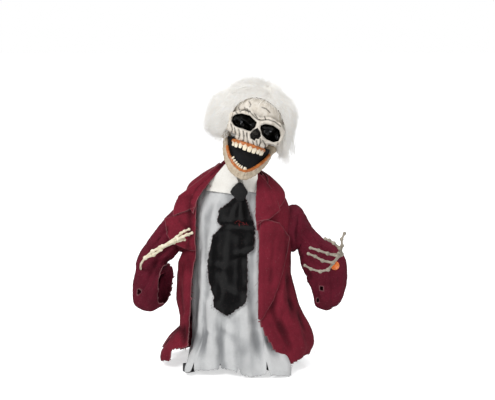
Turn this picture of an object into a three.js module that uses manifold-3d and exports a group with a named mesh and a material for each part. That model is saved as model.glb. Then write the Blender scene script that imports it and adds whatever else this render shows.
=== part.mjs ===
// Animated skeleton butler: a dressed half figure on a low stand, with a talking skull on a motor-driven neck.
// Millimetres, +Z up. The figure faces -Y and +X is its left. The origin is on the floor under the pole.
import * as THREE from 'three';
import { mergeVertices } from 'three/addons/utils/BufferGeometryUtils.js';
import Module from 'manifold-3d';

const wasm = await Module();
wasm.setup();

// Clearances that pieces share
const seat = 0.3; // gap between pieces that touch
const slip = 0.4; // radial gap of a pin in its hole
const overrun = 6; // how far a cutting solid passes a face
const weld = 0.0005; // corners closer than this are one

// Heights of the figure, all taken down from the top of the coat
const coatHeight = 488;
const neckPivotDrop = 63;
const shirtTopDrop = 48;
const tieTopDrop = 56;
const shoulderDrop = 160;
const chestDrop = 18; // top of the chest box below the shoulder axis
const chestHeight = 84;
const poleEntry = 14; // length of the pole inside the chest box

const neckPivotZ = coatHeight - neckPivotDrop;
const shirtTop = coatHeight - shirtTopDrop;
const tieTop = coatHeight - tieTopDrop;
const armAxisZ = coatHeight - shoulderDrop;
const boxTop = armAxisZ - chestDrop;
const boxBottom = boxTop - chestHeight;
const poleTop = boxBottom + poleEntry;

// Stand
const hubRadius = 34;
const hubHeight = 24;
const hubCollarRadius = 17;
const hubCollarHeight = 46;
const hubFloor = 6; // solid thickness under the pole
const hubBevel = 4;
const legReachX = 110; // foot centre from the pole, sideways
const legReachY = 80; // and forwards or backwards
const standTurn = THREE.MathUtils.degToRad(-5); // the stand lies a little skew under the figure
const legSide = 14;
const legSeatDepth = 18; // length of a leg inside the hub
const footSide = 19;
const footWall = 2.4;
const footDepth = 22; // length of a foot cap along its leg
const poleRadius = 9.5;
const poleWall = 1.6;

// Control box in the chest
const boxWidth = 112;
const boxDepth = 58;
const boxWall = 2.5;
const boxRound = 8;
const boxSocketRadius = 15;
const boxSocketDrop = 14; // how far the pole socket hangs below the box
const frontShellDepth = 24; // depth of the front half of the box
const speakerRadius = 20;
const speakerDepth = 13;
const grilleHoleRadius = 2.2;
const grillePitch = 8.5;
const grilleSpanCount = 2; // holes each way from the middle one
const boardWidth = 46;
const boardHeight = 34;
const boardThickness = 1.6;
const boardStandoff = 5;
const boardPostRadius = 3;
const chipSide = 10;
const chipHeight = 2.2;
const doorWidth = 62;
const doorHeight = 46;
const doorThickness = 2.4;
const doorPinRadius = 1.8;
const doorKnuckle = 12;
const doorLatch = 9;
const cellRadius = 7.1;
const cellLength = 50;
const cellCapRadius = 2.6;
const cellCapHeight = 1.4;
const cellGap = 1;
const cellCount = 3;
const trayFloor = 4; // solid material left behind the cells
const switchWidth = 11;
const switchHeight = 5.4;
const switchKnob = 4;
const switchTravel = 4;
const switchProud = 3;
const switchPlate = 2;

// Shoulders and arms
const armAxisY = 22;
const barRadius = 6.5;
const barHalfLength = 124;
const armRodRadius = 2.5; // stiff wire that holds the pose of the arm
const armRodSeat = 34; // length of the arm rod inside the shoulder bar
const armReach = 120; // from the end of the shoulder bar to the wrist
const saddleWidth = 16;
const saddleSpread = 34;
const capRadius = 54; // sleeve head round the shoulder
const capStart = 131;
const armholeRadius = 46;
const armholeStart = 116;
const armholeGap = 0.8;
const sleeveWall = 2.6;
const rodHoleGap = 0.4;

// Neck drive
const neckLean = THREE.MathUtils.degToRad(12); // rest lean towards the figure's left
const neckPinRadius = 4;
const neckTeethRadius = 33; // pitch radius of the toothed sector
const pinionRadius = 11;
const sectorToothCount = 30; // on a whole circle
const pinionToothCount = 10;
const toothHeight = 2.6;
const meshGap = 0.35;
const sectorHalfAngle = THREE.MathUtils.degToRad(54);
const neckPlate = 7;
const bracketPlate = 3;
const bracketGap = 1.4;
const bracketWidth = 56;
const bracketHeadRadius = 13;
const bracketBase = 5;
const neckStemWidth = 16;
const neckCupRadius = 17;
const neckCupStart = 18;
const neckCupHeight = 22;
const neckCupFloor = 4;
const neckTubeRadius = 14;
const neckTubeWall = 2;
const motorRadius = 13;
const motorLength = 19;
const motorShaftRadius = 2.5;
const gearcaseWidth = 34;
const gearcaseDepth = 10;

// Skull, in its own frame: origin between the temples at the eye line, face towards -Y
const skullOffset = 1.5;
const skullLift = 154; // eye line above the neck pivot
const skullRoll = THREE.MathUtils.degToRad(6);
const skullYaw = THREE.MathUtils.degToRad(6);
const skullPitch = THREE.MathUtils.degToRad(-8);
const skullHalfWidth = 66;
const skullFront = 88;
const skullBack = 82;
const skullCrown = 95;
const maxillaDrop = 44;
const eyeSpread = 35;
const eyeHalfWidth = 26;
const eyeHalfHeight = 18;
const eyeDepth = 30;
const eyeFaceY = 80;
const eyeDroop = THREE.MathUtils.degToRad(8);
const rimRadius = 3.6;
const rimDepth = 8; // half depth of the raised rim
const rimY = 69;
const rimTurn = THREE.MathUtils.degToRad(24);
const noseDrop = 19;
const noseHalfHeight = 14;
const noseLobe = 7.5;
const noseSpread = 4.2;
const noseDepth = 15;
const noseSplay = THREE.MathUtils.degToRad(20);
const cheekHalfWidth = 67;
const cheekDrop = 20;
const cheekRadius = 7;
const eyeCupFront = 64;
const eyeCupHollow = 8; // depth of the bowl of an eye cup
const ledRadius = 4;
const ledLength = 7;
const ledSetback = 10.2; // tip of the lamp behind the face of its cup
const ledGap = 0.1;
const skullSplitGap = 0.4;
const craniumHalfWidth = 34; // hollow inside the brain case
const craniumHalfDepth = 52;
const craniumHalfHeight = 50;
const craniumY = 12;
const craniumLift = 30;

// Jaw and mouth
const jawHingeY = -12;
const jawHingeDrop = 38;
const jawHalfWidth = 58;
const jawReach = 98;
const jawSlope = THREE.MathUtils.degToRad(51);
const jawThick = 6.5;
const jawHalfHeight = 10;
const jawChinHeight = 13;
const jawEarRadius = 11;
const jawEarLength = 11;
const jawPinRadius = 3;
const jawPinProud = 8.4; // end of the hinge shaft past the middle of the ear
const toothArcHalfWidth = 37;
const toothArcDepth = 44;
const toothCount = 10;
const toothWidth = 8.4;
const toothLength = 12;
const toothDepth = 5.5;
const gumHeight = 8;
const gumDepth = 9;
const linerHalfWidth = 41;
const linerDrop = 60;
const linerWall = 1.6;
const linerY = -36;
const linerBulge = 12;

// Wig, as the plain outer shape of its fur
const wigHalfWidth = 98;
const wigHalfDepth = 96;
const wigHalfHeight = 92;
const wigLift = 20;
const wigGap = 0.6;
const wigFaceHalfWidth = 60;
const wigFaceTop = 68;
const wigLobeSide = 78;
const wigLobeDrop = 16;
const wigLobeRadius = 40;
const wigJawRoom = 32; // room either side of the jaw's ears
const wigNeckRoom = 34;

// Coat
const coatHem = 3;
const coatRightReach = 190;
const coatLeftReach = 184;
const coatFrontDepth = 100;
const coatBackDepth = 126;
const coatCloth = 3;
const coatFold = 5;
const coatFoldCount = 9;
const coatEdgeLeast = 26; // least distance of the coat's edge from the middle, for turning a gap into an angle
const coatTopDrop = 24; // how much lower the neckline is on the figure's left
const coatHemLift = 22; // hem of the left front over the foot
const seamGap = 1.2;
const lapelLift = 2.2;
const lapelCloth = 3;
const lapelRightDrop = 96; // top of the lapel below the top of the coat
const lapelRightLength = 142;
const lapelRightWidth = 60;
const lapelLeftDrop = 104;
const lapelLeftLength = 258;
const lapelLeftWidth = 76;
const collarShoulderDrop = 46; // how much lower the collar's ends lie than its middle
const collarFall = 56;

// Shirt and tie
const shirtHem = 26;
const shirtHalfWidth = 118;
const shirtFrontDepth = 112;
const shirtBackDepth = 96;
const shirtCloth = 2.2;
const shirtFold = 4;
const shirtFoldCount = 13;
const bandRadius = 39;
const bandHeight = 40;
const bandCentreX = 10;
const bandCentreY = 2;
const bandSlope = THREE.MathUtils.degToRad(20);
const pointLength = 46;
const tieLength = 286;
const tieHalfWidth = 56;
const tieCloth = 2.4;
const tieLift = 1.2;
const knotHalfWidth = 17;
const knotHeight = 36;
const knotDepth = 9;

// Hands
const handRightLength = 132;
const handLeftLength = 92;
const boneRadius = 3;
const knuckleRadius = 4.4;
const buttonRadius = 11;
const buttonThickness = 4.5;

// Facets round a form, by how much of it shows
const coarseSideCount = 10;
const plainSideCount = 12;
const smoothSideCount = 16;
const crownSideCount = 18;

// Finishes: colour, roughness, metalness
const finishes = {
  blackPlastic: [0x18181a, 0.45, 0],
  blackPowder: [0x1c1c1e, 0.55, 0.4],
  steel: [0x9a9a9c, 0.35, 1],
  greyPlastic: [0x4a4c50, 0.55, 0],
  gearWhite: [0xe6e2d6, 0.4, 0],
  boardGreen: [0x1f5a3a, 0.6, 0],
  bone: [0xcfc8bb, 0.65, 0],
  boneDark: [0xa39c8c, 0.65, 0],
  tooth: [0xe9e4d6, 0.35, 0],
  eyeBlack: [0x060606, 0.08, 0],
  lamp: [0xe8e8f0, 0.1, 0],
  liner: [0x2b2c2e, 0.9, 0],
  fur: [0xf1efea, 0.95, 0],
  wool: [0x6a2032, 0.95, 0],
  cotton: [0xe9eaec, 0.9, 0],
  tieCloth: [0x151516, 0.95, 0],
  amber: [0xe07a12, 0.15, 0],
};

const vec = (x, y, z) => new THREE.Vector3(x, y, z);
const quarter = Math.PI / 2;
const full = Math.PI * 2;
const tangentShare = 0.02; // share of a surface or curve over which its direction is taken
const bothSides = [-1, 1];

// Whole numbers from zero, one for each of a count
const counted = (count, make) => Array.from({ length: count }, (_, i) => make(i));

// Closed triangle mesh from points and faces, turned so that its faces point outwards
function closedMesh(points, faces) {
  let volume = 0;
  for (const [a, b, c] of faces) volume += points[a].dot(points[b].clone().cross(points[c]));
  const index = faces.flatMap(([a, b, c]) => (volume > 0 ? [a, b, c] : [a, c, b]));
  const geometry = new THREE.BufferGeometry();
  const places = points.flatMap((p) => [p.x, p.y, p.z]);
  geometry.setAttribute('position', new THREE.Float32BufferAttribute(places, 3));
  geometry.setIndex(index);
  return geometry;
}

// Faces between two closed rings of points, given by the number of each ring's first point
function ringFaces(low, high, sideCount) {
  return counted(sideCount, (i) => {
    const j = (i + 1) % sideCount;
    return [[low + i, low + j, high + j], [low + i, high + j, high + i]];
  }).flat();
}

// Solid through closed rings of equal point count, with a fan over each end
function loft(rings) {
  const sideCount = rings[0].length;
  const points = rings.flat();
  const faces = rings.slice(1).flatMap((_, r) => ringFaces(r * sideCount, (r + 1) * sideCount, sideCount));
  const ends = [[rings[0], 0, true], [rings.at(-1), (rings.length - 1) * sideCount, false]];
  for (const [ring, start, flip] of ends) {
    const hub = points.length;
    points.push(ring.reduce((sum, p) => sum.add(p), vec(0, 0, 0)).divideScalar(sideCount));
    for (let i = 0; i < sideCount; i += 1) {
      const next = start + ((i + 1) % sideCount);
      faces.push(flip ? [hub, next, start + i] : [hub, start + i, next]);
    }
  }
  return closedMesh(points, faces);
}

// Open-ended tube wall: outer rings out, inner rings back, joined into one closed skin
function tubeWall(outer, inner) {
  const rings = [...outer, ...[...inner].reverse()];
  const sideCount = rings[0].length;
  const ringStart = (r) => (r % rings.length) * sideCount;
  const faces = rings.flatMap((_, r) => ringFaces(ringStart(r), ringStart(r + 1), sideCount));
  return closedMesh(rings.flat(), faces);
}

// Normal of a surface given by u and v from 0 to 1
function surfaceNormal(surface, u, v) {
  const along = surface(Math.min(u + tangentShare, 1), v).sub(surface(Math.max(u - tangentShare, 0), v));
  const up = surface(u, Math.min(v + tangentShare, 1)).sub(surface(u, Math.max(v - tangentShare, 0)));
  return along.cross(up).normalize();
}

// Sheet of cloth or moulding of one thickness over a surface
function slab(surface, columnCount, rowCount, thickness) {
  const faces = [];
  const sides = [[], []];
  for (let j = 0; j <= rowCount; j += 1) {
    for (let i = 0; i <= columnCount; i += 1) {
      const [u, v] = [i / columnCount, j / rowCount];
      const half = surfaceNormal(surface, u, v).multiplyScalar(thickness / 2);
      sides[0].push(surface(u, v).add(half));
      sides[1].push(surface(u, v).sub(half));
    }
  }
  const other = sides[0].length;
  const at = (i, j) => j * (columnCount + 1) + i;
  const quad = (a, b, c, d) => faces.push([a, b, c], [a, c, d]);
  for (let j = 0; j < rowCount; j += 1) {
    for (let i = 0; i < columnCount; i += 1) {
      quad(at(i, j), at(i + 1, j), at(i + 1, j + 1), at(i, j + 1));
      quad(other + at(i, j + 1), other + at(i + 1, j + 1), other + at(i + 1, j), other + at(i, j));
    }
  }
  for (let i = 0; i < columnCount; i += 1) {
    quad(other + at(i, 0), other + at(i + 1, 0), at(i + 1, 0), at(i, 0));
    quad(at(i, rowCount), at(i + 1, rowCount), other + at(i + 1, rowCount), other + at(i, rowCount));
  }
  for (let j = 0; j < rowCount; j += 1) {
    quad(at(0, j), at(0, j + 1), other + at(0, j + 1), other + at(0, j));
    quad(other + at(columnCount, j), other + at(columnCount, j + 1), at(columnCount, j + 1), at(columnCount, j));
  }
  return closedMesh(sides.flat(), faces);
}

// The same surface moved away from a point inside, by a lift given over u and v
function lifted(surface, lift, inside) {
  return (u, v) => {
    const place = surface(u, v);
    const normal = surfaceNormal(surface, u, v);
    if (normal.dot(place.clone().sub(inside)) < 0) normal.negate();
    return place.addScaledVector(normal, lift(u, v));
  };
}

// Solid for joining and cutting, from any closed geometry
function solid(geometry) {
  const bare = new THREE.BufferGeometry();
  bare.setAttribute('position', geometry.getAttribute('position').clone());
  if (geometry.index) bare.setIndex(geometry.index.clone());
  const merged = mergeVertices(bare, weld);
  const index = [];
  for (let i = 0; i < merged.index.count; i += 3) {
    const [a, b, c] = [0, 1, 2].map((k) => merged.index.getX(i + k));
    if (a !== b && b !== c && a !== c) index.push(a, b, c);
  }
  const vertProperties = new Float32Array(merged.getAttribute('position').array);
  return new wasm.Manifold(new wasm.Mesh({ numProp: 3, vertProperties, triVerts: new Uint32Array(index) }));
}

const asSolid = (shape) => (shape instanceof THREE.BufferGeometry ? solid(shape) : shape);
const unite = (shapes) => shapes.map(asSolid).reduce((sum, next) => sum.add(next));
const cut = (shape, ...tools) => tools.map(asSolid).reduce((rest, tool) => rest.subtract(tool), asSolid(shape));
const common = (a, b) => asSolid(a).intersect(asSolid(b));

// Largest body of a shape, so that a trimmed edge leaves no scraps
const largest = (shape) =>
  asSolid(shape).decompose().reduce((best, next) => (next.volume() > best.volume() ? next : best));

function asGeometry(shape) {
  if (shape instanceof THREE.BufferGeometry) return shape;
  const mesh = shape.getMesh();
  const geometry = new THREE.BufferGeometry();
  geometry.setAttribute('position', new THREE.BufferAttribute(new Float32Array(mesh.vertProperties), 3));
  geometry.setIndex(new THREE.BufferAttribute(new Uint32Array(mesh.triVerts), 1));
  return geometry;
}

// Plain forms, each placed by its centre
const block = (w, d, h, x, y, z) => new THREE.BoxGeometry(w, d, h).translate(x, y, z);
const rod = (radius, length, sideCount) => new THREE.CylinderGeometry(radius, radius, length, sideCount);
const rodX = (radius, length, x, y, z, sideCount = coarseSideCount) =>
  rod(radius, length, sideCount).rotateZ(quarter).translate(x, y, z);
const rodY = (radius, length, x, y, z, sideCount = coarseSideCount) =>
  rod(radius, length, sideCount).translate(x, y, z);
const rodZ = (radius, length, x, y, z, sideCount = smoothSideCount) =>
  rod(radius, length, sideCount).rotateX(quarter).translate(x, y, z);
const turned = (profile, sideCount) =>
  new THREE.LatheGeometry(profile.map(([r, h]) => new THREE.Vector2(r, h)), sideCount);
function ball(rx, ry, rz, x, y, z, sideCount = plainSideCount) {
  const rowCount = sideCount / 2;
  return new THREE.SphereGeometry(1, sideCount, rowCount).rotateX(quarter).scale(rx, ry, rz).translate(x, y, z);
}

// Value of a share table at a place between its rows
function shareAt(placeShares, shares, place) {
  if (place <= placeShares[0]) return shares[0];
  const row = placeShares.findIndex((next) => place <= next);
  if (row < 0) return shares.at(-1);
  const t = (place - placeShares[row - 1]) / (placeShares[row] - placeShares[row - 1]);
  return shares[row - 1] + (shares[row] - shares[row - 1]) * t;
}

// Clothes outline: shares of the sizes above at levels up the body
const levelShares = [0, 0.056, 0.118, 0.179, 0.241, 0.334, 0.457, 0.571, 0.695, 0.779, 0.831, 0.891, 0.951, 1];
const coatRightShares = [0.98, 1, 0.91, 0.72, 0.73, 0.77, 0.77, 0.68, 0.65, 0.65, 0.64, 0.56, 0.36, 0.21];
const coatLeftShares = [0.87, 0.93, 1, 0.95, 0.86, 0.74, 0.67, 0.67, 0.67, 0.67, 0.62, 0.46, 0.31, 0.24];
const edgeRightShares = [0.88, 0.76, 0.62, 0.57, 0.56, 0.57, 0.55, 0.52, 0.52, 0.52, 0.48, 0.4, 0.26, 0.15];
const edgeLeftShares = [0.61, 0.48, 0.37, 0.31, 0.27, 0.27, 0.27, 0.26, 0.23, 0.22, 0.22, 0.22, 0.23, 0.21];
const frontShares = [1, 0.98, 0.97, 0.95, 0.91, 0.87, 0.81, 0.75, 0.67, 0.62, 0.58, 0.51, 0.43, 0.38];
const backShares = [1, 0.95, 0.91, 0.86, 0.8, 0.74, 0.67, 0.61, 0.57, 0.53, 0.5, 0.47, 0.43, 0.4];
const shirtWidthShares = [0.95, 0.95, 0.94, 0.93, 0.92, 0.91, 0.9, 0.9, 0.9, 0.88, 0.77, 0.59, 0.4, 0.34];
const shirtFrontShares = [1, 0.92, 0.85, 0.8, 0.76, 0.7, 0.63, 0.57, 0.5, 0.46, 0.42, 0.37, 0.34, 0.34];
const shirtBackShares = [1, 0.98, 0.95, 0.92, 0.9, 0.86, 0.78, 0.68, 0.58, 0.52, 0.47, 0.43, 0.41, 0.41];
const clothesRoundShare = 5 / 6; // of the way from a square outline to an oval one

// Point of a rounded outline: turn is 0 at the side and a quarter turn at the front or back
function roundedPoint(width, depth, turn) {
  const power = clothesRoundShare;
  return [width * Math.abs(Math.cos(turn)) ** power, depth * Math.abs(Math.sin(turn)) ** power];
}

const turnAtShare = (share) => Math.acos(Math.min(1, share) ** (1 / clothesRoundShare));

// Sizes of each half of the coat: side is -1 for the figure's right and 1 for its left
const coatHalves = {
  [-1]: { reach: coatRightReach, reachShares: coatRightShares, edgeShares: edgeRightShares },
  1: { reach: coatLeftReach, reachShares: coatLeftShares, edgeShares: edgeLeftShares },
};

// Coat shell with its folds: face is -1 for the front
function coatPoint(side, face, turn, height) {
  const level = height / coatHeight;
  const { reach, reachShares } = coatHalves[side];
  const depth = face < 0 ? coatFrontDepth * shareAt(levelShares, frontShares, level)
    : coatBackDepth * shareAt(levelShares, backShares, level);
  const wave = Math.sin(coatFoldCount * turn + side + 4 * level) * Math.sin(2 * turn);
  const fold = coatFold * (1 - level) ** 2 * wave;
  const [x, y] = roundedPoint(reach * shareAt(levelShares, reachShares, level) + fold, depth + fold, turn);
  return vec(side * x, face * y, height);
}

// Turn of the coat shell at which its front edge lies
function coatEdgeTurn(side, height) {
  const level = height / coatHeight;
  const { reachShares, edgeShares } = coatHalves[side];
  return turnAtShare(shareAt(levelShares, edgeShares, level) / shareAt(levelShares, reachShares, level));
}

// Round hole of the sleeve head: a clear hole, then a wider seat outside it, its flats clear of the round
function armholeTools(side) {
  const flat = Math.cos(Math.PI / smoothSideCount);
  const tool = (radius, start, end) =>
    rodX((radius + armholeGap) / flat, end - start, side * (start + end) / 2, armAxisY, armAxisZ, smoothSideCount);
  return [
    tool(armholeRadius, armholeStart - 2 * overrun, coatRightReach),
    tool(capRadius, capStart - armholeGap, coatRightReach),
  ];
}

// Front of the coat; grown by a gap it is the tool that trims what lies against it
function coatFront(side, grow = 0) {
  const columnCount = 6;
  const rowCount = 12;
  const hemRiseShare = 2.2; // the hem has risen fully where this share of the front is passed
  const top = coatHeight - seamGap - (side > 0 ? coatTopDrop : 0) + grow;
  const surface = (u, v) => {
    const hem = coatHem + (side > 0 ? coatHemLift * Math.min(1, hemRiseShare * u) : 0);
    const height = hem + (top - hem) * v;
    const sideTurn = seamGap / coatFrontDepth;
    const edge = coatEdgeTurn(side, height) + grow / coatEdgeLeast;
    return coatPoint(side, -1, sideTurn + (edge - sideTurn) * u, height);
  };
  return cut(slab(surface, columnCount, rowCount, coatCloth + 2 * grow), ...armholeTools(side));
}

function coatBack(grow = 0) {
  const columnCount = 11;
  const rowCount = 9;
  const surface = (u, v) => {
    const height = coatHem + (coatHeight - seamGap + grow - coatTopDrop * u - coatHem) * v;
    const sideTurn = (seamGap - grow / 2) / coatBackDepth;
    const turn = sideTurn + (Math.PI - 2 * sideTurn) * u;
    return turn < quarter ? coatPoint(-1, 1, turn, height) : coatPoint(1, 1, Math.PI - turn, height);
  };
  return cut(slab(surface, columnCount, rowCount, coatCloth + 2 * grow), ...bothSides.flatMap(armholeTools));
}

// Lapels: the width shares run from the foot of the lapel to its top
const lapelWidthPlaceShares = [0, 0.2, 0.4, 0.6, 0.8, 1];
const lapelRightShares = [0.05, 0.3, 0.6, 0.85, 1, 0.9];
const lapelLeftShares = [0.05, 0.4, 0.72, 0.92, 1, 0.8];
const lapelHalves = {
  [-1]: { drop: lapelRightDrop, length: lapelRightLength, width: lapelRightWidth, shares: lapelRightShares },
  1: { drop: lapelLeftDrop, length: lapelLeftLength, width: lapelLeftWidth, shares: lapelLeftShares },
};

// Lapel lying on the coat front, from its edge outwards
function lapel(side, grow = 0) {
  const columnCount = 4;
  const rowCount = 8;
  const outermostShare = 0.97; // of the coat's half width
  const { drop, length, width, shares } = lapelHalves[side];
  const bottom = coatHeight - drop - length;
  const lift = (u) => (coatCloth + lapelCloth) / 2 + lapelLift * u;
  const surface = (u, v) => {
    const height = bottom + length * v;
    const start = coatPoint(side, -1, coatEdgeTurn(side, height), height).x * side;
    const reach = coatPoint(side, -1, 0, height).x * side;
    const out = start - grow + (width * shareAt(lapelWidthPlaceShares, shares, v) + 2 * grow) * u;
    return coatPoint(side, -1, turnAtShare(Math.min(out / reach, outermostShare)), height);
  };
  const whole = slab(lifted(surface, lift, vec(0, 0, bottom)), columnCount, rowCount, lapelCloth + 2 * grow);
  return largest(cut(whole, coatFront(side, 2 * seat), ...armholeTools(side)));
}

// Collar round the back of the neck, its fall spreading over the shoulders to the lapels
function coatCollar() {
  const columnCount = 14;
  const rowCount = 3;
  const [backFallShare, sideFallShare] = [0.45, 0.75];
  const lift = (u, v) => (coatCloth + lapelCloth) / 2 + (lapelLift + lapelCloth + seat) * (1 - v ** 3);
  const surface = (u, v) => {
    const along = Math.abs(2 * u - 1);
    const side = u < 1 / 2 ? -1 : 1;
    const drop = collarFall * (backFallShare + sideFallShare * along ** 2) * (1 - v);
    const height = coatHeight - coatTopDrop * u - drop - collarShoulderDrop * along ** 3;
    const sweep = along * (quarter + coatEdgeTurn(side, height));
    if (sweep > quarter) return coatPoint(side, -1, sweep - quarter, height);
    return coatPoint(side, 1, quarter - sweep, height);
  };
  const below = bothSides.flatMap((side) => [coatFront(side, 2 * seat), lapel(side, seat)]);
  const whole = slab(lifted(surface, lift, vec(0, 0, armAxisZ)), columnCount, rowCount, lapelCloth);
  return largest(cut(whole, ...below, coatBack(2 * seat)));
}

// Width and depth of the shirt at a height, before folds
function shirtSpan(face, height) {
  const level = height / coatHeight;
  const width = shirtHalfWidth * shareAt(levelShares, shirtWidthShares, level);
  const depth = face < 0 ? shirtFrontDepth * shareAt(levelShares, shirtFrontShares, level)
    : shirtBackDepth * shareAt(levelShares, shirtBackShares, level);
  return { level, width, depth, lean: bandCentreX * level ** 3 };
}

function shirtPoint(face, angle, height) {
  const { level, width, depth, lean } = shirtSpan(face, height);
  const fold = shirtFold * (1 - level) * Math.sin(shirtFoldCount * angle) * Math.sin(angle);
  const [x, y] = roundedPoint(width + fold, depth + fold, angle);
  return vec((Math.cos(angle) < 0 ? -x : x) + lean, face * y, height);
}

// Front of the shirt at a place across it
function frontOfShirt(x, height) {
  const { width, depth, lean } = shirtSpan(-1, height);
  return -roundedPoint(width, depth, turnAtShare(Math.abs(x - lean) / width))[1];
}

// Hem of the shirt front: lifted over the stand and let down to the floor at the figure's left
function shirtHemHeight(angle) {
  const [lowestShare, spreadShare] = [0.16, 0.13]; // of the way from the middle to the side
  const place = (quarter - angle) / quarter;
  const drop = Math.exp(-(((place - lowestShare) / spreadShare) ** 2));
  return shirtHem - (shirtHem - coatHem) * drop;
}

function shirtPanel(face, grow = 0) {
  const columnCount = face < 0 ? 12 : 10;
  const rowCount = face < 0 ? 7 : 5;
  const surface = (u, v) => {
    const sideTurn = seamGap / shirtHalfWidth;
    const angle = sideTurn + (Math.PI - 2 * sideTurn) * u;
    const hem = face < 0 ? shirtHemHeight(angle) : shirtHem;
    return shirtPoint(face, angle, hem + (shirtTop - hem) * v);
  };
  const holes = bothSides.map((side) =>
    rodX(barRadius + slip, shirtHalfWidth, side * shirtHalfWidth, armAxisY, armAxisZ, smoothSideCount));
  return cut(slab(surface, columnCount, rowCount, shirtCloth + 2 * grow), ...holes);
}

// Neck band: a sloping ring of cloth, high at the back
function neckBand(grow = 0) {
  const sideCount = 20;
  const ringAt = (radius, height) => counted(sideCount, (i) => {
    const a = (i / sideCount) * full;
    const y = radius * Math.sin(a);
    const rise = height * (1 + (Math.tan(bandSlope) * y) / bandRadius);
    return vec(bandCentreX + radius * Math.cos(a), bandCentreY + y, shirtTop + seat + rise);
  });
  const [wide, narrow] = [bandRadius + grow, bandRadius - shirtCloth - grow];
  const rings = (radius) => [ringAt(radius, 0), ringAt(radius, bandHeight + grow)];
  return tubeWall(rings(wide), rings(narrow));
}

// Collar point: shares of its length across and down, and of the quarter turn round the band
const pointShares = {
  turnShare: 0.9, topShare: 0.94, innerShare: 0.14, outerShare: 1.2, dropShare: 0.36, riseShare: 0.3,
};

// One side of the shirt collar, folded down from the top of the neck band over the shirt front
function collarPoint(side, grow = 0) {
  const columnCount = 6;
  const rowCount = 4;
  const { turnShare, topShare, innerShare, outerShare, dropShare, riseShare } = pointShares;
  const radius = bandRadius + shirtCloth / 2 + 2 * seat;
  const surface = (u, v) => {
    const a = quarter * (1 - turnShare * u);
    const top = shirtTop + seat + bandHeight * (1 - Math.tan(bandSlope) * Math.sin(a)) * topShare;
    const fold = vec(bandCentreX + side * radius * Math.cos(a), bandCentreY - radius * Math.sin(a), top);
    const x = bandCentreX + side * pointLength * (innerShare + outerShare * u);
    const height = shirtTop - pointLength * (dropShare - riseShare * u ** 2);
    const edge = vec(x, frontOfShirt(x, height) - shirtFold - lapelLift - shirtCloth, height);
    return fold.lerp(edge, v);
  };
  const over = [coatFront(side, 2 * seat), tieBlade(seat), shirtPanel(-1, seat)];
  return largest(cut(slab(surface, columnCount, rowCount, shirtCloth + 2 * grow), ...over));
}

// Ragged tie in two blades that narrow between them, hung in front of the shirt
const tieLevelShares = [0, 0.05, 0.14, 0.3, 0.47, 0.62, 0.74, 0.755, 0.85, 0.93, 1];
const tieRightShares = [0.36, 0.75, 0.83, 1, 0.96, 0.74, 0.55, 0.73, 0.68, 0.35, 0.06];
const tieLeftShares = [-0.2, 0.4, 0.55, 0.6, 0.7, 0.8, 0.88, 0.86, 0.62, 0.5, 0.38];

function tieBlade(grow = 0) {
  const columnCount = 5;
  const rowCount = 14;
  const surface = (u, v) => {
    const height = tieTop - tieLength - grow + (tieLength + 2 * grow) * v;
    const left = -tieHalfWidth * shareAt(tieLevelShares, tieRightShares, v) - grow;
    const right = tieHalfWidth * shareAt(tieLevelShares, tieLeftShares, v) + grow;
    const x = left + (right - left) * u;
    return vec(x, frontOfShirt(x, height) - tieLift - shirtFold - tieCloth, height);
  };
  return largest(cut(slab(surface, columnCount, rowCount, tieCloth + 2 * grow), coatFront(1, grow + seat)));
}

// Knot: a section that widens and narrows again, in shares of its half width and depth
const knotSectionShares = [[-1, 0], [-0.6, -1], [0.6, -1], [1, 0], [0.6, 0.5], [-0.6, 0.5]];
const knotLevelShares = [[0, 0.65], [0.4, 1], [1, 0.5]];

function tieKnot() {
  const y = frontOfShirt(0, tieTop) - shirtFold - tieLift - tieCloth - knotDepth / 4;
  const knotZ = (level) => tieTop + seat + (knotHeight - seat) * level;
  const rings = knotLevelShares.map(([level, width]) => knotSectionShares.map(([sx, sy]) =>
    vec(bandCentreX + knotHalfWidth * width * sx, y + knotDepth * sy, knotZ(level))));
  const behind = [neckBand(seat), shirtPanel(-1, seat), ...bothSides.map((side) => collarPoint(side, seat))];
  return largest(cut(loft(rings), ...behind));
}

// Skull outline by level: shares of crown height above the eye line and of the maxilla drop below it
const skullLevelShares = [-1, -0.82, -0.55, -0.25, 0, 0.17, 0.34, 0.53, 0.71, 0.86, 0.96, 1];
const skullWidthShares = [0.56, 0.64, 0.7, 0.84, 0.92, 0.95, 0.99, 1, 0.9, 0.68, 0.38, 0.14];
const skullFrontShares = [0.96, 1, 0.99, 0.94, 0.91, 0.95, 0.98, 0.95, 0.84, 0.62, 0.34, 0.12];
const skullBackShares = [0.1, 0.3, 0.6, 0.82, 0.9, 0.96, 1, 1, 0.92, 0.7, 0.4, 0.14];
const skullRoundShare = 10 / 11;

const skullHeight = (share) => (share < 0 ? share * maxillaDrop : share * skullCrown);

function skullRings(grow) {
  const sideCount = 20;
  const power = skullRoundShare;
  return skullLevelShares.map((level, row) => counted(sideCount, (i) => {
    const a = (i / sideCount) * full;
    const [c, s] = [Math.cos(a), Math.sin(a)];
    const depth = s < 0 ? skullFront * skullFrontShares[row] : skullBack * skullBackShares[row];
    const x = (skullHalfWidth * skullWidthShares[row] + grow) * Math.sign(c) * Math.abs(c) ** power;
    const y = (depth + grow) * Math.sign(s) * Math.abs(s) ** power;
    const crownGrow = row === skullLevelShares.length - 1 ? grow : 0;
    return vec(x, y, skullHeight(level) + crownGrow);
  }));
}

// Things that lie round one eye socket, turned by the droop of the socket
const atEye = (geometry, side) => geometry.rotateY(side * eyeDroop).translate(side * eyeSpread, 0, 0);

function eyeSocket(side, gap) {
  return atEye(ball(eyeHalfWidth - gap, eyeDepth - gap, eyeHalfHeight - gap, 0, -eyeFaceY, 0), side);
}

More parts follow.
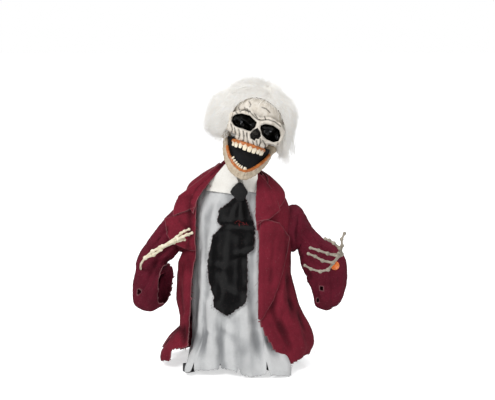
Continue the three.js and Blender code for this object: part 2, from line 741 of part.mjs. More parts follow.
function eyeRim(side) {
  const ring = new THREE.TorusGeometry(1, rimRadius / eyeHalfHeight, 5, plainSideCount).rotateX(quarter);
  const [halfWidth, halfHeight] = [eyeHalfWidth + rimRadius / 4, eyeHalfHeight + rimRadius / 4];
  ring.scale(halfWidth, rimDepth * eyeHalfHeight / rimRadius, halfHeight);
  return atEye(ring.rotateZ(side * rimTurn).translate(0, -rimY, 0), side);
}

// Room round one eye rim
function eyeRoom(side) {
  const [halfWidth, halfHeight] = [eyeHalfWidth + 4 * rimRadius, eyeHalfHeight + 3 * rimRadius];
  return atEye(ball(halfWidth, rimY / 2, halfHeight, 0, -rimY, 0, coarseSideCount), side);
}

// Cheek bone from the eye rim back to the knob over the jaw hinge, as places along it and their thickness
const cheekShares = [
  [0.5, -0.8, 1], [0.8, -0.66, 1.1], [0.94, -0.36, 1.05],
  [0.97, -0.02, 0.95], [0.9, 0.26, 0.8], [0.74, 0.4, 0.8],
];
const cheekFlatShare = 0.75;

function cheekBone(side, grow = 0) {
  const sideCount = 8;
  const rings = cheekShares.map(([sx, sy, size]) => counted(sideCount, (i) => {
    const a = (i / sideCount) * full;
    const radius = cheekRadius * size + grow;
    const x = side * (cheekHalfWidth - cheekRadius) * sx + radius * cheekFlatShare * Math.cos(a);
    return vec(x, skullFront * sy, -cheekDrop + radius * Math.sin(a));
  }));
  return loft(rings);
}

function noseHole() {
  const lobe = (side) => ball(noseLobe, noseDepth, noseHalfHeight, 0, 0, 0, coarseSideCount)
    .rotateY(-side * noseSplay).translate(side * noseSpread * 0.7, -skullFront, -noseDrop);
  return unite(bothSides.map(lobe));
}

function skullShell() {
  const bone = unite([loft(skullRings(0)), ...bothSides.flatMap((side) => [eyeRim(side), cheekBone(side)])]);
  const pin = rodX(jawPinRadius + slip, cheekHalfWidth * 3, 0, jawHingeY, -jawHingeDrop, smoothSideCount);
  const [width, depth, height] = [craniumHalfWidth, craniumHalfDepth, craniumHalfHeight];
  const cranium = ball(width, depth, height, 0, craniumY, craniumLift, coarseSideCount);
  return cut(bone, ...bothSides.map((side) => eyeSocket(side, 0)), noseHole(), pin, cranium);
}

function skullHalf(face) {
  const size = skullBack * 3;
  const half = block(size, size, size, 0, face * (size / 2 + skullSplitGap / 2), 0);
  return common(skullShell(), half);
}

// Black bowl that fills the back of an eye socket, bored for its lamp
function eyeCup(side) {
  const size = eyeHalfWidth * 3;
  const [bowlWidth, bowlHeight] = [eyeHalfWidth * 0.86, eyeHalfHeight * 0.86];
  const back = atEye(block(size, size, size, 0, -eyeCupFront + size / 2, 0), side);
  const bowl = atEye(ball(bowlWidth, eyeCupHollow, bowlHeight, 0, -eyeCupFront, 0), side);
  const boreY = ledLength / 2 - eyeCupFront;
  const bore = rodY(ledRadius + ledGap, ledLength * 2, side * eyeSpread, boreY, 0, plainSideCount);
  return cut(common(eyeSocket(side, seat), back), bowl, bore);
}

function eyeLamp(side) {
  const [r, h] = [ledRadius - ledGap, ledLength];
  const profile = [[0, 0], [r, 0], [r, h * 0.6], [r * 0.62, h * 0.9], [0, h]];
  const lamp = turned(profile, plainSideCount).rotateX(Math.PI);
  return lamp.translate(side * eyeSpread, ledSetback - eyeCupFront, 0);
}

// Sections of the gums and teeth, in shares of their depth and height
const gumSectionShares = [[-0.5, 0], [0.5, 0], [0.62, 0.45], [0.42, 0.9], [-0.42, 0.9], [-0.55, 0.4]];
const toothSectionShares = [[-1, -0.5], [-0.5, -1], [0.5, -1], [1, -0.5], [0.8, 1], [-0.8, 1]];

// Width, depth and place along a tooth
const upperToothShares = [[0.36, 0.62, 0], [0.5, 1, 0.5], [0.4, 0.6, 1]];
const lowerToothShares = [[0.4, 0.6, 0.1], [0.5, 1, 0.6], [0.38, 0.5, 1.1]];

// Upper teeth in their gum on a rounded arch
function upperTeeth() {
  const stepCount = 8;
  const sweep = Math.PI * 0.84;
  const [middleShare, otherShare] = [1.08, 0.92];
  const archAt = (t) => {
    const a = sweep * (t - 1 / 2);
    return [toothArcHalfWidth * Math.sin(a), -toothArcDepth * Math.cos(a), a];
  };
  const gum = loft(counted(stepCount + 1, (i) => {
    const [x, y, a] = archAt(i / stepCount);
    const out = vec(Math.sin(a), -Math.cos(a), 0);
    return gumSectionShares.map(([o, h]) => vec(x, y, -gumHeight * h).addScaledVector(out, gumDepth * o));
  }));
  const teeth = counted(toothCount, (i) => {
    const [x, y, a] = archAt((i + 1 / 2) / toothCount);
    const size = Math.abs(i + 1 / 2 - toothCount / 2) < 1 ? middleShare : otherShare;
    const rings = upperToothShares.map(([w, d, h]) => toothSectionShares.map(([sx, sy]) =>
      vec(sx * w * toothWidth * size, sy * d * toothDepth / 2, -gumHeight / 2 - toothLength * size * h)));
    return loft(rings).rotateZ(a).translate(x, y, 0);
  });
  const archY = -skullFront + toothArcDepth + gumDepth / 3;
  return asGeometry(unite([gum, ...teeth])).translate(0, archY, -maxillaDrop - seat);
}

// Jaw in its hinge frame: open at rest, sloping down and forwards from the hinge
const jawRoundShare = 4 / 5;

function jawPoint(t) {
  const power = jawRoundShare;
  const [c, s] = [Math.cos(t), Math.sin(t)];
  const run = jawReach * Math.abs(s) ** power;
  const x = -jawHalfWidth * Math.sign(c) * Math.abs(c) ** power;
  return vec(x, -run * Math.cos(jawSlope), -run * Math.sin(jawSlope));
}

// Directions of the jaw's section at a place along it: outwards, and up from its lower edge
function jawFrame(t) {
  const ahead = jawPoint(Math.min(t + tangentShare, Math.PI));
  const tangent = ahead.sub(jawPoint(Math.max(t - tangentShare, 0))).normalize();
  const out = vec(-Math.cos(t), -Math.sin(t), 0).normalize();
  out.addScaledVector(tangent, -out.dot(tangent)).normalize();
  const chin = Math.sin(t) ** 6;
  const low = jawHalfHeight + (jawChinHeight - jawHalfHeight) * chin;
  const high = jawHalfHeight * (1 - 0.35 * chin);
  return { middle: jawPoint(t), out, up: tangent.clone().cross(out).normalize().negate(), low, high };
}

const jawStepCount = 12;
const jawSectionShares = [[-0.7, -0.8], [0, -1], [0.8, -0.7], [1, 0], [0.8, 0.7], [0, 1], [-0.8, 0.7], [-1, 0]];

function jawBone() {
  const rings = counted(jawStepCount + 1, (i) => {
    const { middle, out, up, low, high } = jawFrame((Math.PI * i) / jawStepCount);
    return jawSectionShares.map(([o, h]) =>
      middle.clone().addScaledVector(out, o * jawThick).addScaledVector(up, h * (h > 0 ? high : low)));
  });
  const ears = bothSides.map((side) =>
    rodX(jawEarRadius, jawEarLength, side * jawHalfWidth, 0, 0, plainSideCount));
  const pin = rodX(jawPinRadius + slip, jawHalfWidth * 3, 0, 0, 0, plainSideCount);
  return cut(unite([loft(rings), ...ears]), pin);
}

// Gum along the upper edge of the jaw, with the front teeth standing in it
function lowerTeeth() {
  const bareStepCount = 2; // steps of the jaw at each end without a gum
  const frontToothCount = toothCount - 2;
  const sweep = Math.PI * 0.46;
  const [gumShare, widthShare, depthShare, lengthShare] = [0.55, 0.82, 0.42, 0.75];
  const lift = seat + jawThick / 20;
  const gum = loft(counted(jawStepCount + 1 - 2 * bareStepCount, (i) => {
    const { middle, out, up, high } = jawFrame((Math.PI * (i + bareStepCount)) / jawStepCount);
    return gumSectionShares.map(([o, h]) => middle.clone()
      .addScaledVector(out, gumDepth * o - jawThick / 10)
      .addScaledVector(up, high + lift + gumHeight * gumShare * h));
  }));
  const teeth = counted(frontToothCount, (i) => {
    const t = quarter + sweep * ((i + 1 / 2) / frontToothCount - 1 / 2);
    const { middle, out, up, high } = jawFrame(t);
    const across = up.clone().cross(out);
    return loft(lowerToothShares.map(([w, d, h]) => toothSectionShares.map(([sx, sy]) => middle.clone()
      .addScaledVector(across, sx * w * toothWidth * widthShare)
      .addScaledVector(out, -sy * d * toothDepth * depthShare)
      .addScaledVector(up, high + lift + toothLength * lengthShare * h))));
  });
  return unite([gum, ...teeth]);
}

const jawShaft = () => rodX(jawPinRadius, 2 * (jawHalfWidth + jawPinProud), 0, 0, 0, smoothSideCount);

// Dark liner that closes the mouth behind the teeth
function mouthLiner() {
  const columnCount = 8;
  const rowCount = 5;
  const sweep = Math.PI * 0.9;
  const [taperShare, slopeShare] = [0.28, 0.6];
  const surface = (u, v) => {
    const a = sweep * (u - 1 / 2);
    const half = linerHalfWidth * (1 - taperShare * v ** 2);
    const y = linerY - linerBulge * Math.cos(a) * (1 - slopeShare * v) + linerBulge * slopeShare * v ** 2;
    return vec(half * Math.sin(a), y, -maxillaDrop - seat - linerDrop * v);
  };
  return slab(surface, columnCount, rowCount, linerWall);
}

// Wig: one puff over the crown with a lobe at each side, hollowed for the skull and open at the face
function wigFur() {
  const [r, lobeX, lobeZ] = [wigLobeRadius, wigLobeSide, -wigLobeDrop];
  const crown = ball(wigHalfWidth, wigHalfDepth, wigHalfHeight, 0, 0, wigLift, crownSideCount);
  const lobeRight = ball(r * 0.95, r * 1.2, r, -lobeX, 0, lobeZ, coarseSideCount);
  const lobeLeft = ball(r * 0.5, r * 0.9, r, lobeX, 0, lobeZ, coarseSideCount);
  const face = rod(1, skullFront * 2, smoothSideCount).scale(wigFaceHalfWidth, 1, wigFaceTop + maxillaDrop)
    .translate(0, -skullFront - wigHalfDepth * 0.2, -maxillaDrop);
  const bottom = lobeZ - r * 0.9;
  const below = block(wigHalfWidth * 3, wigHalfDepth * 3, wigHalfHeight, 0, 0, bottom - wigHalfHeight / 2);
  const low = -cheekDrop - maxillaDrop;
  const sides = bothSides.map((side) =>
    block(wigJawRoom, skullBack * 1.4, maxillaDrop * 2, side * jawHalfWidth, jawHingeY, low));
  const middle = block(jawHalfWidth * 2, skullBack * 2, maxillaDrop * 2, 0, -skullBack / 2, low);
  const neckRoom = rodZ(wigNeckRoom, wigHalfHeight, 0, 0, -maxillaDrop - wigHalfHeight / 2);
  const cheeks = bothSides.flatMap((side) => [cheekBone(side, 2 * wigGap), eyeRoom(side)]);
  const rooms = [loft(skullRings(wigGap)), ...cheeks, face, below, ...sides, middle, neckRoom];
  return largest(cut(unite([crown, lobeRight, lobeLeft]), ...rooms));
}

// Stand: a moulded hub, four square legs with end caps, and a steel pole
const legAngle = Math.atan2(legReachY, legReachX);
const legReach = Math.hypot(legReachX, legReachY);
const legAngles = [legAngle, Math.PI - legAngle, Math.PI + legAngle, -legAngle].map((a) => a + standTurn);
const legNames = ['back_left', 'back_right', 'front_right', 'front_left'];
const legMiddleZ = footSide / 2;

function legBar(side, start, end) {
  return block(end - start, side, side, (start + end) / 2, 0, 0);
}

const placeLeg = (shape, angle) => asGeometry(shape).rotateZ(angle).translate(0, 0, legMiddleZ);

function baseHub() {
  const profile = [[0, 0], [hubRadius, 0], [hubRadius, hubHeight - hubBevel], [hubRadius - hubBevel, hubHeight],
    [hubCollarRadius, hubHeight], [hubCollarRadius - hubBevel / 4, hubCollarHeight], [0, hubCollarHeight]];
  const body = turned(profile, smoothSideCount).rotateX(quarter);
  const sockets = legAngles.map((angle) =>
    placeLeg(legBar(legSide + 2 * seat, hubRadius - legSeatDepth - seat, hubRadius + overrun), angle));
  const bore = rodZ(poleRadius + seat, hubCollarHeight, 0, 0, hubFloor + hubCollarHeight / 2);
  const ribX = (hubRadius + hubCollarRadius) / 2 - hubBevel;
  const ribZ = hubHeight * 1.25 - hubBevel / 2;
  const ribs = counted(4, (i) =>
    block(hubRadius - hubCollarRadius, hubBevel, hubHeight / 2, ribX, 0, ribZ).rotateZ(quarter * i));
  return cut(unite([body, ...ribs]), ...sockets, bore);
}

function leg(angle) {
  const end = legReach + footDepth / 2 - footWall - seat;
  return placeLeg(legBar(legSide, hubRadius - legSeatDepth, end), angle);
}

function footCap(angle) {
  const end = legReach + footDepth / 2;
  const room = legBar(legSide + 2 * seat, end - footDepth - overrun, end - footWall);
  return placeLeg(cut(legBar(footSide, end - footDepth, end), room), angle);
}

function pole() {
  const [low, high] = [hubFloor + seat, poleTop];
  const bore = poleRadius - poleWall;
  const profile = [[bore, low], [poleRadius, low], [poleRadius, high], [bore, high], [bore, low]];
  return turned(profile, smoothSideCount).rotateX(quarter);
}

// Rounded box standing on its own width and height, drawn through in depth
function roundedBox(width, height, round, back, front, middleZ) {
  const [w, h] = [width / 2, height / 2];
  const shape = new THREE.Shape();
  shape.moveTo(-w + round, -h);
  shape.lineTo(w - round, -h).absarc(w - round, -h + round, round, -quarter, 0, false);
  shape.lineTo(w, h - round).absarc(w - round, h - round, round, 0, quarter, false);
  shape.lineTo(-w + round, h).absarc(-w + round, h - round, round, quarter, Math.PI, false);
  shape.lineTo(-w, -h + round).absarc(-w + round, -h + round, round, Math.PI, Math.PI + quarter, false);
  return new THREE.ExtrudeGeometry(shape, { depth: back - front, bevelEnabled: false, curveSegments: 2 })
    .rotateX(quarter).translate(0, back, middleZ);
}

const boxMiddleZ = (boxBottom + boxTop) / 2;
const boxFront = -boxDepth / 2;
const boxBack = boxDepth / 2;
const boxSplit = boxFront + frontShellDepth;
const doorMiddleZ = boxTop - boxWall * 2 - doorHeight / 2 - doorKnuckle / 4;
const doorBottom = doorMiddleZ - doorHeight / 2;
const doorPinY = boxBack + doorPinRadius;
const doorBarrelRadius = doorPinRadius * 2;
const speakerX = -boxWidth / 4;
const switchX = boxWidth / 2 - boxWall - switchWidth - switchTravel;

function boxHalf(front, back, cavityFront, cavityBack) {
  const height = boxTop - boxBottom;
  const [roomWidth, roomHeight, roomRound] = [boxWidth - 2 * boxWall, height - 2 * boxWall, boxRound - boxWall];
  const outside = roundedBox(boxWidth, height, boxRound, back, front, boxMiddleZ);
  return cut(outside, roundedBox(roomWidth, roomHeight, roomRound, cavityBack, cavityFront, boxMiddleZ));
}

// Boss of the box that takes the top of the pole
function poleBoss(grow) {
  const [low, high] = [boxBottom - boxSocketDrop - grow, poleTop + boxWall + grow];
  return rodZ(boxSocketRadius + grow, high - low, 0, 0, (low + high) / 2);
}

function chestFront() {
  const columnCount = 2 * grilleSpanCount + 1;
  const holes = counted(columnCount ** 2, (n) => {
    const [i, j] = [(n % columnCount) - grilleSpanCount, Math.floor(n / columnCount) - grilleSpanCount];
    return [i * grillePitch, j * grillePitch];
  }).filter(([across, up]) => Math.hypot(across, up) < speakerRadius - grillePitch / 2)
    .map(([x, z]) => rodY(grilleHoleRadius, boxWall * 3, speakerX + x, boxFront, boxMiddleZ + z, 5));
  const half = boxHalf(boxFront, boxSplit - seat / 2, boxFront + boxWall, boxSplit + overrun);
  return cut(half, poleBoss(seat), ...holes);
}

// Knuckles either side of the door, on the back of the box
function doorLugs() {
  return bothSides.map((side) => {
    const x = side * (doorWidth / 2 - doorKnuckle / 2);
    const webDepth = doorPinRadius + boxWall;
    const webZ = doorBottom - doorPinRadius * 1.8;
    const web = block(doorKnuckle, webDepth, doorBarrelRadius, x, boxBack - boxWall / 4, webZ);
    return unite([rodX(doorBarrelRadius, doorKnuckle, x, doorPinY, doorBottom, plainSideCount), web]);
  });
}

function chestBack() {
  const shell = boxHalf(boxSplit + seat / 2, boxBack, boxSplit - overrun, boxBack - boxWall);
  const [saddleLow, saddleHigh] = [boxTop - boxWall, armAxisZ];
  const saddles = bothSides.map((side) => block(saddleWidth, barRadius * 2, saddleHigh - saddleLow,
    side * saddleSpread, armAxisY, (saddleHigh + saddleLow) / 2));
  const doorwayHeight = doorHeight + 2 * doorPinRadius + 3 * seat;
  const doorwayZ = doorMiddleZ - doorPinRadius + 2 * seat;
  const doorway = block(doorWidth + 2 * seat, boxWall * 3, doorwayHeight, 0, boxBack, doorwayZ);
  const groove = rodX(barRadius + seat, boxWidth, 0, armAxisY, armAxisZ, smoothSideCount);
  const bore = rodZ(poleRadius + seat, poleTop + seat, 0, 0, (poleTop + seat) / 2);
  const slotWidth = switchKnob + switchTravel + 4 * seat;
  const slot = block(slotWidth, boxWall * 3, switchHeight, switchX, boxBack, boxMiddleZ);
  const pin = rodX(doorPinRadius + slip / 2, boxWidth, 0, doorPinY, doorBottom);
  const body = unite([cut(shell, doorway), poleBoss(0), ...saddles, ...doorLugs()]);
  return cut(body, groove, bore, slot, pin);
}

function batteryDoor() {
  const plateBottom = doorBottom + 2 * doorPinRadius + 2 * seat;
  const plateTop = doorBottom + doorHeight;
  const plateY = boxBack - doorThickness / 2;
  const plateZ = (plateBottom + plateTop) / 2;
  const plate = block(doorWidth, doorThickness, plateTop - plateBottom, 0, plateY, plateZ);
  const barrelLength = doorWidth - 2 * (doorKnuckle + seat);
  const barrel = rodX(doorBarrelRadius, barrelLength, 0, doorPinY, doorBottom, plainSideCount);
  const webTop = plateBottom + seat;
  const webZ = (webTop + doorBottom) / 2;
  const web = block(barrelLength, doorThickness, webTop - doorBottom, 0, plateY + seat, webZ);
  const gripZ = doorBottom + doorHeight * 0.85;
  const grip = block(doorLatch, doorThickness, doorThickness, 0, plateY + doorThickness - seat / 2, gripZ);
  const trunnions = rodX(doorPinRadius, doorWidth, 0, doorPinY, doorBottom);
  return unite([plate, barrel, web, grip, trunnions]);
}

const cellY = boxBack - boxWall - seat - cellRadius;
const cellPitch = 2 * cellRadius + cellGap;
const cellMiddleZ = doorBottom + doorHeight / 2;
const cellZ = (number) => cellMiddleZ + (number - (cellCount - 1) / 2) * cellPitch;

// Dry cell lying across the box, its cap to the other side from its neighbours'
function dryCell(number) {
  const half = cellLength / 2;
  const profile = [[0, -half], [cellRadius, -half], [cellRadius, half - cellCapHeight],
    [cellCapRadius, half - cellCapHeight], [cellCapRadius, half], [0, half]];
  const turn = number % 2 ? quarter : -quarter;
  return turned(profile, plainSideCount).rotateZ(turn).translate(0, cellY, cellZ(number));
}

// Tray that holds the cells, hung from the top of the box by a stay
function cellTray() {
  const height = cellCount * cellPitch + cellGap;
  const width = cellLength + 2 * seat + 2 * boxWall;
  const front = cellY - cellRadius - seat - trayFloor / 2;
  const frame = block(width, cellY - front, height, 0, (cellY + front) / 2, cellMiddleZ);
  const rooms = counted(cellCount, (i) =>
    rodX(cellRadius + seat, cellLength + 2 * seat, 0, cellY, cellZ(i), smoothSideCount));
  const stayTop = boxTop - boxWall - seat;
  const stayZ = (stayTop + cellMiddleZ) / 2;
  const stay = block(width, trayFloor / 2, stayTop - cellMiddleZ, 0, front + trayFloor / 4, stayZ);
  return cut(unite([frame, stay]), ...rooms);
}

function slideSwitch() {
  const inside = boxBack - boxWall - seat;
  const knobX = switchX - switchTravel / 2;
  const plateY = inside - switchPlate / 2;
  const plate = block(switchWidth + switchTravel, switchPlate, switchHeight * 1.8, knobX, plateY, boxMiddleZ);
  const knobEnd = boxBack + switchProud;
  const knobHeight = switchHeight - 2 * seat;
  const knob = block(switchKnob, knobEnd - plateY, knobHeight, knobX, (plateY + knobEnd) / 2, boxMiddleZ);
  return unite([plate, knob]);
}

function loudspeaker() {
  const [r, d] = [speakerRadius, speakerDepth];
  const cone = [[0, d * 0.45], [r * 0.35, d * 0.3], [r * 0.84, d * 0.05], [r * 0.88, 0]];
  const profile = [...cone, [r, 0], [r, d * 0.2], [r * 0.55, d * 0.6], [r / 2, d], [0, d]];
  return turned(profile, plainSideCount).translate(speakerX, boxFront + boxWall + seat, boxMiddleZ);
}

// Places of the chips on the board, in shares of it, and their widths
const chipShares = [[-0.22, 0.1, 1], [0.2, 0.15, 1.3], [0.05, -0.28, 0.7]];

function circuitBoard() {
  const face = boxFront + boxWall + seat + boardStandoff;
  const x = boxWidth / 4;
  const plate = block(boardWidth, boardThickness, boardHeight, x, face + boardThickness / 2, boxMiddleZ);
  const [postX, postZ] = [boardWidth / 2 - boardPostRadius * 1.5, boardHeight / 2 - boardPostRadius * 1.5];
  const [postLow, postHigh] = [face - boardStandoff, face + boardThickness / 2];
  const posts = bothSides.flatMap((i) => bothSides.map((j) => rodY(boardPostRadius, postHigh - postLow,
    x + i * postX, (postLow + postHigh) / 2, boxMiddleZ + j * postZ, 6)));
  const [chipLow, chipHigh] = [face + boardThickness / 2, face + boardThickness + chipHeight];
  const chips = chipShares.map(([i, j, size]) => block(chipSide * size, chipHigh - chipLow, chipSide,
    x + i * boardWidth, (chipLow + chipHigh) / 2, boxMiddleZ + j * boardHeight));
  return unite([plate, ...posts, ...chips]);
}

function shoulderBar() {
  const [bore, half] = [armRodRadius + slip, barHalfLength];
  const profile = [[bore, -half], [barRadius, -half], [barRadius, half], [bore, half], [bore, -half]];
  return turned(profile, smoothSideCount).rotateZ(quarter).translate(0, armAxisY, armAxisZ);
}

// One gear tooth with straight sides: shares of the pitch along it and of its height above the pitch circle
const toothProfileShares = [[-0.5, -1.1], [-0.3, -1.1], [-0.13, 0.75], [0.13, 0.75], [0.3, -1.1]];

// Outline of some teeth of a gear, one tooth centred on the start angle
function toothPoints(radius, toothTotal, start, teeth) {
  const pitch = full / toothTotal;
  return teeth.flatMap((tooth) => toothProfileShares.map(([along, up]) => {
    const a = start + (tooth + along) * pitch;
    const r = radius + up * toothHeight;
    return new THREE.Vector2(r * Math.cos(a), r * Math.sin(a));
  }));
}

function plateIn(shape, thickness) {
  return new THREE.ExtrudeGeometry(shape, { depth: thickness, bevelEnabled: false, curveSegments: 5 })
    .translate(0, 0, -thickness / 2).rotateX(quarter);
}

function neckArm() {
  const halfCount = Math.round((sectorHalfAngle / full) * sectorToothCount);
  const teeth = counted(2 * halfCount + 1, (i) => i - halfCount);
  const outline = [new THREE.Vector2(0, 0), ...toothPoints(neckTeethRadius, sectorToothCount, -quarter, teeth)];
  const sector = plateIn(new THREE.Shape(outline), neckPlate);
  const hub = rodY(bracketHeadRadius * 0.8, neckPlate, 0, 0, 0, plainSideCount);
  const stemTop = neckCupStart + neckCupHeight / 4;
  const stem = block(neckStemWidth, neckPlate, stemTop, 0, 0, stemTop / 2);
  const cup = rodZ(neckCupRadius, neckCupHeight, 0, 0, neckCupStart + neckCupHeight / 2);
  const roomZ = neckCupStart + neckCupHeight / 2 + neckCupFloor;
  const room = rodZ(neckTubeRadius + seat, neckCupHeight, 0, 0, roomZ);
  const [windowRadius, windowX, windowDrop] = [0.16, 0.33, 0.52].map((share) => neckTeethRadius * share);
  const windows = bothSides.map((side) => rodY(windowRadius, neckPlate * 2, side * windowX, 0, -windowDrop));
  const pin = rodY(neckPinRadius + slip / 2, neckPlate * 2, 0, 0, 0, plainSideCount);
  return cut(unite([sector, hub, stem, cup]), room, pin, ...windows);
}

const neckTubeStart = neckCupStart + neckCupFloor + seat;
const neckTubeEnd = skullLift - maxillaDrop / 2;

function neckTubeForm(radius, start, end) {
  return rodZ(radius, end - start, 0, 0, (start + end) / 2);
}

function neckTube() {
  return cut(neckTubeForm(neckTubeRadius, neckTubeStart, neckTubeEnd),
    neckTubeForm(neckTubeRadius - neckTubeWall, neckTubeStart - overrun, neckTubeEnd + overrun));
}

const pinionZ = neckPivotZ - neckTeethRadius - pinionRadius - meshGap;
const plateInside = neckPlate / 2 + bracketGap;
const motorFace = plateInside + bracketPlate + seat;

// Upright plates either side of the neck arm, on one foot that stands on the chest box
function neckBracket() {
  const low = boxTop + seat;
  const half = bracketWidth / 2;
  const pin = rodY(neckPinRadius + slip / 4, boxDepth, 0, 0, neckPivotZ, plainSideCount);
  const shaft = rodY(motorShaftRadius + slip, boxDepth, 0, 0, pinionZ, plainSideCount);
  const plates = bothSides.map((side) => {
    const shape = new THREE.Shape();
    shape.moveTo(-half, low);
    shape.lineTo(half, low).lineTo(bracketHeadRadius, neckPivotZ);
    shape.absarc(0, neckPivotZ, bracketHeadRadius, 0, Math.PI, false);
    return plateIn(shape, bracketPlate).translate(0, side * (plateInside + bracketPlate / 2), 0);
  });
  const foot = block(bracketWidth, 2 * (plateInside + bracketPlate), bracketBase, 0, 0, low + bracketBase / 2);
  return cut(unite([...plates, foot]), pin, shaft);
}

function neckPin() {
  const length = 2 * (plateInside + bracketPlate) + neckPinRadius;
  return rodY(neckPinRadius, length, 0, 0, neckPivotZ, plainSideCount);
}

function pinionGear() {
  const halfPitch = Math.PI / pinionToothCount;
  const teeth = counted(pinionToothCount, (i) => i);
  const outline = toothPoints(pinionRadius, pinionToothCount, quarter + halfPitch, teeth);
  const [front, back] = [-neckPlate / 2 - seat, motorFace + gearcaseDepth * 0.8];
  const shaft = rodY(motorShaftRadius, back - front, 0, (front + back) / 2, 0);
  return asGeometry(unite([plateIn(new THREE.Shape(outline), neckPlate), shaft])).translate(0, 0, pinionZ);
}

function neckMotor() {
  const gearcaseEnd = motorFace + gearcaseDepth;
  const canEnd = gearcaseEnd + motorLength;
  const canStart = gearcaseEnd - gearcaseDepth / 4;
  const gearcaseY = (motorFace + gearcaseEnd) / 2;
  const gearcase = block(gearcaseWidth, gearcaseDepth, gearcaseWidth * 0.8, 0, gearcaseY, pinionZ);
  const can = rodY(motorRadius, canEnd - canStart, 0, (canStart + canEnd) / 2, pinionZ, smoothSideCount);
  const boss = rodY(motorShaftRadius * 1.6, motorShaftRadius * 2, 0, canEnd, pinionZ);
  const bore = rodY(motorShaftRadius + slip, gearcaseDepth * 1.8, 0, motorFace, pinionZ, plainSideCount);
  return cut(unite([gearcase, can, boss]), bore);
}

// Arm wires: straight in the shoulder bar, then bent to the wrist; shares of the arm's reach from the bar's end
const rightWireShares = [[0.1, -0.01, -0.02], [0.36, -0.1, -0.2], [0.66, -0.32, -0.58], [0.84, -0.58, -0.72],
  [0.84, -0.86, -0.54], [0.74, -1.02, -0.38]];
const leftWireShares = [[0.1, -0.01, -0.02], [0.34, -0.08, -0.22], [0.6, -0.28, -0.44], [0.84, -0.52, -0.42],
  [0.97, -0.78, -0.36]];

// Place on an arm, in shares of its reach
function armPlace(side, [x, y, z]) {
  return vec(side * (barHalfLength + armReach * x), armAxisY + armReach * y, armAxisZ + armReach * z);
}

function armWire(side, shares, radius, reachPast = 0) {
  const stepCount = 16;
  const path = [[0, 0, 0], ...shares].map((place) => armPlace(side, place));
  const [last, before] = [path.at(-1), path.at(-2)];
  if (reachPast) path.push(last.clone().addScaledVector(last.clone().sub(before).normalize(), reachPast));
  const section = new THREE.Shape().absarc(0, 0, radius, 0, full, false);
  const extrudePath = new THREE.CatmullRomCurve3(path);
  const settings = { steps: stepCount, extrudePath, bevelEnabled: false, curveSegments: 3 };
  const bent = new THREE.ExtrudeGeometry(section, settings);
  const [start, end] = [barHalfLength - armRodSeat - radius / 4, barHalfLength + radius / 2];
  return unite([rodX(radius, end - start, side * (start + end) / 2, armAxisY, armAxisZ, 6), bent]);
}

// Sleeve rings, in shares of the arm's reach from the end of the shoulder bar: centre, outward direction across
// the arm, half width that way, half depth, and turn of the depth
const rightSleeveShares = [
  [[0.3, -0.07, -0.13], [0.5, 0.87], 0.32, 0.34, 0], [[0.48, -0.2, -0.33], [0.75, 0.66], 0.3, 0.3, 0],
  [[0.66, -0.35, -0.55], [0.96, 0.28], 0.28, 0.28, 0], [[0.68, -0.46, -0.73], [1, -0.05], 0.3, 0.28, 0],
  [[0.71, -0.55, -0.94], [0.85, -0.53], 0.36, 0.28, 0.1],
    [[0.7, -0.62, -1.08], [0.6, -0.8], 0.42, 0.27, 0.25],
  [[0.57, -0.66, -1.13], [0.3, -0.95], 0.41, 0.27, 0.45], [[0.42, -0.7, -0.97], [0.05, -1], 0.37, 0.26, 0.6],
];
const leftSleeveShares = [
  [[0.3, -0.07, -0.18], [0.35, 0.94], 0.3, 0.34, 0], [[0.45, -0.15, -0.46], [0.6, 0.8], 0.34, 0.32, 0],
  [[0.67, -0.28, -0.65], [0.75, 0.66], 0.41, 0.3, 0], [[0.73, -0.4, -0.88], [0.95, 0.3], 0.42, 0.28, 0],
  [[0.73, -0.5, -1.1], [0.97, -0.2], 0.36, 0.26, 0], [[0.7, -0.56, -1.3], [0.95, -0.3], 0.28, 0.23, 0],
  [[0.66, -0.6, -1.45], [1, 0], 0.18, 0.16, 0], [[0.65, -0.61, -1.51], [1, 0], 0.09, 0.08, 0],
];
const sleeveSideCount = 12;
const sleeveCreaseShare = 0.05; // depth of the creases as a share of the sleeve's width
const sleeveHeadPlaces = [[armholeStart + armholeGap, armholeRadius], [capStart - armholeGap, armholeRadius],
  [capStart + armholeGap, capRadius - armholeGap / 2], [capStart + armRodSeat / 2, capRadius]];

function sleeveRing(side, shares, row, wall) {
  const ringAt = (centre, out, half, across, depth, swell) => counted(sleeveSideCount, (i) => {
    const a = (i / sleeveSideCount) * full;
    const place = centre.clone().addScaledVector(out, half * swell(i) * Math.cos(a));
    return place.addScaledVector(across, depth * swell(i) * Math.sin(a));
  });
  if (row < sleeveHeadPlaces.length) {
    const [x, radius] = sleeveHeadPlaces[row];
    const centre = vec(side * x, armAxisY, armAxisZ);
    return ringAt(centre, vec(0, 0, 1), radius - wall, vec(0, 1, 0), radius - wall, () => 1);
  }
  const [place, [outX, outZ], half, depth, turn] = shares[row - sleeveHeadPlaces.length];
  const out = vec(side * outX, 0, outZ).normalize();
  const across = vec(-side * turn, 1, 0).normalize();
  const swell = (i) => 1 + sleeveCreaseShare * Math.sin(3 * i + 2 * row);
  return ringAt(armPlace(side, place), out, armReach * half - wall, across, armReach * depth - wall, swell);
}

const sleeveRings = (side, shares, wall) =>
  counted(sleeveHeadPlaces.length + shares.length, (row) => sleeveRing(side, shares, row, wall));

function sleeve(side, shares, wire) {
  const skin = tubeWall(sleeveRings(side, shares, 0), sleeveRings(side, shares, sleeveWall));
  return cut(skin, armWire(side, wire, armRodRadius + rodHoleGap));
}

// Cuff button, flat on the sleeve
const buttonRowCount = 6;
const buttonPlaceShares = [0.86, 0.4]; // round the sleeve and towards its next ring

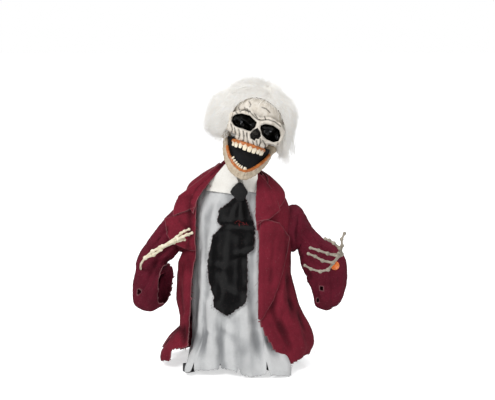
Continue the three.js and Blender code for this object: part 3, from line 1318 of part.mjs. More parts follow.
function cuffButton() {
  const ring = sleeveRing(1, leftSleeveShares, buttonRowCount, 0);
  const next = sleeveRing(1, leftSleeveShares, buttonRowCount + 1, 0);
  const start = Math.round(sleeveSideCount * buttonPlaceShares[0]);
  const place = ring[start].clone().lerp(next[start], buttonPlaceShares[1]);
  const round = ring[start - 1].clone().sub(ring[(start + 1) % sleeveSideCount]);
  const normal = round.cross(next[start].clone().sub(ring[start])).normalize();
  if (normal.y > 0) normal.negate();
  const [r, h] = [buttonRadius, buttonThickness];
  const profile = [[0, 0], [r * 0.8, 0], [r, h * 0.35], [r, h * 0.75], [r * 0.9, h], [r * 0.78, h * 0.8],
    [r * 0.3, h * 0.95], [0, h]];
  const turn = new THREE.Quaternion().setFromUnitVectors(vec(0, 1, 0), normal);
  const disc = turned(profile, smoothSideCount).applyQuaternion(turn).translate(...place.toArray());
  return largest(cut(disc, loft(sleeveRings(1, leftSleeveShares, -seat))));
}

// One finger bone between two joints, with a knob at each end
function fingerBone(from, to, thick) {
  const sideCount = 4;
  const length = from.distanceTo(to);
  const [r, k] = [boneRadius * thick, knuckleRadius * thick];
  const profile = [[0, -k * 0.6], [k * 0.9, 0], [r, length * 0.35], [k * 0.9, length], [0, length + k / 2]];
  const turn = new THREE.Quaternion().setFromUnitVectors(vec(0, 1, 0), to.clone().sub(from).normalize());
  return turned(profile, sideCount).applyQuaternion(turn).translate(...from.toArray());
}

// Hand as chains of bones: each chain is a thickness and its joints in shares of the hand length from the wrist
function skeletonHand(wrist, length, chains) {
  const thinningShare = 0.06; // of each bone against the one before it
  const at = (joint) => wrist.clone().addScaledVector(vec(...joint), length);
  return unite(chains.flatMap(([thick, ...joints]) => joints.slice(1).map((joint, i) =>
    fingerBone(at(joints[i]), at(joint), thick * (1 - thinningShare * i)))));
}

const rightHandShares = [
  [1.1, [0, 0, 0], [0.13, 0, 0.115], [0.26, -0.01, 0.19]],
  [1.0, [0, 0, 0], [0.15, -0.02, 0.06], [0.28, -0.01, 0.15]],
  [1.2, [0.25, 0, 0.165], [0.31, 0, 0.205]],
  [0.9, [0.28, -0.02, 0.19], [0.56, -0.03, 0.38], [0.63, -0.03, 0.445], [0.69, -0.02, 0.48], [0.77, 0, 0.51]],
  [0.95, [0.28, -0.01, 0.18], [0.577, -0.06, 0.342],
    [0.665, -0.06, 0.391], [0.735, -0.05, 0.426], [0.82, -0.03, 0.45]],
  [0.9, [0.28, 0.01, 0.17], [0.508, 0, 0.275], [0.57, 0, 0.302], [0.62, 0, 0.315], [0.69, 0.01, 0.322]],
  [0.85, [0.28, 0.03, 0.18], [0.55, 0.05, 0.33], [0.64, 0.06, 0.365], [0.7, 0.06, 0.39], [0.76, 0.06, 0.4]],
];
const leftHandShares = [
  [1.3, [0, 0.3, -0.28], [-0.06, 0.16, -0.24]],
  [1.0, [-0.03, 0.22, -0.2], [-0.08, 0, -0.05], [-0.22, -0.04, 0.08],
    [-0.33, -0.02, 0.15], [-0.43, 0.02, 0.18]],
  [1.05, [-0.04, 0.22, -0.24], [-0.125, -0.02, -0.255],
    [-0.376, -0.08, -0.178], [-0.6, -0.06, -0.1], [-0.8, 0, -0.05]],
  [1.05, [-0.04, 0.24, -0.28], [-0.23, -0.02, -0.43],
    [-0.5, -0.08, -0.36], [-0.68, -0.06, -0.255], [-0.85, 0, -0.2]],
  [1.0, [-0.05, 0.24, -0.3], [-0.35, 0.0, -0.61], [-0.55, -0.03, -0.65],
    [-0.78, -0.02, -0.59], [-0.93, 0.03, -0.51]],
  [1.0, [-0.02, 0.24, -0.22], [0.0, 0.1, -0.02], [-0.02, 0.04, 0.16], [0.05, 0.04, 0.31]],
];

const wireEnd = (side, shares) => armPlace(side, shares.at(-1));

function handRight() {
  const hand = skeletonHand(wireEnd(-1, rightWireShares), handRightLength, rightHandShares);
  return cut(hand, armWire(-1, rightWireShares, armRodRadius + seat, seat));
}

function handLeft() {
  const stub = vec(...leftHandShares[0][1]);
  const wrist = wireEnd(1, leftWireShares).addScaledVector(stub, -handLeftLength);
  const hand = skeletonHand(wrist, handLeftLength, leftHandShares);
  return cut(hand, armWire(1, leftWireShares, armRodRadius + seat, seat));
}

// Small motor under the skull that works the jaw
function jawMotor() {
  const [w, d, h] = [linerHalfWidth * 0.62, neckTubeRadius * 1.1, maxillaDrop * 0.6];
  const y = -neckTubeRadius - d / 2 - overrun / 2;
  const body = block(w, d, h, 0, y, -maxillaDrop - seat - h / 2);
  const can = rodX(d * 0.42, w * 1.5, 0, y, -maxillaDrop - seat - h * 0.6, smoothSideCount);
  return unite([body, can]);
}

// Assembly
function mesh(name, shape, finish) {
  const [color, roughness, metalness] = finishes[finish];
  const material = new THREE.MeshStandardMaterial({ color, roughness, metalness });
  const item = new THREE.Mesh(asGeometry(shape), material);
  item.name = name;
  return item;
}

const butler = new THREE.Group();
const head = new THREE.Group();
head.position.set(0, 0, neckPivotZ);
head.rotation.set(0, neckLean, 0);
const skull = new THREE.Group();
skull.position.set(skullOffset, 0, skullLift);
skull.rotation.set(skullPitch, skullRoll, skullYaw, 'YXZ');
const jaw = new THREE.Group();
jaw.position.set(0, jawHingeY, -jawHingeDrop);
head.add(skull);
skull.add(jaw);
butler.add(head);
skull.updateMatrix();

// Hole for the neck tube, brought into the skull's frame
const neckHole = neckTubeForm(neckTubeRadius + slip, neckTubeStart, neckTubeEnd + seat)
  .applyMatrix4(skull.matrix.clone().invert());

butler.add(mesh('base_hub', baseHub(), 'blackPlastic'));
legAngles.forEach((angle, i) => {
  butler.add(mesh(`leg_${legNames[i]}`, leg(angle), 'blackPowder'));
  butler.add(mesh(`foot_cap_${legNames[i]}`, footCap(angle), 'blackPlastic'));
});
butler.add(mesh('pole', pole(), 'steel'));
butler.add(mesh('chest_box_front', chestFront(), 'greyPlastic'));
butler.add(mesh('chest_box_back', chestBack(), 'greyPlastic'));
butler.add(mesh('battery_door', batteryDoor(), 'greyPlastic'));
butler.add(mesh('battery_tray', cellTray(), 'blackPlastic'));
for (let i = 0; i < cellCount; i += 1) butler.add(mesh(`dry_cell_${i + 1}`, dryCell(i), 'steel'));
butler.add(mesh('power_switch', slideSwitch(), 'blackPlastic'));
butler.add(mesh('loudspeaker', loudspeaker(), 'blackPlastic'));
butler.add(mesh('circuit_board', circuitBoard(), 'boardGreen'));
butler.add(mesh('shoulder_bar', shoulderBar(), 'steel'));
butler.add(mesh('neck_bracket', neckBracket(), 'steel'));
butler.add(mesh('neck_pivot_pin', neckPin(), 'steel'));
butler.add(mesh('neck_motor', neckMotor(), 'steel'));
butler.add(mesh('neck_pinion', pinionGear(), 'gearWhite'));
head.add(mesh('neck_arm', neckArm(), 'gearWhite'));
head.add(mesh('neck_tube', neckTube(), 'greyPlastic'));
skull.add(mesh('skull_face', cut(skullHalf(-1), neckHole), 'bone'));
skull.add(mesh('skull_back', cut(skullHalf(1), neckHole), 'bone'));
skull.add(mesh('eye_cup_right', eyeCup(-1), 'eyeBlack'));
skull.add(mesh('eye_cup_left', eyeCup(1), 'eyeBlack'));
skull.add(mesh('eye_lamp_right', eyeLamp(-1), 'lamp'));
skull.add(mesh('eye_lamp_left', eyeLamp(1), 'lamp'));
skull.add(mesh('upper_teeth', upperTeeth(), 'tooth'));
skull.add(mesh('mouth_liner', mouthLiner(), 'liner'));
skull.add(mesh('jaw_motor', jawMotor(), 'greyPlastic'));
skull.add(mesh('wig', wigFur(), 'fur'));
jaw.add(mesh('jaw', jawBone(), 'bone'));
jaw.add(mesh('lower_teeth', lowerTeeth(), 'tooth'));
jaw.add(mesh('jaw_shaft', jawShaft(), 'steel'));
butler.add(mesh('arm_wire_right', armWire(-1, rightWireShares, armRodRadius), 'steel'));
butler.add(mesh('arm_wire_left', armWire(1, leftWireShares, armRodRadius), 'steel'));
butler.add(mesh('sleeve_right', sleeve(-1, rightSleeveShares, rightWireShares), 'wool'));
butler.add(mesh('sleeve_left', sleeve(1, leftSleeveShares, leftWireShares), 'wool'));
butler.add(mesh('hand_right', handRight(), 'bone'));
butler.add(mesh('hand_left', handLeft(), 'boneDark'));
butler.add(mesh('cuff_button', cuffButton(), 'amber'));
butler.add(mesh('coat_front_right', coatFront(-1), 'wool'));
butler.add(mesh('coat_front_left', coatFront(1), 'wool'));
butler.add(mesh('coat_back', coatBack(), 'wool'));
butler.add(mesh('coat_collar', coatCollar(), 'wool'));
butler.add(mesh('lapel_right', lapel(-1), 'wool'));
butler.add(mesh('lapel_left', lapel(1), 'wool'));
butler.add(mesh('shirt_front', shirtPanel(-1), 'cotton'));
butler.add(mesh('shirt_back', shirtPanel(1), 'cotton'));
butler.add(mesh('neck_band', neckBand(), 'cotton'));
butler.add(mesh('shirt_collar_right', collarPoint(-1), 'cotton'));
butler.add(mesh('shirt_collar_left', collarPoint(1), 'cotton'));
butler.add(mesh('tie_blade', tieBlade(), 'tieCloth'));
butler.add(mesh('tie_knot', tieKnot(), 'tieCloth'));
butler.updateMatrixWorld(true);

export default butler;
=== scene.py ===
"""Dressed visual model of an animated skeleton butler over its CAD frame.

Lengths inside this file are millimetres in the CAD frame (+Z up, the figure faces -Y).
Meshes are made in metres.
"""
import logging
import math
from dataclasses import dataclass, field
from enum import Enum
from typing import Any, Callable, Iterable, Sequence

import bmesh
import bpy
import numpy as np
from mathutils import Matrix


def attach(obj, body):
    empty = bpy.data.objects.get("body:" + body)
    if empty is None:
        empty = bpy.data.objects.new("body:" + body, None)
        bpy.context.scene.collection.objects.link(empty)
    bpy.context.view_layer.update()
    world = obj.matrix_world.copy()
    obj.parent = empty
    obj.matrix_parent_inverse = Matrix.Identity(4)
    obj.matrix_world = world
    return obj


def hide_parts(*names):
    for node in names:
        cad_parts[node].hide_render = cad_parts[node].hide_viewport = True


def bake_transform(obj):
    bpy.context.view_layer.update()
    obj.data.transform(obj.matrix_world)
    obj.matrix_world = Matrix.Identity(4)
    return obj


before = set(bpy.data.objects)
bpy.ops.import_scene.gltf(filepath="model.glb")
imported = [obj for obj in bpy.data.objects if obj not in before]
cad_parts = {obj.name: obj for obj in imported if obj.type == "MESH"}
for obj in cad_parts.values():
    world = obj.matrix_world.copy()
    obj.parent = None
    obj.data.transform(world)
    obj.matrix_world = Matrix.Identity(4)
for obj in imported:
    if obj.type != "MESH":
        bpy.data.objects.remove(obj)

import openvdb
from mathutils import Matrix, Vector
from mathutils.kdtree import KDTree

Array = np.ndarray
Shape = Callable[[Array], Array]
METRE = 1000.0
TAU = 2.0 * math.pi
log = logging.getLogger("butler")


class Side(Enum):
    """The figure's own right and left, as the sign of X."""

    RIGHT = -1
    LEFT = 1


class Face(Enum):
    """Front and back of a garment, as the sign of Y."""

    FRONT = -1
    BACK = 1


# Numbers

HASH_AXES = (73856093, 19349663, 83492791)
HASH_SEED = 2654435761
HASH_LAST = 1274126177
EASED_ROWS = 241
EASED_REACH = 8


def lattice(points: Array, seed: int) -> Array:
    """Smooth value noise from -1 to 1.

    Args:
        points: Places in cells of the lattice, shape (..., 3).
        seed: Chooses the pattern.

    Returns:
        One value a point.
    """
    cell = np.floor(points).astype(np.int64)
    part = points - cell
    part = part * part * (3.0 - 2.0 * part)
    total = np.zeros(points.shape[:-1])
    for corner in range(8):
        step = np.array([corner & 1, (corner >> 1) & 1, corner >> 2])
        key = cell + step
        mixed = seed * HASH_SEED
        for axis, prime in enumerate(HASH_AXES):
            mixed = mixed ^ (key[..., axis] * prime)
        mixed = ((mixed ^ (mixed >> 13)) * HASH_LAST) & 0x7FFFFFFF
        value = (mixed % 65536) / 32767.5 - 1.0
        weight = np.prod(np.where(step == 1, part, 1.0 - part), axis=-1)
        total += value * weight
    return total


def rumple(points: Array, size: float, seed: int, octaves: int = 3) -> Array:
    """Sum of noise at halving sizes.

    Args:
        points: Places in millimetres, shape (..., 3).
        size: Size of the largest bumps in millimetres.
        seed: Chooses the pattern.
        octaves: How many sizes are summed.

    Returns:
        One value a point, about -1 to 1.
    """
    total = np.zeros(points.shape[:-1])
    for octave in range(octaves):
        total += lattice(points * (2.0**octave / size), seed + octave) * 0.5**octave
    return total / 1.75


def eased(places: Sequence[float], values: Sequence[float], at: Array) -> Array:
    """Values of a table at places between its rows, rounded off at the rows.

    Args:
        places: Rising places of the rows.
        values: Value of each row.
        at: Places asked for.

    Returns:
        The values there.
    """
    fine = np.linspace(places[0], places[-1], EASED_ROWS)
    line = np.interp(fine, places, values)
    kernel = np.hanning(2 * EASED_REACH + 1)
    kernel /= kernel.sum()
    padded = np.pad(line, EASED_REACH, mode="reflect", reflect_type="odd")
    return np.interp(at, fine, np.convolve(padded, kernel, mode="valid"))


def curve_through(points: Array, at: Array) -> Array:
    """Points of a Catmull-Rom curve through the given rows.

    Args:
        points: Rows of any width, shape (n, k).
        at: Places along the curve from 0 to n - 1.

    Returns:
        One row for each place.
    """
    rows = np.vstack([2 * points[0] - points[1], points, 2 * points[-1] - points[-2]])
    index = np.clip(np.floor(at).astype(int), 0, len(points) - 2)
    t = (at - index)[:, None]
    a, b, c, d = (rows[index + k] for k in range(4))
    return 0.5 * (2 * b + (c - a) * t + (2 * a - 5 * b + 4 * c - d) * t**2 + (3 * b - a - 3 * c + d) * t**3)


def smooth_step(value: Array, low: float, high: float) -> Array:
    """Rises smoothly from 0 at low to 1 at high."""
    t = np.clip((value - low) / (high - low), 0.0, 1.0)
    return t * t * (3.0 - 2.0 * t)


def add_object(name: str, data: Any) -> bpy.types.Object:
    """Adds an object to the scene."""
    item = bpy.data.objects.new(name, data)
    bpy.context.scene.collection.objects.link(item)
    return item


# The photograph's view


@dataclass(frozen=True)
class PhotoView:
    """Camera that matches the photograph, and the way from its pixels to millimetres.

    A pixel here is one of the photograph's own pixels.
    """

    width_px: int = 495
    height_px: int = 400
    distance: float = 2600.0
    elevation: float = math.radians(10.0)
    mm_per_px: float = 2.37
    aim: tuple[float, float, float] = (22.5, 0.0, 400.0)
    sensor_mm: float = 36.0

    def pixel(self, points: Array) -> Array:
        """Pixel of each point, shape (..., 2)."""
        c, s = math.cos(self.elevation), math.sin(self.elevation)
        x, y, z = (points[..., k] - self.aim[k] for k in range(3))
        scale = self.mm_per_px * (self.distance + y * c - z * s) / self.distance
        across = self.width_px / 2 + x / scale
        down = self.height_px / 2 - (y * s + z * c) / scale
        return np.stack([across, down], axis=-1)

    def make(self) -> None:
        """Makes the scene's camera."""
        data = bpy.data.cameras.new("photo_camera")
        data.sensor_width = self.sensor_mm
        data.lens = self.sensor_mm * self.distance / (self.width_px * self.mm_per_px)
        data.clip_end = 20.0
        camera = add_object("photo_camera", data)
        aim = Vector(self.aim) / METRE
        back = Vector((0.0, -math.cos(self.elevation), math.sin(self.elevation)))
        camera.location = aim + back * (self.distance / METRE)
        camera.rotation_euler = (-back).to_track_quat("-Z", "Y").to_euler()
        bpy.context.scene.camera = camera


VIEW = PhotoView()

# Finishes

# Colour of the painted highlight on the ridges of cloth folds
RIDGE_HIGHLIGHT_COLOUR = "#f4f4f2"
LINT_COLOUR = "#b98f90"
GUM_LIGHT = "#c4722c"
GUM_DARK = "#8f4a1e"


def linear(code: str) -> tuple[float, float, float, float]:
    """Linear colour of an sRGB hex code such as "#5a1a2b"."""
    parts = [int(code[i : i + 2], 16) / 255.0 for i in (1, 3, 5)]
    red, green, blue = (p / 12.92 if p <= 0.04045 else ((p + 0.055) / 1.055) ** 2.4 for p in parts)
    return red, green, blue, 1.0


def fill(tree: bpy.types.NodeTree, item: bpy.types.Node, sockets: dict[Any, Any]) -> None:
    """Gives each named or numbered input of a node its value or its source socket."""
    for key, value in sockets.items():
        if isinstance(value, bpy.types.NodeSocket):
            tree.links.new(value, item.inputs[key])
        else:
            item.inputs[key].default_value = value


def add_node(
    tree: bpy.types.NodeTree, kind: str, sockets: dict[Any, Any] | None = None, **settings: Any
) -> bpy.types.Node:
    """Adds a node and fills its sockets.

    Args:
        tree: Node tree that gets the node.
        kind: Blender's identifier of the node.
        sockets: Value or source socket for each named or numbered input.
        **settings: Properties of the node.

    Returns:
        The new node.
    """
    item = tree.nodes.new(kind)
    for key, value in settings.items():
        setattr(item, key, value)
    fill(tree, item, sockets or {})
    return item


def mixed(tree: bpy.types.NodeTree, share: Any, first: Any, second: Any) -> bpy.types.NodeSocket:
    """Colour between two colours or colour sockets by a share from 0 to 1."""
    return add_node(tree, "ShaderNodeMix", {0: share, 6: first, 7: second}, data_type="RGBA").outputs[2]


def worked(tree: bpy.types.NodeTree, operation: str, first: Any, second: Any) -> bpy.types.NodeSocket:
    """Result of a sum on two values or value sockets."""
    return add_node(tree, "ShaderNodeMath", {0: first, 1: second}, operation=operation).outputs[0]


def share_of(tree: bpy.types.NodeTree, attribute: str) -> bpy.types.NodeSocket:
    """A mesh's own value for each point, such as how deep it lies in a fold."""
    return add_node(tree, "ShaderNodeAttribute", attribute_name=attribute).outputs["Fac"]


def ranged(
    tree: bpy.types.NodeTree, value: Any, low: float, high: float, start: float = 0.0, end: float = 1.0
) -> Any:
    """Value carried from the range low..high to start..end, held at both ends."""
    item = add_node(tree, "ShaderNodeMapRange", {0: value, 1: low, 2: high, 3: start, 4: end})
    return item.outputs[0]


def grain(tree: bpy.types.NodeTree, where: Any, size_mm: float, detail: float = 3.0) -> bpy.types.NodeSocket:
    """Noise of a real size in millimetres, from 0 to 1."""
    return add_node(
        tree, "ShaderNodeTexNoise",
        {"Vector": where, "Scale": METRE / size_mm, "Detail": detail, "Roughness": 0.55}
    ).outputs[0]


def raised(tree: bpy.types.NodeTree, height: Any, depth_mm: float, under: Any = None) -> bpy.types.NodeSocket:
    """Normal of a bumpy face; depth is the bump's real height in millimetres."""
    sockets = {"Height": height, "Distance": depth_mm / METRE, "Strength": 1.0}
    if under is not None:
        sockets["Normal"] = under
    return add_node(tree, "ShaderNodeBump", sockets).outputs[0]


def new_material(name: str) -> tuple[
    bpy.types.Material, bpy.types.NodeTree, bpy.types.Node, bpy.types.NodeSocket
]:
    """Empty material with its tree, shader and object coordinates."""
    material = bpy.data.materials.new(name)
    material.use_nodes = True
    tree = material.node_tree
    shader = tree.nodes["Principled BSDF"]
    where = add_node(tree, "ShaderNodeTexCoord").outputs["Object"]
    return material, tree, shader, where


@dataclass(frozen=True)
class Cloth:
    """Woven cloth with faded patches and lint.

    The attribute "fold" darkens its valleys as painted shade and lightens its ridges as a painted highlight,
    and "rim" makes its cut edge paler.
    """

    name: str
    colour: str
    shade: str
    # dark is the colour of the painted shade in the valleys of folds, and depth its strength
    dark: str
    depth: float = 0.7
    lint: float = 0.0
    thread: float = 0.9
    weave: float = 0.18
    patch: float = 38.0
    patchiness: float = 0.5
    sheen: float = 0.25
    # Strength of the painted highlight on the ridges of folds
    ridge: float = 0.0

    def build(self) -> bpy.types.Material:
        """Makes the material."""
        material, tree, shader, where = new_material(self.name)
        cloth_at = add_node(tree, "ShaderNodeUVMap", uv_map="UVMap").outputs[0]
        threads = []
        for direction in ("X", "Y"):
            threads.append(
                add_node(
                    tree, "ShaderNodeTexWave",
                    {
                        "Vector": cloth_at, "Scale": METRE / self.thread / TAU, "Distortion": 1.2,
                        "Detail Scale": 0.6
                    },
                    bands_direction=direction
                ).outputs[1]
            )
        weave = worked(tree, "MULTIPLY", *threads)
        slubs = grain(tree, where, 2.6, 4.0)
        patches = ranged(tree, grain(tree, where, self.patch), 0.38, 0.66)
        tone = worked(tree, "MULTIPLY", patches, self.patchiness)
        body = mixed(tree, tone, linear(self.colour), linear(self.shade))
        body = mixed(tree, ranged(tree, slubs, 0.3, 0.7, 0.0, 0.35), body, linear(self.shade))
        # Painted shade in the valleys of folds and a painted highlight on their ridges
        fold = share_of(tree, "fold")
        body = mixed(tree, ranged(tree, fold, 0.3, 1.0, 0.0, self.depth), body, linear(self.dark))
        ridge_highlight = ranged(tree, fold, 0.0, 0.34, self.ridge, 0.0)
        body = mixed(tree, ridge_highlight, body, linear(RIDGE_HIGHLIGHT_COLOUR))
        specks = ranged(tree, grain(tree, where, 1.7, 2.0), 0.66, 0.74, 0.0, self.lint)
        lint = worked(tree, "MAXIMUM", specks, ranged(tree, share_of(tree, "rim"), 0.2, 1.0, 0.0, self.lint))
        fill(tree, shader, {
            "Base Color": mixed(tree, lint, body, linear(LINT_COLOUR)),
            "Normal": raised(tree, weave, self.weave, raised(tree, slubs, 0.35)),
            "Roughness": 0.9, "Specular IOR Level": 0.12,
            "Sheen Weight": self.sheen, "Sheen Roughness": 0.45,
        })
        return material


@dataclass(frozen=True)
class Bone:
    """Painted resin bone, darker in its hollows by an attribute from 0 to 1: partly a real dark wash, partly
    painted shade.
    """

    name: str
    colour: str
    wash: str
    stain: str
    speckle: float = 3.2
    strength: float = 1.0

    def build(self) -> bpy.types.Material:
        """Makes the material."""
        material, tree, shader, where = new_material(self.name)
        wash, gum = share_of(tree, "wash"), share_of(tree, "gum")
        rub = grain(tree, where, 9.0, 6.0)
        fine = grain(tree, where, self.speckle, 5.0)
        base = mixed(tree, ranged(tree, rub, 0.35, 0.7), linear(self.colour), linear(self.stain))
        # Dark wash and painted shade, broken up by fine speckle
        speckled_darkening = worked(tree, "MULTIPLY", wash, ranged(tree, fine, 0.25, 0.75, 0.55, 1.25))
        darkening_share = ranged(tree, speckled_darkening, 0.0, 1.0, 0.0, self.strength)
        body = mixed(tree, darkening_share, base, linear(self.wash))
        gum_tone = mixed(tree, ranged(tree, rub, 0.3, 0.7), linear(GUM_LIGHT), linear(GUM_DARK))
        fill(tree, shader, {
            "Base Color": mixed(tree, gum, body, gum_tone),
            "Normal": raised(tree, fine, 0.35, raised(tree, rub, 0.6)),
            "Roughness": ranged(tree, gum, 0.0, 1.0, 0.58, 0.3),
        })
        return material


@dataclass(frozen=True)
class Moulded:
    """Moulded plastic or painted metal with a fine grain and a few scuffs."""

    name: str
    colour: str
    scuff: str
    roughness: float = 0.5
    metallic: float = 0.0
    grain_mm: float = 0.8
    bump: float = 0.04
    coat: float = 0.0
    specular: float = 0.5

    def build(self) -> bpy.types.Material:
        """Makes the material."""
        material, tree, shader, where = new_material(self.name)
        fine = grain(tree, where, self.grain_mm)
        wear = ranged(tree, grain(tree, where, 26.0, 6.0), 0.52, 0.74)
        fill(tree, shader, {
            "Base Color": mixed(tree, wear, linear(self.colour), linear(self.scuff)),
            "Roughness": ranged(tree, wear, 0.0, 1.0, self.roughness, min(1.0, self.roughness + 0.15)),
            "Normal": raised(tree, fine, self.bump), "Metallic": self.metallic,
            "Specular IOR Level": self.specular, "Coat Weight": self.coat, "Coat Roughness": 0.08,
        })
        return material


@dataclass(frozen=True)
class Fur:
    """White synthetic fur: soft strands that let light through, with a faint painted glow that stands in for
    the light they pass on to each other.
    """

    name: str
    colour: str
    shade: str
    # Strength of the faint painted glow
    painted_glow: float = 0.1

    def build(self) -> bpy.types.Material:
        """Makes the material."""
        material, tree, shader, where = new_material(self.name)
        tone = ranged(tree, grain(tree, where, 14.0, 5.0), 0.32, 0.68)
        # The emission is a painted glow standing in for light passed between strands
        fill(tree, shader, {
            "Base Color": mixed(tree, tone, linear(self.colour), linear(self.shade)),
            "Roughness": 0.8, "Specular IOR Level": 0.2,
            "Emission Color": linear(self.colour), "Emission Strength": self.painted_glow,
        })
        through = add_node(tree, "ShaderNodeBsdfTranslucent", {"Color": linear(self.colour)})
        both = add_node(tree, "ShaderNodeMixShader", {0: 0.25, 1: shader.outputs[0], 2: through.outputs[0]})
        tree.links.new(both.outputs[0], tree.nodes["Material Output"].inputs["Surface"])
        return material


@dataclass(frozen=True)
class Amber:
    """Clear amber plastic with a darker heart."""

    name: str
    colour: str
    heart: str

    def build(self) -> bpy.types.Material:
        """Makes the material."""
        material, tree, shader, where = new_material(self.name)
        tone = ranged(tree, grain(tree, where, 7.0, 2.0), 0.3, 0.7)
        fill(tree, shader, {
            "Base Color": mixed(tree, tone, linear(self.colour), linear(self.heart)),
            "Roughness": 0.3, "Coat Weight": 0.35, "Subsurface Weight": 0.4, "Subsurface Scale": 0.004,
        })
        return material


FINISHES: tuple[Any, ...] = (
    # The coat
    Cloth("burgundy_wool", "#7a2231", "#53131f", "#22050b", 0.75, 0.3, thread=1.3, weave=0.45, sheen=0.0),
    # The sleeves: a darker copy of the coat's cloth, as painted shade
    Cloth(
        "burgundy_wool_dark", "#64192a", "#43101b", "#18040a", 0.85, 0.3, thread=1.3, weave=0.45, sheen=0.0
    ),
    # The shirt
    Cloth(
        "white_cotton", "#bcbdbd", "#999a9b", "#616365", 0.65, thread=0.7, weave=0.08, patch=40.0, sheen=0.0,
        ridge=0.22
    ),
    # Its collar
    Cloth(
        "cream_cotton", "#eceae4", "#d2cec4", "#8d887e", 0.6, thread=0.7, weave=0.08, patchiness=0.4,
        sheen=0.03
    ),
    # The tie
    Cloth("black_cotton", "#0c0c0d", "#040405", "#010101", 0.95, 0.16, weave=0.3, sheen=0.05, ridge=0.014),
    # Behind the teeth
    Cloth("grey_liner", "#232426", "#161719", "#08090a", thread=0.8, weave=0.1, sheen=0.05),
    Bone("bone_resin", "#ddd6cb", "#241f1a", "#c3b9aa"),  # the skull
    # A darker, browner copy of the skull's finish
    Bone("bone_aged", "#bfb19c", "#2c231b", "#a4937c"),  # the jaw
    Bone("bone_ivory", "#e2dac4", "#6d6350", "#cabf9f", strength=0.8),  # the figure's right hand
    Bone("bone_grey", "#a59c8d", "#2c2722", "#7a7264", strength=0.85),  # the figure's left hand
    # Teeth, with their gums
    Bone("tooth_enamel", "#f1e9d8", "#8a5a2c", "#e2d3b2", speckle=2.0, strength=0.7),
    Moulded("black_gloss", "#020202", "#040404", roughness=0.07, bump=0.01, specular=0.22),  # the eyes
    Moulded("black_moulding", "#17171a", "#26262a", roughness=0.42, bump=0.05),  # stand and fittings
    Moulded("black_powder_coat", "#141416", "#2a2a2d", roughness=0.5, metallic=0.2, bump=0.06),  # legs
    # Pole, rods, pins
    Moulded("drawn_steel", "#8e8f92", "#6e6f72", roughness=0.32, metallic=1.0, grain_mm=0.5, bump=0.02),
    Moulded("grey_moulding", "#56585c", "#46484b", roughness=0.5),  # chest box
    Moulded("nylon", "#e4e0d4", "#d2cdbf", roughness=0.4),  # gear sector and pinion
    Moulded("board_green", "#1c5637", "#174a2f", roughness=0.4, coat=0.4),  # circuit board
    Moulded("cell_jacket", "#a9abb0", "#8b8d92", roughness=0.3, metallic=0.8),  # dry cells
    Moulded("clear_lamp", "#2a2c30", "#3a3d42", roughness=0.05, coat=1.0, bump=0.005),  # unlit eye lamps
    Moulded("brown_cord", "#4a3426", "#33241a", roughness=0.9),  # the wig's stitched edge
    Moulded("red_thread", "#8e1f24", "#6d161a", roughness=0.85),  # stitches and loose threads
    Fur("white_fur", "#fcfbf9", "#f1efea"),  # the wig
    # The backing is a little darker than the strands, as painted shade in the gaps between them
    Fur("fur_backing", "#f4f2ee", "#e6e3dc"),  # the base that the wig's strands grow from
    Amber("amber_plastic", "#e0760a", "#b85206"),  # the cuff button
)
_built: dict[str, bpy.types.Material] = {}


def material(name: str) -> bpy.types.Material:
    """Material of a named finish, made once."""
    if name not in _built:
        _built[name] = next(f for f in FINISHES if f.name == name).build()
    return _built[name]


# Meshes


def make_piece(
    name: str, points: Array, faces: Array, finish: str, attributes: dict[str, Array] | None = None,
    uv: Array | None = None
) -> bpy.types.Object:
    """Makes a smooth mesh object at the origin.

    Args:
        name: Name of the piece.
        points: Places in millimetres, shape (n, 3).
        faces: Corners of each face, shape (m, 3 or 4), or a list of such arrays.
        finish: Name of its finish.
        attributes: Values for each point.
        uv: Cloth place of each point in millimetres, shape (n, 2).

    Returns:
        The object, in the scene.
    """
    mesh = bpy.data.meshes.new(name)
    groups = faces if isinstance(faces, list) else [faces]
    mesh.from_pydata((points / METRE).tolist(), [], [f for group in groups for f in group.tolist()])
    edit = bmesh.new()
    edit.from_mesh(mesh)
    bmesh.ops.recalc_face_normals(edit, faces=edit.faces)
    edit.to_mesh(mesh)
    edit.free()
    for key, values in (attributes or {}).items():
        mesh.attributes.new(key, "FLOAT", "POINT").data.foreach_set(
            "value", np.asarray(values, dtype=np.float32)
        )
    if uv is not None:
        corner = np.empty(len(mesh.loops), dtype=np.int32)
        mesh.loops.foreach_get("vertex_index", corner)
        layer = mesh.uv_layers.new(name="UVMap")
        layer.data.foreach_set("uv", (uv[corner] / METRE).astype(np.float32).ravel())
    mesh.shade_smooth()
    mesh.materials.append(material(finish))
    piece = add_object(name, mesh)
    log.info("%s: %d faces", name, len(mesh.polygons))
    return piece


def grid_normals(grid: Array) -> Array:
    """Unit normals of a grid of points, shape (rows, columns, 3)."""
    across = np.gradient(grid, axis=1)
    up = np.gradient(grid, axis=0)
    normal = np.cross(across, up)
    return normal / np.maximum(np.linalg.norm(normal, axis=-1, keepdims=True), 1e-9)


def grid_faces(rows: int, columns: int, closed: bool = False) -> Array:
    """Quads of a grid of points; a closed grid joins its last column to its first."""
    index = np.arange(rows * columns).reshape(rows, columns)
    right = np.roll(index, -1, axis=1) if closed else index[:, 1:]
    left = index if closed else index[:, :-1]
    return np.stack([left[:-1], right[:-1], right[1:], left[1:]], axis=-1).reshape(-1, 4)


def cloth_area(grid: Array, faces: Array) -> float:
    """Area of the kept faces of a grid, in square metres."""
    points = grid.reshape(-1, 3)[faces]
    halves = np.cross(points[:, 2] - points[:, 0], points[:, 3] - points[:, 1])
    return float(np.linalg.norm(halves, axis=1).sum() / 2 / METRE**2)


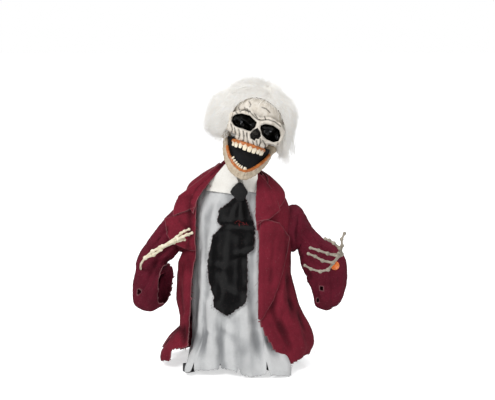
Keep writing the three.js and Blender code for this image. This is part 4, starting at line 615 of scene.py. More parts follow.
def softened(values: Array, reach: int, closed: bool) -> Array:
    """Moving average of a grid along both ways; a closed grid wraps round."""
    for axis, mode in ((0, "edge"), (1, "wrap" if closed else "edge")):
        for _ in range(2):
            padded = np.pad(
                values, [(reach + 1, reach) if k == axis else (0, 0) for k in range(values.ndim)], mode=mode
            )
            total = padded.cumsum(axis=axis)
            size = 2 * reach + 1
            late, early = (np.take(total, range(a, a + values.shape[axis]), axis=axis) for a in (size, 0))
            values = (late - early) / size
    return values


def near(points: Array, others: Array) -> Array:
    """Distance of each point to the nearest of the others."""
    tree = KDTree(len(others))
    for index, point in enumerate(others):
        tree.insert(point, index)
    tree.balance()
    return np.array([tree.find(point)[2] for point in points])


@dataclass
class Sheet:
    """A sheet of cloth over a grid of points; its cut edge is paler and loose over the width RIM."""

    RIM = 2.4
    name: str
    grid: Array
    finish: str
    thickness: float = 1.2
    closed: bool = False
    keep: Array | None = None

    def build(self) -> tuple[bpy.types.Object, float]:
        """Makes the sheet with its own thickness and edges.

        Returns:
            The object, and the sheet's area in square metres.
        """
        rows, columns = self.grid.shape[:2]
        faces = grid_faces(rows, columns, self.closed)
        if self.keep is not None:
            faces = faces[self.keep[faces].all(axis=1)]
        if self.closed:
            wrapped = np.concatenate([self.grid[:, -1:], self.grid, self.grid[:, :1]], axis=1)
            normal = grid_normals(wrapped)[:, 1:-1]
        else:
            normal = grid_normals(self.grid)
        area = cloth_area(self.grid, faces)
        # How deep each point lies in a fold: it sets the painted shade in valleys and the painted highlight on
        # ridges
        middle = self.grid.mean(axis=1, keepdims=True) if self.closed else np.array([0.0, 30.0, 0.0])
        facing = np.sign(np.sum((normal * (self.grid - middle))[..., :2], axis=-1))
        fold_shading = np.zeros(facing.shape)
        for reach, depth in ((3, 1.1), (9, 3.6)):
            below = np.sum((softened(self.grid, reach, self.closed) - self.grid) * normal, axis=-1) * facing
            fold_shading = fold_shading + 0.6 * np.tanh(below / depth)
        fold_shading = softened(fold_shading[..., None], 2, self.closed)[..., 0]
        used = np.unique(faces)
        renumber = np.full(rows * columns, -1)
        renumber[used] = np.arange(len(used))
        faces = renumber[faces]
        flat, lift = self.grid.reshape(-1, 3)[used], normal.reshape(-1, 3)[used] * self.thickness / 2
        points = np.concatenate([flat + lift, flat - lift])
        count = len(used)
        edges = np.concatenate([faces[:, [k, (k + 1) % 4]] for k in range(4)])
        key = np.sort(edges, axis=1)
        _, first, times = np.unique(key, axis=0, return_index=True, return_counts=True)
        rim = edges[first[times == 1]]
        walls = np.stack([rim[:, 1], rim[:, 0], rim[:, 0] + count, rim[:, 1] + count], axis=1)
        width = np.linalg.norm(np.diff(self.grid, axis=1, prepend=self.grid[:, :1]), axis=-1).cumsum(axis=1)
        length = np.linalg.norm(np.diff(self.grid, axis=0, prepend=self.grid[:1]), axis=-1).cumsum(axis=0)
        uv = np.stack([width, length], axis=-1).reshape(-1, 2)[used]
        both = np.concatenate([faces, faces[:, ::-1] + count, walls])
        # fold carries the painted fold shade and highlight; rim the paler cut edge
        shades = {
            "fold": np.tile(np.clip(fold_shading.reshape(-1)[used] * 0.8 + 0.34, 0.0, 1.0), 2),
            "rim": np.tile(np.clip(1.0 - near(flat, flat[np.unique(rim)]) / self.RIM, 0.0, 1.0), 2),
        }
        return make_piece(self.name, points, both, self.finish, shades, np.concatenate([uv, uv])), area


def dress(
    sheet: Sheet, body: str | tuple[Any, ...], replaced: Sequence[str],
) -> bpy.types.Object:
    """Builds a sheet, attaches it to its body unless it is given a joint, and hides the nodes it replaces."""
    piece, area = sheet.build()
    if isinstance(body, str):
        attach(piece, body)
    else:
        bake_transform(piece)
    if replaced:
        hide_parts(*replaced)
    return piece


@dataclass(frozen=True)
class Crease:
    """A fold drawn from one pixel of the photograph to another; depth is positive where it stands proud."""

    start: tuple[float, float]
    end: tuple[float, float]
    depth: float
    width: float = 3.0

    def lift(self, pixels: Array) -> Array:
        """Height of the fold at each pixel."""
        a, b = np.array(self.start), np.array(self.end)
        along = b - a
        t = np.clip(((pixels - a) @ along) / (along @ along), 0.0, 1.0)
        gap = np.linalg.norm(pixels - (a + t[..., None] * along), axis=-1)
        fade = np.sin(np.pi * np.clip(t * 0.9 + 0.05, 0, 1)) ** 0.5
        return self.depth * fade * np.exp(-((gap / self.width) ** 2))


def crease_rows(*rows: tuple[float, ...]) -> tuple["Crease", ...]:
    """Creases from rows of start x and y, end x and y in pixels, depth and width in millimetres."""
    return tuple(Crease(row[:2], row[2:4], *row[4:]) for row in rows)


def creased(grid: Array, creases: Iterable[Crease], outward: Array | float = 1.0) -> Array:
    """Grid moved along its normals by the folds seen in the photograph."""
    pixels = VIEW.pixel(grid)
    lift = sum((c.lift(pixels) for c in creases), np.zeros(grid.shape[:2]))
    return grid + grid_normals(grid) * (lift * outward)[..., None]


# Clothes

LEVELS = (0.0, 0.056, 0.118, 0.179, 0.241, 0.334, 0.457, 0.571, 0.695, 0.779, 0.831, 0.891, 0.951, 1.0)


@dataclass(frozen=True)
class ArmSizes:
    """Place of the shoulder axis and the size of the sleeve head."""

    axis_y: float = 22.0
    axis_z: float = 328.0
    bar_end: float = 124.0
    reach: float = 120.0
    hole_start: float = 116.0
    blend_end: float = 150.0
    hole_radius: float = 50.0


@dataclass(frozen=True)
class CoatSizes:
    """Sizes of the coat and its widths by level, as shares of its reach."""

    height: float = 488.0
    hem: float = 3.0
    right_reach: float = 190.0
    left_reach: float = 184.0
    front_depth: float = 100.0
    back_depth: float = 126.0
    fold: float = 5.0
    top_drop: float = 24.0
    cloth: float = 1.6
    right: tuple[float, ...] = (
        0.98, 1, 0.91, 0.72, 0.73, 0.77, 0.77, 0.68, 0.65, 0.65, 0.64, 0.56, 0.36, 0.21
    )
    left: tuple[float, ...] = (
        0.87, 0.93, 1, 0.95, 0.86, 0.74, 0.67, 0.67, 0.67, 0.67, 0.62, 0.46, 0.31, 0.24
    )
    right_edge: tuple[float, ...] = (
        0.88, 0.76, 0.62, 0.57, 0.56, 0.57, 0.55, 0.52, 0.52, 0.52, 0.48, 0.4, 0.26, 0.15
    )
    left_edge: tuple[float, ...] = (
        0.61, 0.48, 0.37, 0.31, 0.27, 0.27, 0.27, 0.26, 0.23, 0.22, 0.22, 0.22, 0.23, 0.21
    )
    front: tuple[float, ...] = (
        1, 0.98, 0.97, 0.95, 0.91, 0.87, 0.81, 0.75, 0.67, 0.62, 0.58, 0.51, 0.43, 0.38
    )
    back: tuple[float, ...] = (1, 0.95, 0.91, 0.86, 0.8, 0.74, 0.67, 0.61, 0.57, 0.53, 0.5, 0.47, 0.43, 0.4)


@dataclass(frozen=True)
class ShirtSizes:
    """Sizes of the shirt and its widths by level."""

    half_width: float = 118.0
    front_depth: float = 112.0
    back_depth: float = 96.0
    hem: float = 26.0
    floor: float = 3.0
    top: float = 440.0
    fold: float = 4.0
    lean: float = 10.0
    cloth: float = 1.3
    collar_cloth: float = 1.6
    band_radius: float = 39.0
    band_height: float = 40.0
    band_y: float = 2.0
    band_slope: float = math.tan(math.radians(20.0))
    width: tuple[float, ...] = (0.95, 0.95, 0.94, 0.93, 0.92, 0.91, 0.9, 0.9, 0.9, 0.9, 0.87, 0.74, 0.5, 0.36)
    front: tuple[float, ...] = (1, 0.92, 0.85, 0.8, 0.76, 0.7, 0.63, 0.57, 0.5, 0.46, 0.42, 0.37, 0.34, 0.34)
    back: tuple[float, ...] = (1, 0.98, 0.95, 0.92, 0.9, 0.86, 0.78, 0.68, 0.58, 0.52, 0.47, 0.43, 0.41, 0.41)


@dataclass(frozen=True)
class TieSizes:
    """Sizes of the tie: its top, its stand-off from the shirt and its cloth."""

    top: float = 434.0
    lift: float = 7.0
    cloth: float = 1.5


ARM = ArmSizes()
COAT = CoatSizes()
SHIRT = ShirtSizes()
TIE = TieSizes()
SQUARENESS = 2.4


def rounded(width: Array, depth: Array, turn: Array) -> tuple[Array, Array]:
    """Sideways and forward reach of a squared oval at a turn from the side."""
    power = 2.0 / SQUARENESS
    return width * np.abs(np.cos(turn)) ** power, depth * np.abs(np.sin(turn)) ** power


def turn_at(share: Array) -> Array:
    """Turn of the squared oval whose sideways share is the given one."""
    return np.arccos(np.clip(share, 0.0, 1.0) ** (SQUARENESS / 2))


def coat_point(side: Side, face: Face, turn: Array, height: Array, lift: Array | float = 0.0) -> Array:
    """Place on the coat shell.

    Args:
        side: Which half of the coat.
        face: Front or back.
        turn: Turn from the side seam, in radians.
        height: Height above the floor.
        lift: How far outside the shell.

    Returns:
        Points, shape (..., 3).
    """
    level = height / COAT.height
    reach = COAT.right_reach * eased(LEVELS, COAT.right, level)
    if side is Side.LEFT:
        reach = COAT.left_reach * eased(LEVELS, COAT.left, level)
    depth = COAT.front_depth * eased(LEVELS, COAT.front, level)
    if face is Face.BACK:
        depth = COAT.back_depth * eased(LEVELS, COAT.back, level)
    wave = (
        COAT.fold * np.clip(1 - level, 0, 1) ** 2 * np.sin(9 * turn + side.value + 4 * level)
        * np.sin(2 * turn)
    )
    x, y = rounded(reach + lift + wave, depth + lift + wave, turn)
    return np.stack([side.value * x, face.value * y, height + 0.0 * x], axis=-1)


def coat_edge_turn(side: Side, height: Array) -> Array:
    """Turn at which the coat's front edge lies."""
    level = height / COAT.height
    if side is Side.RIGHT:
        return turn_at(eased(LEVELS, COAT.right_edge, level) / eased(LEVELS, COAT.right, level))
    return turn_at(eased(LEVELS, COAT.left_edge, level) / eased(LEVELS, COAT.left, level))


def shirt_front_y(x: Array, height: Array) -> Array:
    """Depth of the shirt front at a place across it."""
    level = height / COAT.height
    width = SHIRT.half_width * eased(LEVELS, SHIRT.width, level)
    depth = SHIRT.front_depth * eased(LEVELS, SHIRT.front, level)
    return -rounded(width, depth, turn_at(np.abs(x - SHIRT.lean * level**3) / width))[1]


def shirt_point(face: Face, angle: Array, height: Array) -> Array:
    """Place on the shirt at an angle from 0 to half a turn, from the figure's left."""
    level = height / COAT.height
    width = SHIRT.half_width * eased(LEVELS, SHIRT.width, level)
    depth = SHIRT.front_depth * eased(LEVELS, SHIRT.front, level)
    if face is Face.BACK:
        depth = SHIRT.back_depth * eased(LEVELS, SHIRT.back, level)
    fold = SHIRT.fold * (1 - level) * np.sin(13 * angle) * np.sin(angle)
    x, y = rounded(width + fold, depth + fold, angle)
    return np.stack(
        [np.sign(np.cos(angle)) * x + SHIRT.lean * level**3, face.value * y, height + 0.0 * x], axis=-1
    )


def in_armhole(grid: Array, radius: float = ARM.hole_radius) -> Array:
    """Points of a grid that lie in the round armholes."""
    away = np.hypot(grid[..., 1] - ARM.axis_y, grid[..., 2] - ARM.axis_z)
    return (away < radius) & (np.abs(grid[..., 0]) > ARM.hole_start - 14.0)


def beside(grid: Array, line: Sequence[tuple[float, float]], side: Side, ragged: float, seed: int) -> Array:
    """Points on one side of a line drawn down the photograph.

    Args:
        grid: Points in millimetres.
        line: Pixels from top to bottom.
        side: RIGHT keeps what lies left of the line in the picture.
        ragged: How far, in pixels, the edge wanders.
        seed: Chooses the raggedness.

    Returns:
        True where the point is kept.
    """
    pixels = VIEW.pixel(grid)
    across, down = zip(*line)
    edge = np.interp(pixels[..., 1], down, across) + ragged * rumple(grid, 7.0, seed)
    return (pixels[..., 0] - edge) * side.value > 0


def above(grid: Array, line: Sequence[tuple[float, float]], ragged: float, seed: int) -> Array:
    """Points above a line drawn across the photograph, from left to right."""
    pixels = VIEW.pixel(grid)
    across, down = zip(*line)
    edge = np.interp(pixels[..., 0], across, down) + ragged * rumple(grid, 6.0, seed)
    return pixels[..., 1] < edge


def coat_front_y(side: Side, x: Array, height: Array) -> Array:
    """Depth of a coat front at a place across it, carried on past its side."""
    level = height / COAT.height
    share, reach = (COAT.right, COAT.right_reach) if side is Side.RIGHT else (COAT.left, COAT.left_reach)
    width = reach * eased(LEVELS, share, level)
    depth = COAT.front_depth * eased(LEVELS, COAT.front, level)
    return -rounded(width, depth, turn_at(np.minimum(np.abs(x) / width, 0.9)))[1]


def photo_point(pixels: Array, depth: Array | float) -> Array:
    """Places in millimetres under pixels of the photograph at a given Y."""
    c, s = math.cos(VIEW.elevation), math.sin(VIEW.elevation)
    height = np.full(np.shape(pixels)[:-1], VIEW.aim[2])
    for _ in range(4):
        scale = VIEW.mm_per_px * (VIEW.distance + depth * c - (height - VIEW.aim[2]) * s) / VIEW.distance
        height = VIEW.aim[2] + ((VIEW.height_px / 2 - pixels[..., 1]) * scale - depth * s) / c
    return np.stack(
        [(pixels[..., 0] - VIEW.width_px / 2) * scale + VIEW.aim[0], depth + 0 * scale, height], axis=-1
    )


def on_surface(pixels: Array, depth_of: Callable[[Array, Array], Array]) -> Array:
    """Places under pixels of the photograph on a surface that gives Y for X and Z."""
    depth = np.full(pixels.shape[:-1], -70.0)
    for _ in range(6):
        spot = photo_point(pixels, depth)
        depth = depth_of(spot[..., 0], spot[..., 2])
    return photo_point(pixels, depth)


def ruled(
    left: Sequence[tuple[float, float]], right: Sequence[tuple[float, float]], columns: int, rows: int
) -> Array:
    """Pixels between two drawn edges of as many points each, from bottom to top.

    Args:
        left: Edge that lies left in the picture, from top to bottom.
        right: The other edge.
        columns: Points from edge to edge.
        rows: Points along the edges.

    Returns:
        Pixels, shape (rows, columns, 2).
    """
    at = np.linspace(len(left) - 1, 0, rows)
    a, b = (
        np.stack([np.interp(at, range(len(line)), axis) for axis in zip(*line)], axis=-1)
        for line in (left, right)
    )
    return a[:, None] + (b - a)[:, None] * np.linspace(0, 1, columns)[None, :, None]


def frayed(pixels: Array, reach: float, seed: int) -> Array:
    """Pixels whose outer rows and columns wander like a torn edge."""
    u, v = uv_grid(pixels.shape[1], pixels.shape[0])
    rim = np.clip(1.0 - 14.0 * np.minimum(np.minimum(u, 1 - u), np.minimum(v, 1 - v)), 0.0, 1.0)
    cell = np.concatenate([pixels / 1.6, np.zeros_like(pixels[..., :1])], axis=-1)
    wander = np.stack([lattice(cell, seed), lattice(cell, seed + 1)], axis=-1)
    return pixels + reach * rim[..., None] * wander


def uv_grid(columns: int, rows: int) -> tuple[Array, Array]:
    """Shares across and up a grid."""
    return np.meshgrid(np.linspace(0, 1, columns), np.linspace(0, 1, rows))


def wrinkled(
    grid: Array, depth: float, size: float, seed: int, stretch: tuple[float, float, float] = (1, 1, 1)
) -> Array:
    """Grid moved along its normals by soft wrinkles; the stretch lengthens them along an axis."""
    field = rumple(grid / np.array(stretch), size, seed, 4)
    return grid + grid_normals(grid) * (depth * field)[..., None]


class Coat:
    """The burgundy coat: two fronts, a back, two lapels and a collar."""

    FINISH = "burgundy_wool"
    SLOT = "burgundy_cloth"
    FALL_CLOTH = 1.8
    RIGHT_EDGE = (
        (228, 160), (210, 181), (198, 197), (196, 212), (195, 232), (196.5, 250), (191.7, 283), (191.7, 300),
        (189, 342), (189, 380)
    )
    LEFT_EDGE = (
        (257, 160), (256.7, 175), (255, 218), (259, 250), (258, 322), (265.4, 337), (273.6, 351), (286, 365),
        (296, 374)
    )
    RIGHT_HEM = ((140, 350), (157, 347), (158, 361), (171, 361.5), (172, 350), (184, 349), (191, 345))
    LEFT_HEM = ((255, 330), (266, 345), (283, 366), (292, 365), (303, 357), (312, 353), (318, 348))
    BACK_HEM = ((140, 346), (158, 347), (200, 352), (250, 352), (303, 350), (318, 342))

    CREASES = crease_rows(
        (176, 262, 182, 312, 4.5, 2.6), (185, 262, 187, 336, -4.5, 2.2),
        (180, 252, 176, 330, -3.5, 2.2), (190, 262, 190, 338, 3.0, 1.8), (176, 316, 161, 352, 5.0, 3.0),
        (184, 316, 172, 356, -5.0, 2.6), (168, 322, 160, 345, -3.0, 2.0),
        (188, 312, 182, 350, 3.5, 2.2), (184, 214, 181, 262, -3.0, 2.4), (283, 256, 293, 318, 4.5, 2.8),
        (276, 286, 302, 346, -6.0, 3.2), (268, 300, 290, 352, 5.0, 2.8),
        (262, 318, 284, 356, -5.0, 2.6), (292, 300, 311, 338, 5.5, 3.2),
        (288, 262, 300, 330, -4.0, 2.6), (280, 318, 296, 360, 4.0, 2.6), (264, 330, 278, 352, 3.5, 2.2),
        (290, 215, 288, 262, -4.0, 2.2), (284, 205, 284, 232, 2.5, 2.2),
        (286, 264, 278, 322, -4.0, 2.4), (294, 316, 304, 350, -4.5, 2.2),
        (187, 300, 176, 350, 3.0, 2.0),
    )
    COLLAR_FALLS = {
        Side.RIGHT: (((225, 160), (207, 174), (191, 186.5), (178.7, 196), (174, 206), (172.6, 216)),
                     ((228, 162), (214, 177), (204, 189.5), (198.5, 197), (196.4, 202), (196, 207))),
        Side.LEFT: (((256.6, 171), (256.8, 182), (256.2, 194), (255.6, 206), (255.4, 214), (256, 222)),
                    ((258, 171.5), (266, 181), (272.6, 190), (277, 200), (280, 210), (269, 219))),
    }
    LAPELS = {
        Side.RIGHT: (((172.5, 216.4), (164.6, 218), (165.6, 226), (166.6, 234), (172, 243), (190, 250.5)),
                     ((196, 207.4), (196, 212), (195.6, 222), (195.2, 232), (195.2, 242), (195.8, 251))),
        Side.LEFT: (((260.4, 218), (259.4, 232), (258.8, 250), (258.4, 275), (258.2, 300), (258.6, 319)),
                    ((279, 222.6), (290, 237.5), (287.7, 250), (282, 275), (273.4, 300.6), (260.4, 320.4))),
    }
    ROLLS = crease_rows(
        (262, 222, 262, 316, 2.4, 2.2), (276, 226, 270, 292, -2.4, 2.6), (285, 240, 277, 284, 2.2, 2.2),
        (190, 188, 200, 200, 1.8, 3.0), (170, 222, 190, 244, 2.4, 2.6), (178, 218, 193, 236, -2.2, 2.2),
        (262, 182, 272, 206, 2.0, 2.6), (168, 226, 168, 238, -2.4, 1.6), (209, 176, 184, 196, 2.2, 2.4),
    )

    def front(self, side: Side) -> bpy.types.Object:
        """Makes one front of the coat."""
        u, v = uv_grid(52, 150)
        top = COAT.height - 1.2 - (COAT.top_drop if side is Side.LEFT else 0.0)
        height = COAT.hem + (top - COAT.hem) * v
        seam = 0.012
        turn = seam + (np.minimum(coat_edge_turn(side, height) + 0.16, math.pi / 2) - seam) * u
        grid = coat_point(side, Face.FRONT, turn, height)
        grid = wrinkled(creased(grid, self.CREASES, side.value), 3.4 * side.value, 50.0, 21, (1, 1, 2.0))
        grid = wrinkled(grid, 0.8 * side.value, 11.0, 23)
        line, hem = (self.RIGHT_EDGE, self.RIGHT_HEM) if side is Side.RIGHT else (
            self.LEFT_EDGE, self.LEFT_HEM
        )
        keep = ~in_armhole(grid) & beside(grid, line, side, 0.7, 31) & above(grid, hem, 1.0, 32)
        name = f"coat_front_{side.name.lower()}"
        return self._dress(Sheet(f"{name}_cloth", grid, self.FINISH, COAT.cloth, keep=keep.ravel()), (name,))

    def back(self) -> bpy.types.Object:
        """Makes the back of the coat, which shows past the figure's left hem."""
        u, v = uv_grid(90, 120)
        height = COAT.hem + (COAT.height - 1.2 - COAT.top_drop * u - COAT.hem) * v
        turn = 0.01 + (math.pi - 0.02) * u
        right = coat_point(Side.RIGHT, Face.BACK, turn, height)
        left = coat_point(Side.LEFT, Face.BACK, math.pi - turn, height)
        grid = np.where((u < 0.5)[..., None], right, left)
        grid = wrinkled(grid, 4.5, 64.0, 24, (1, 1, 2.5))
        keep = ~in_armhole(grid) & above(grid, self.BACK_HEM, 1.2, 34)
        return self._dress(
            Sheet("coat_back_cloth", grid, self.FINISH, COAT.cloth, keep=keep.ravel()), ("coat_back",)
        )

    def fall(
        self, name: str, side: Side, edges: tuple[Any, Any], lift: float, nodes: Sequence[str]
    ) -> bpy.types.Object:
        """Makes a turned-over part of the coat between two edges drawn in the photograph.

        Args:
            name: Name of the piece.
            side: Which front it lies on.
            edges: Left and right edge in pixels.
            lift: How far it stands off the front.
            nodes: CAD nodes that it replaces.

        Returns:
            The piece.
        """
        pixels = frayed(ruled(*edges, 40, 90), 0.35, 37)
        u, _ = uv_grid(40, 90)
        out = 1 - u if side is Side.RIGHT else u

        def depth(x: Array, height: Array) -> Array:
            """Depth of the roll over the coat's front."""
            return (
                coat_front_y(side, x, height) - lift - 3.4 * np.sin(np.pi * np.clip(out, 0, 1)) ** 0.7
                - 1.5 * out
            )

        grid = on_surface(pixels, depth)
        grid = wrinkled(creased(grid, self.ROLLS), 1.8, 26.0, 27)
        grid = wrinkled(grid, 0.5, 8.0, 28)
        return self._dress(
            Sheet(f"{name}_cloth", grid, self.FINISH, self.FALL_CLOTH), nodes,
        )

    def collar(self) -> bpy.types.Object:
        """Makes the collar from lapel to lapel round the back of the neck."""
        u, v = uv_grid(150, 24)
        along = np.abs(2 * u - 1)
        height = COAT.height - COAT.top_drop * u - 56.0 * (0.45 + 0.75 * along**2) * (1 - v) - 45.6 * along**3
        parts = {}
        for side in Side:
            end = coat_edge_turn(side, height)
            sweep = along * (math.pi / 2 + end)
            behind = coat_point(side, Face.BACK, np.clip(math.pi / 2 - sweep, 0, None), height)
            before = coat_point(side, Face.FRONT, np.clip(sweep - math.pi / 2, 0, None), height)
            parts[side] = np.where((sweep <= math.pi / 2)[..., None], behind, before)
        grid = np.where((u < 0.5)[..., None], parts[Side.RIGHT], parts[Side.LEFT])
        grid = grid + self._outward(grid) * (3.4 + 6.0 * (1 - v**3))[..., None]
        grid = wrinkled(grid, 1.6, 30.0, 29)
        return self._dress(
            Sheet("coat_collar_cloth", grid, self.FINISH, self.FALL_CLOTH), ("coat_collar",)
        )

    def threads(self) -> bpy.types.Object:
        """Makes the loose threads that hang from the cut edges."""
        strands: list[Array] = []
        random = np.random.default_rng(12)
        for line, depth, lean in (
            (self.RIGHT_EDGE, -70.0, 1), (self.LEFT_EDGE, -88.0, -1), (self.LEFT_HEM, -74.0, 0),
            (self.RIGHT_HEM, -74.0, 0), (self.LAPELS[Side.LEFT][1], -86.0, 0),
            (self.LAPELS[Side.LEFT][0], -88.0, -1), (self.COLLAR_FALLS[Side.LEFT][1], -66.0, 0)
        ):
            ends = np.array(line, dtype=float)
            for _ in range(15):
                spot = curve_through(ends, np.array([random.uniform(0.5, len(ends) - 1.5)]))[0]
                root = photo_point(spot, depth)
                reach = random.uniform(4, 13)
                bend = np.array([lean * random.uniform(0.1, 0.9), -0.2, -random.uniform(0.3, 1.0)]) * reach
                side = random.normal(0, 1.8, 3)
                strands.append(np.stack([root, root + bend * 0.5 + side, root + bend]))
        return thread_piece("coat_loose_threads", strands, 0.35, self.FINISH, "frame")

    @staticmethod
    def _outward(grid: Array) -> Array:
        """Unit normals that point away from the body's middle."""
        normal = grid_normals(grid)
        away = np.sum(normal[..., :2] * grid[..., :2], axis=-1, keepdims=True)
        return normal * np.where(away < 0, -1.0, 1.0)

    def _dress(self, sheet: Sheet, nodes: Sequence[str]) -> bpy.types.Object:
        """Builds one sheet of the coat and attaches it to the frame."""
        return dress(sheet, "frame", nodes)

    def build(self) -> None:
        """Makes the whole coat."""
        for side in Side:
            low = side.name.lower()
            self.front(side)
            self.fall(f"lapel_{low}", side, self.LAPELS[side], 4.5, (f"lapel_{low}",))
            self.fall(f"collar_fall_{low}", side, self.COLLAR_FALLS[side], 9.5, ())
        self.back()
        self.collar()
        self.threads()


def tube_mesh(path: Array, radii: Array, sides: int = 6) -> tuple[Array, Array]:
    """Points and faces of a round tube along a path."""
    tangent = np.gradient(path, axis=0)
    tangent /= np.linalg.norm(tangent, axis=1, keepdims=True)
    helper = np.where(np.abs(tangent[:, 2:]) < 0.9, np.array([[0.0, 0.0, 1.0]]), np.array([[1.0, 0.0, 0.0]]))
    first = np.cross(tangent, helper)
    first /= np.linalg.norm(first, axis=1, keepdims=True)
    second = np.cross(tangent, first)
    angle = np.linspace(0, TAU, sides, endpoint=False)
    ring = first[:, None] * np.cos(angle)[None, :, None] + second[:, None] * np.sin(angle)[None, :, None]
    points = (path[:, None] + ring * np.asarray(radii).reshape(-1, 1, 1)).reshape(-1, 3)
    return points, grid_faces(len(path), sides, closed=True)


def thread_piece(
    name: str, paths: Sequence[Array], radius: float, finish: str, body: str
) -> bpy.types.Object:
    """Makes one piece of many threads, each through a few points."""
    points, faces, count = [], [], 0
    for path in paths:
        fine = curve_through(path, np.linspace(0, len(path) - 1, 9))
        some, skin = tube_mesh(fine, np.linspace(radius, radius * 0.4, 9), 4)
        points.append(some)
        faces.append(skin + count)
        count += len(some)
    piece = make_piece(
        name, np.concatenate(points), np.concatenate(faces), finish, uv=np.concatenate(points)[:, [0, 2]]
    )
    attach(piece, body)
    return piece


class Shirt:
    """The white shirt with its stand-up band and the two points of its collar."""

    SLOT = "white_cotton"
    CREASES = crease_rows(
        (200, 262, 193, 345, 5.0, 1.8), (196, 262, 190, 345, -5.0, 1.6),
        (203, 222, 203, 300, -4.0, 1.8), (222, 330, 236, 340, 3.0, 2.0),
        (242, 322, 262, 332, -3.0, 2.0), (205, 330, 220, 345, 3.0, 2.4), (205, 215, 200, 262, 3.5, 3.0),
        (210, 240, 198, 330, -4.0, 3.0), (201, 285, 196, 365, 4.0, 3.5),
        (208, 300, 212, 352, -4.5, 3.0), (216, 318, 222, 360, 4.0, 3.5),
        (228, 322, 226, 362, -3.5, 3.0), (236, 315, 240, 372, 4.0, 3.5),
        (246, 300, 250, 374, -4.0, 3.0), (254, 320, 262, 372, 4.5, 3.5),
        (262, 342, 272, 370, -3.0, 3.0), (213, 204, 208, 220, 2.5, 2.5),
        (256, 212, 257, 300, -3.0, 2.5),
    )

    WINGS = {
        Side.RIGHT: (((226, 163), (218.4, 172), (211, 181), (206.6, 187.5), (206, 190.4)),
                     ((230, 165), (234.6, 173), (238, 181), (239, 186), (234.6, 194.6))),
        Side.LEFT: (((246, 166), (243.6, 175), (242.6, 181), (244, 186), (248, 191.6)),
                    ((257.4, 167), (257.6, 174), (257.4, 181), (257.2, 187), (257, 192.8))),
    }
    # Place across the shirt and height of the hem there
    HEM = (
        (-112, 30), (-108, 10), (-98, 8), (-86, 13), (-60, 15), (-36, 18), (-10, 16), (14, 7), (33, 2.5),
        (52, 10), (70, 7), (92, 3), (112, 3)
    )
    # Place and depth of the slits in the hem
    SLITS = ((-84, 22), (-40, 12), (4, 26), (62, 30))
    SLIT_WIDTH = 1.6
    BAR_HOLE = 8.0
    BAR_HOLE_START = 90.0
    # Turn and width of the flares at the hem, and how far they stand out and ahead
    FLARES = ((0.62, 0.42, 26.0, 36.0), (math.pi - 0.6, 0.4, 26.0, 36.0), (1.2, 0.4, 0.0, 16.0))

    def hem(self, x: Array) -> Array:
        """Height of the front hem across the shirt, with the slits of its lower edge."""
        base = np.interp(x, *np.array(self.HEM, dtype=float).T)
        slits = sum(depth * np.exp(-(((x - at) / self.SLIT_WIDTH) ** 2)) for at, depth in self.SLITS)
        return base + slits + 1.6 * lattice(np.stack([x / 3.0, 0 * x, 0 * x], axis=-1), 5)

    def panel(self, face: Face) -> bpy.types.Object:
        """Makes the front or the back of the shirt."""
        u, v = uv_grid(150, 150) if face is Face.FRONT else uv_grid(70, 60)
        angle = 0.01 + (math.pi - 0.02) * u
        bottom = SHIRT.hem * np.ones_like(u)
        if face is Face.FRONT:
            bottom = self.hem(shirt_point(face, angle, 0.0 * u + SHIRT.hem)[..., 0])
        grid = shirt_point(face, angle, bottom + (SHIRT.top - bottom) * v)
        if face is Face.FRONT:
            grid = creased(grid, self.CREASES)
            grid = wrinkled(grid, 3.6, 30.0, 41, (1, 1, 5))
            grid = wrinkled(grid, 1.8, 13.0, 45, (1, 1, 1.6))
            flare = smooth_step(-grid[..., 2], -85.0, -12.0)
            for at, wide, out, ahead in self.FLARES:
                share = flare * np.exp(-(((angle - at) / wide) ** 2))
                grid[..., 0] += np.sign(math.pi / 2 - at) * out * share
                grid[..., 1] -= ahead * share
        keep = ~(
            (np.hypot(grid[..., 1] - ARM.axis_y, grid[..., 2] - ARM.axis_z) < self.BAR_HOLE)
            & (np.abs(grid[..., 0]) > self.BAR_HOLE_START)
        )
        name = "shirt_front" if face is Face.FRONT else "shirt_back"
        sheet = Sheet(f"{name}_cloth", grid, "white_cotton", SHIRT.cloth, keep=keep.ravel())
        return dress(sheet, "frame", (name,))

    def band(self) -> bpy.types.Object:
        """Makes the stand-up band round the neck."""
        u, v = uv_grid(96, 16)
        angle = TAU * u * (1 - 1 / 96)
        radius = SHIRT.band_radius - 0.6 + 1.2 * np.sin(3 * angle) * v
        y = radius * np.sin(angle)
        height = (
            SHIRT.top + 0.5 + (SHIRT.band_height - 0.5) * v * (1 + SHIRT.band_slope * y / SHIRT.band_radius)
        )
        grid = np.stack([SHIRT.lean + radius * np.cos(angle), SHIRT.band_y + y, height], axis=-1)
        grid = wrinkled(grid, 0.9, 16.0, 43)
        sheet = Sheet("neck_band_cloth", grid, "cream_cotton", SHIRT.collar_cloth, closed=True)
        return dress(sheet, "frame", ("neck_band",))

    def point(self, side: Side) -> bpy.types.Object:
        """Makes one wing of the collar, folded over the band."""
        pixels = frayed(ruled(*self.WINGS[side], 40, 44), 0.2, 49)
        _, v = uv_grid(40, 44)

        def depth(x: Array, height: Array) -> Array:
            """Depth of the wing: on the band at its top, on the shirt lower down."""
            aside = np.clip(np.abs(x - SHIRT.lean) / (SHIRT.band_radius + 22.0), 0.0, 0.98)
            band = SHIRT.band_y - (SHIRT.band_radius + 4.0) * np.sqrt(1 - aside**2)
            shirt = shirt_front_y(x, np.minimum(height, SHIRT.top))
            return np.minimum(band, shirt) - 3.0 - 4.0 * np.sin(np.pi * v) - 2.0 * (1 - v)

        grid = on_surface(pixels, depth)
        grid = wrinkled(grid, 1.4, 20.0, 47)
        name = f"shirt_collar_{side.name.lower()}"
        return dress(
            Sheet(f"{name}_cloth", grid, "cream_cotton", SHIRT.collar_cloth), "frame", (name,),
        )

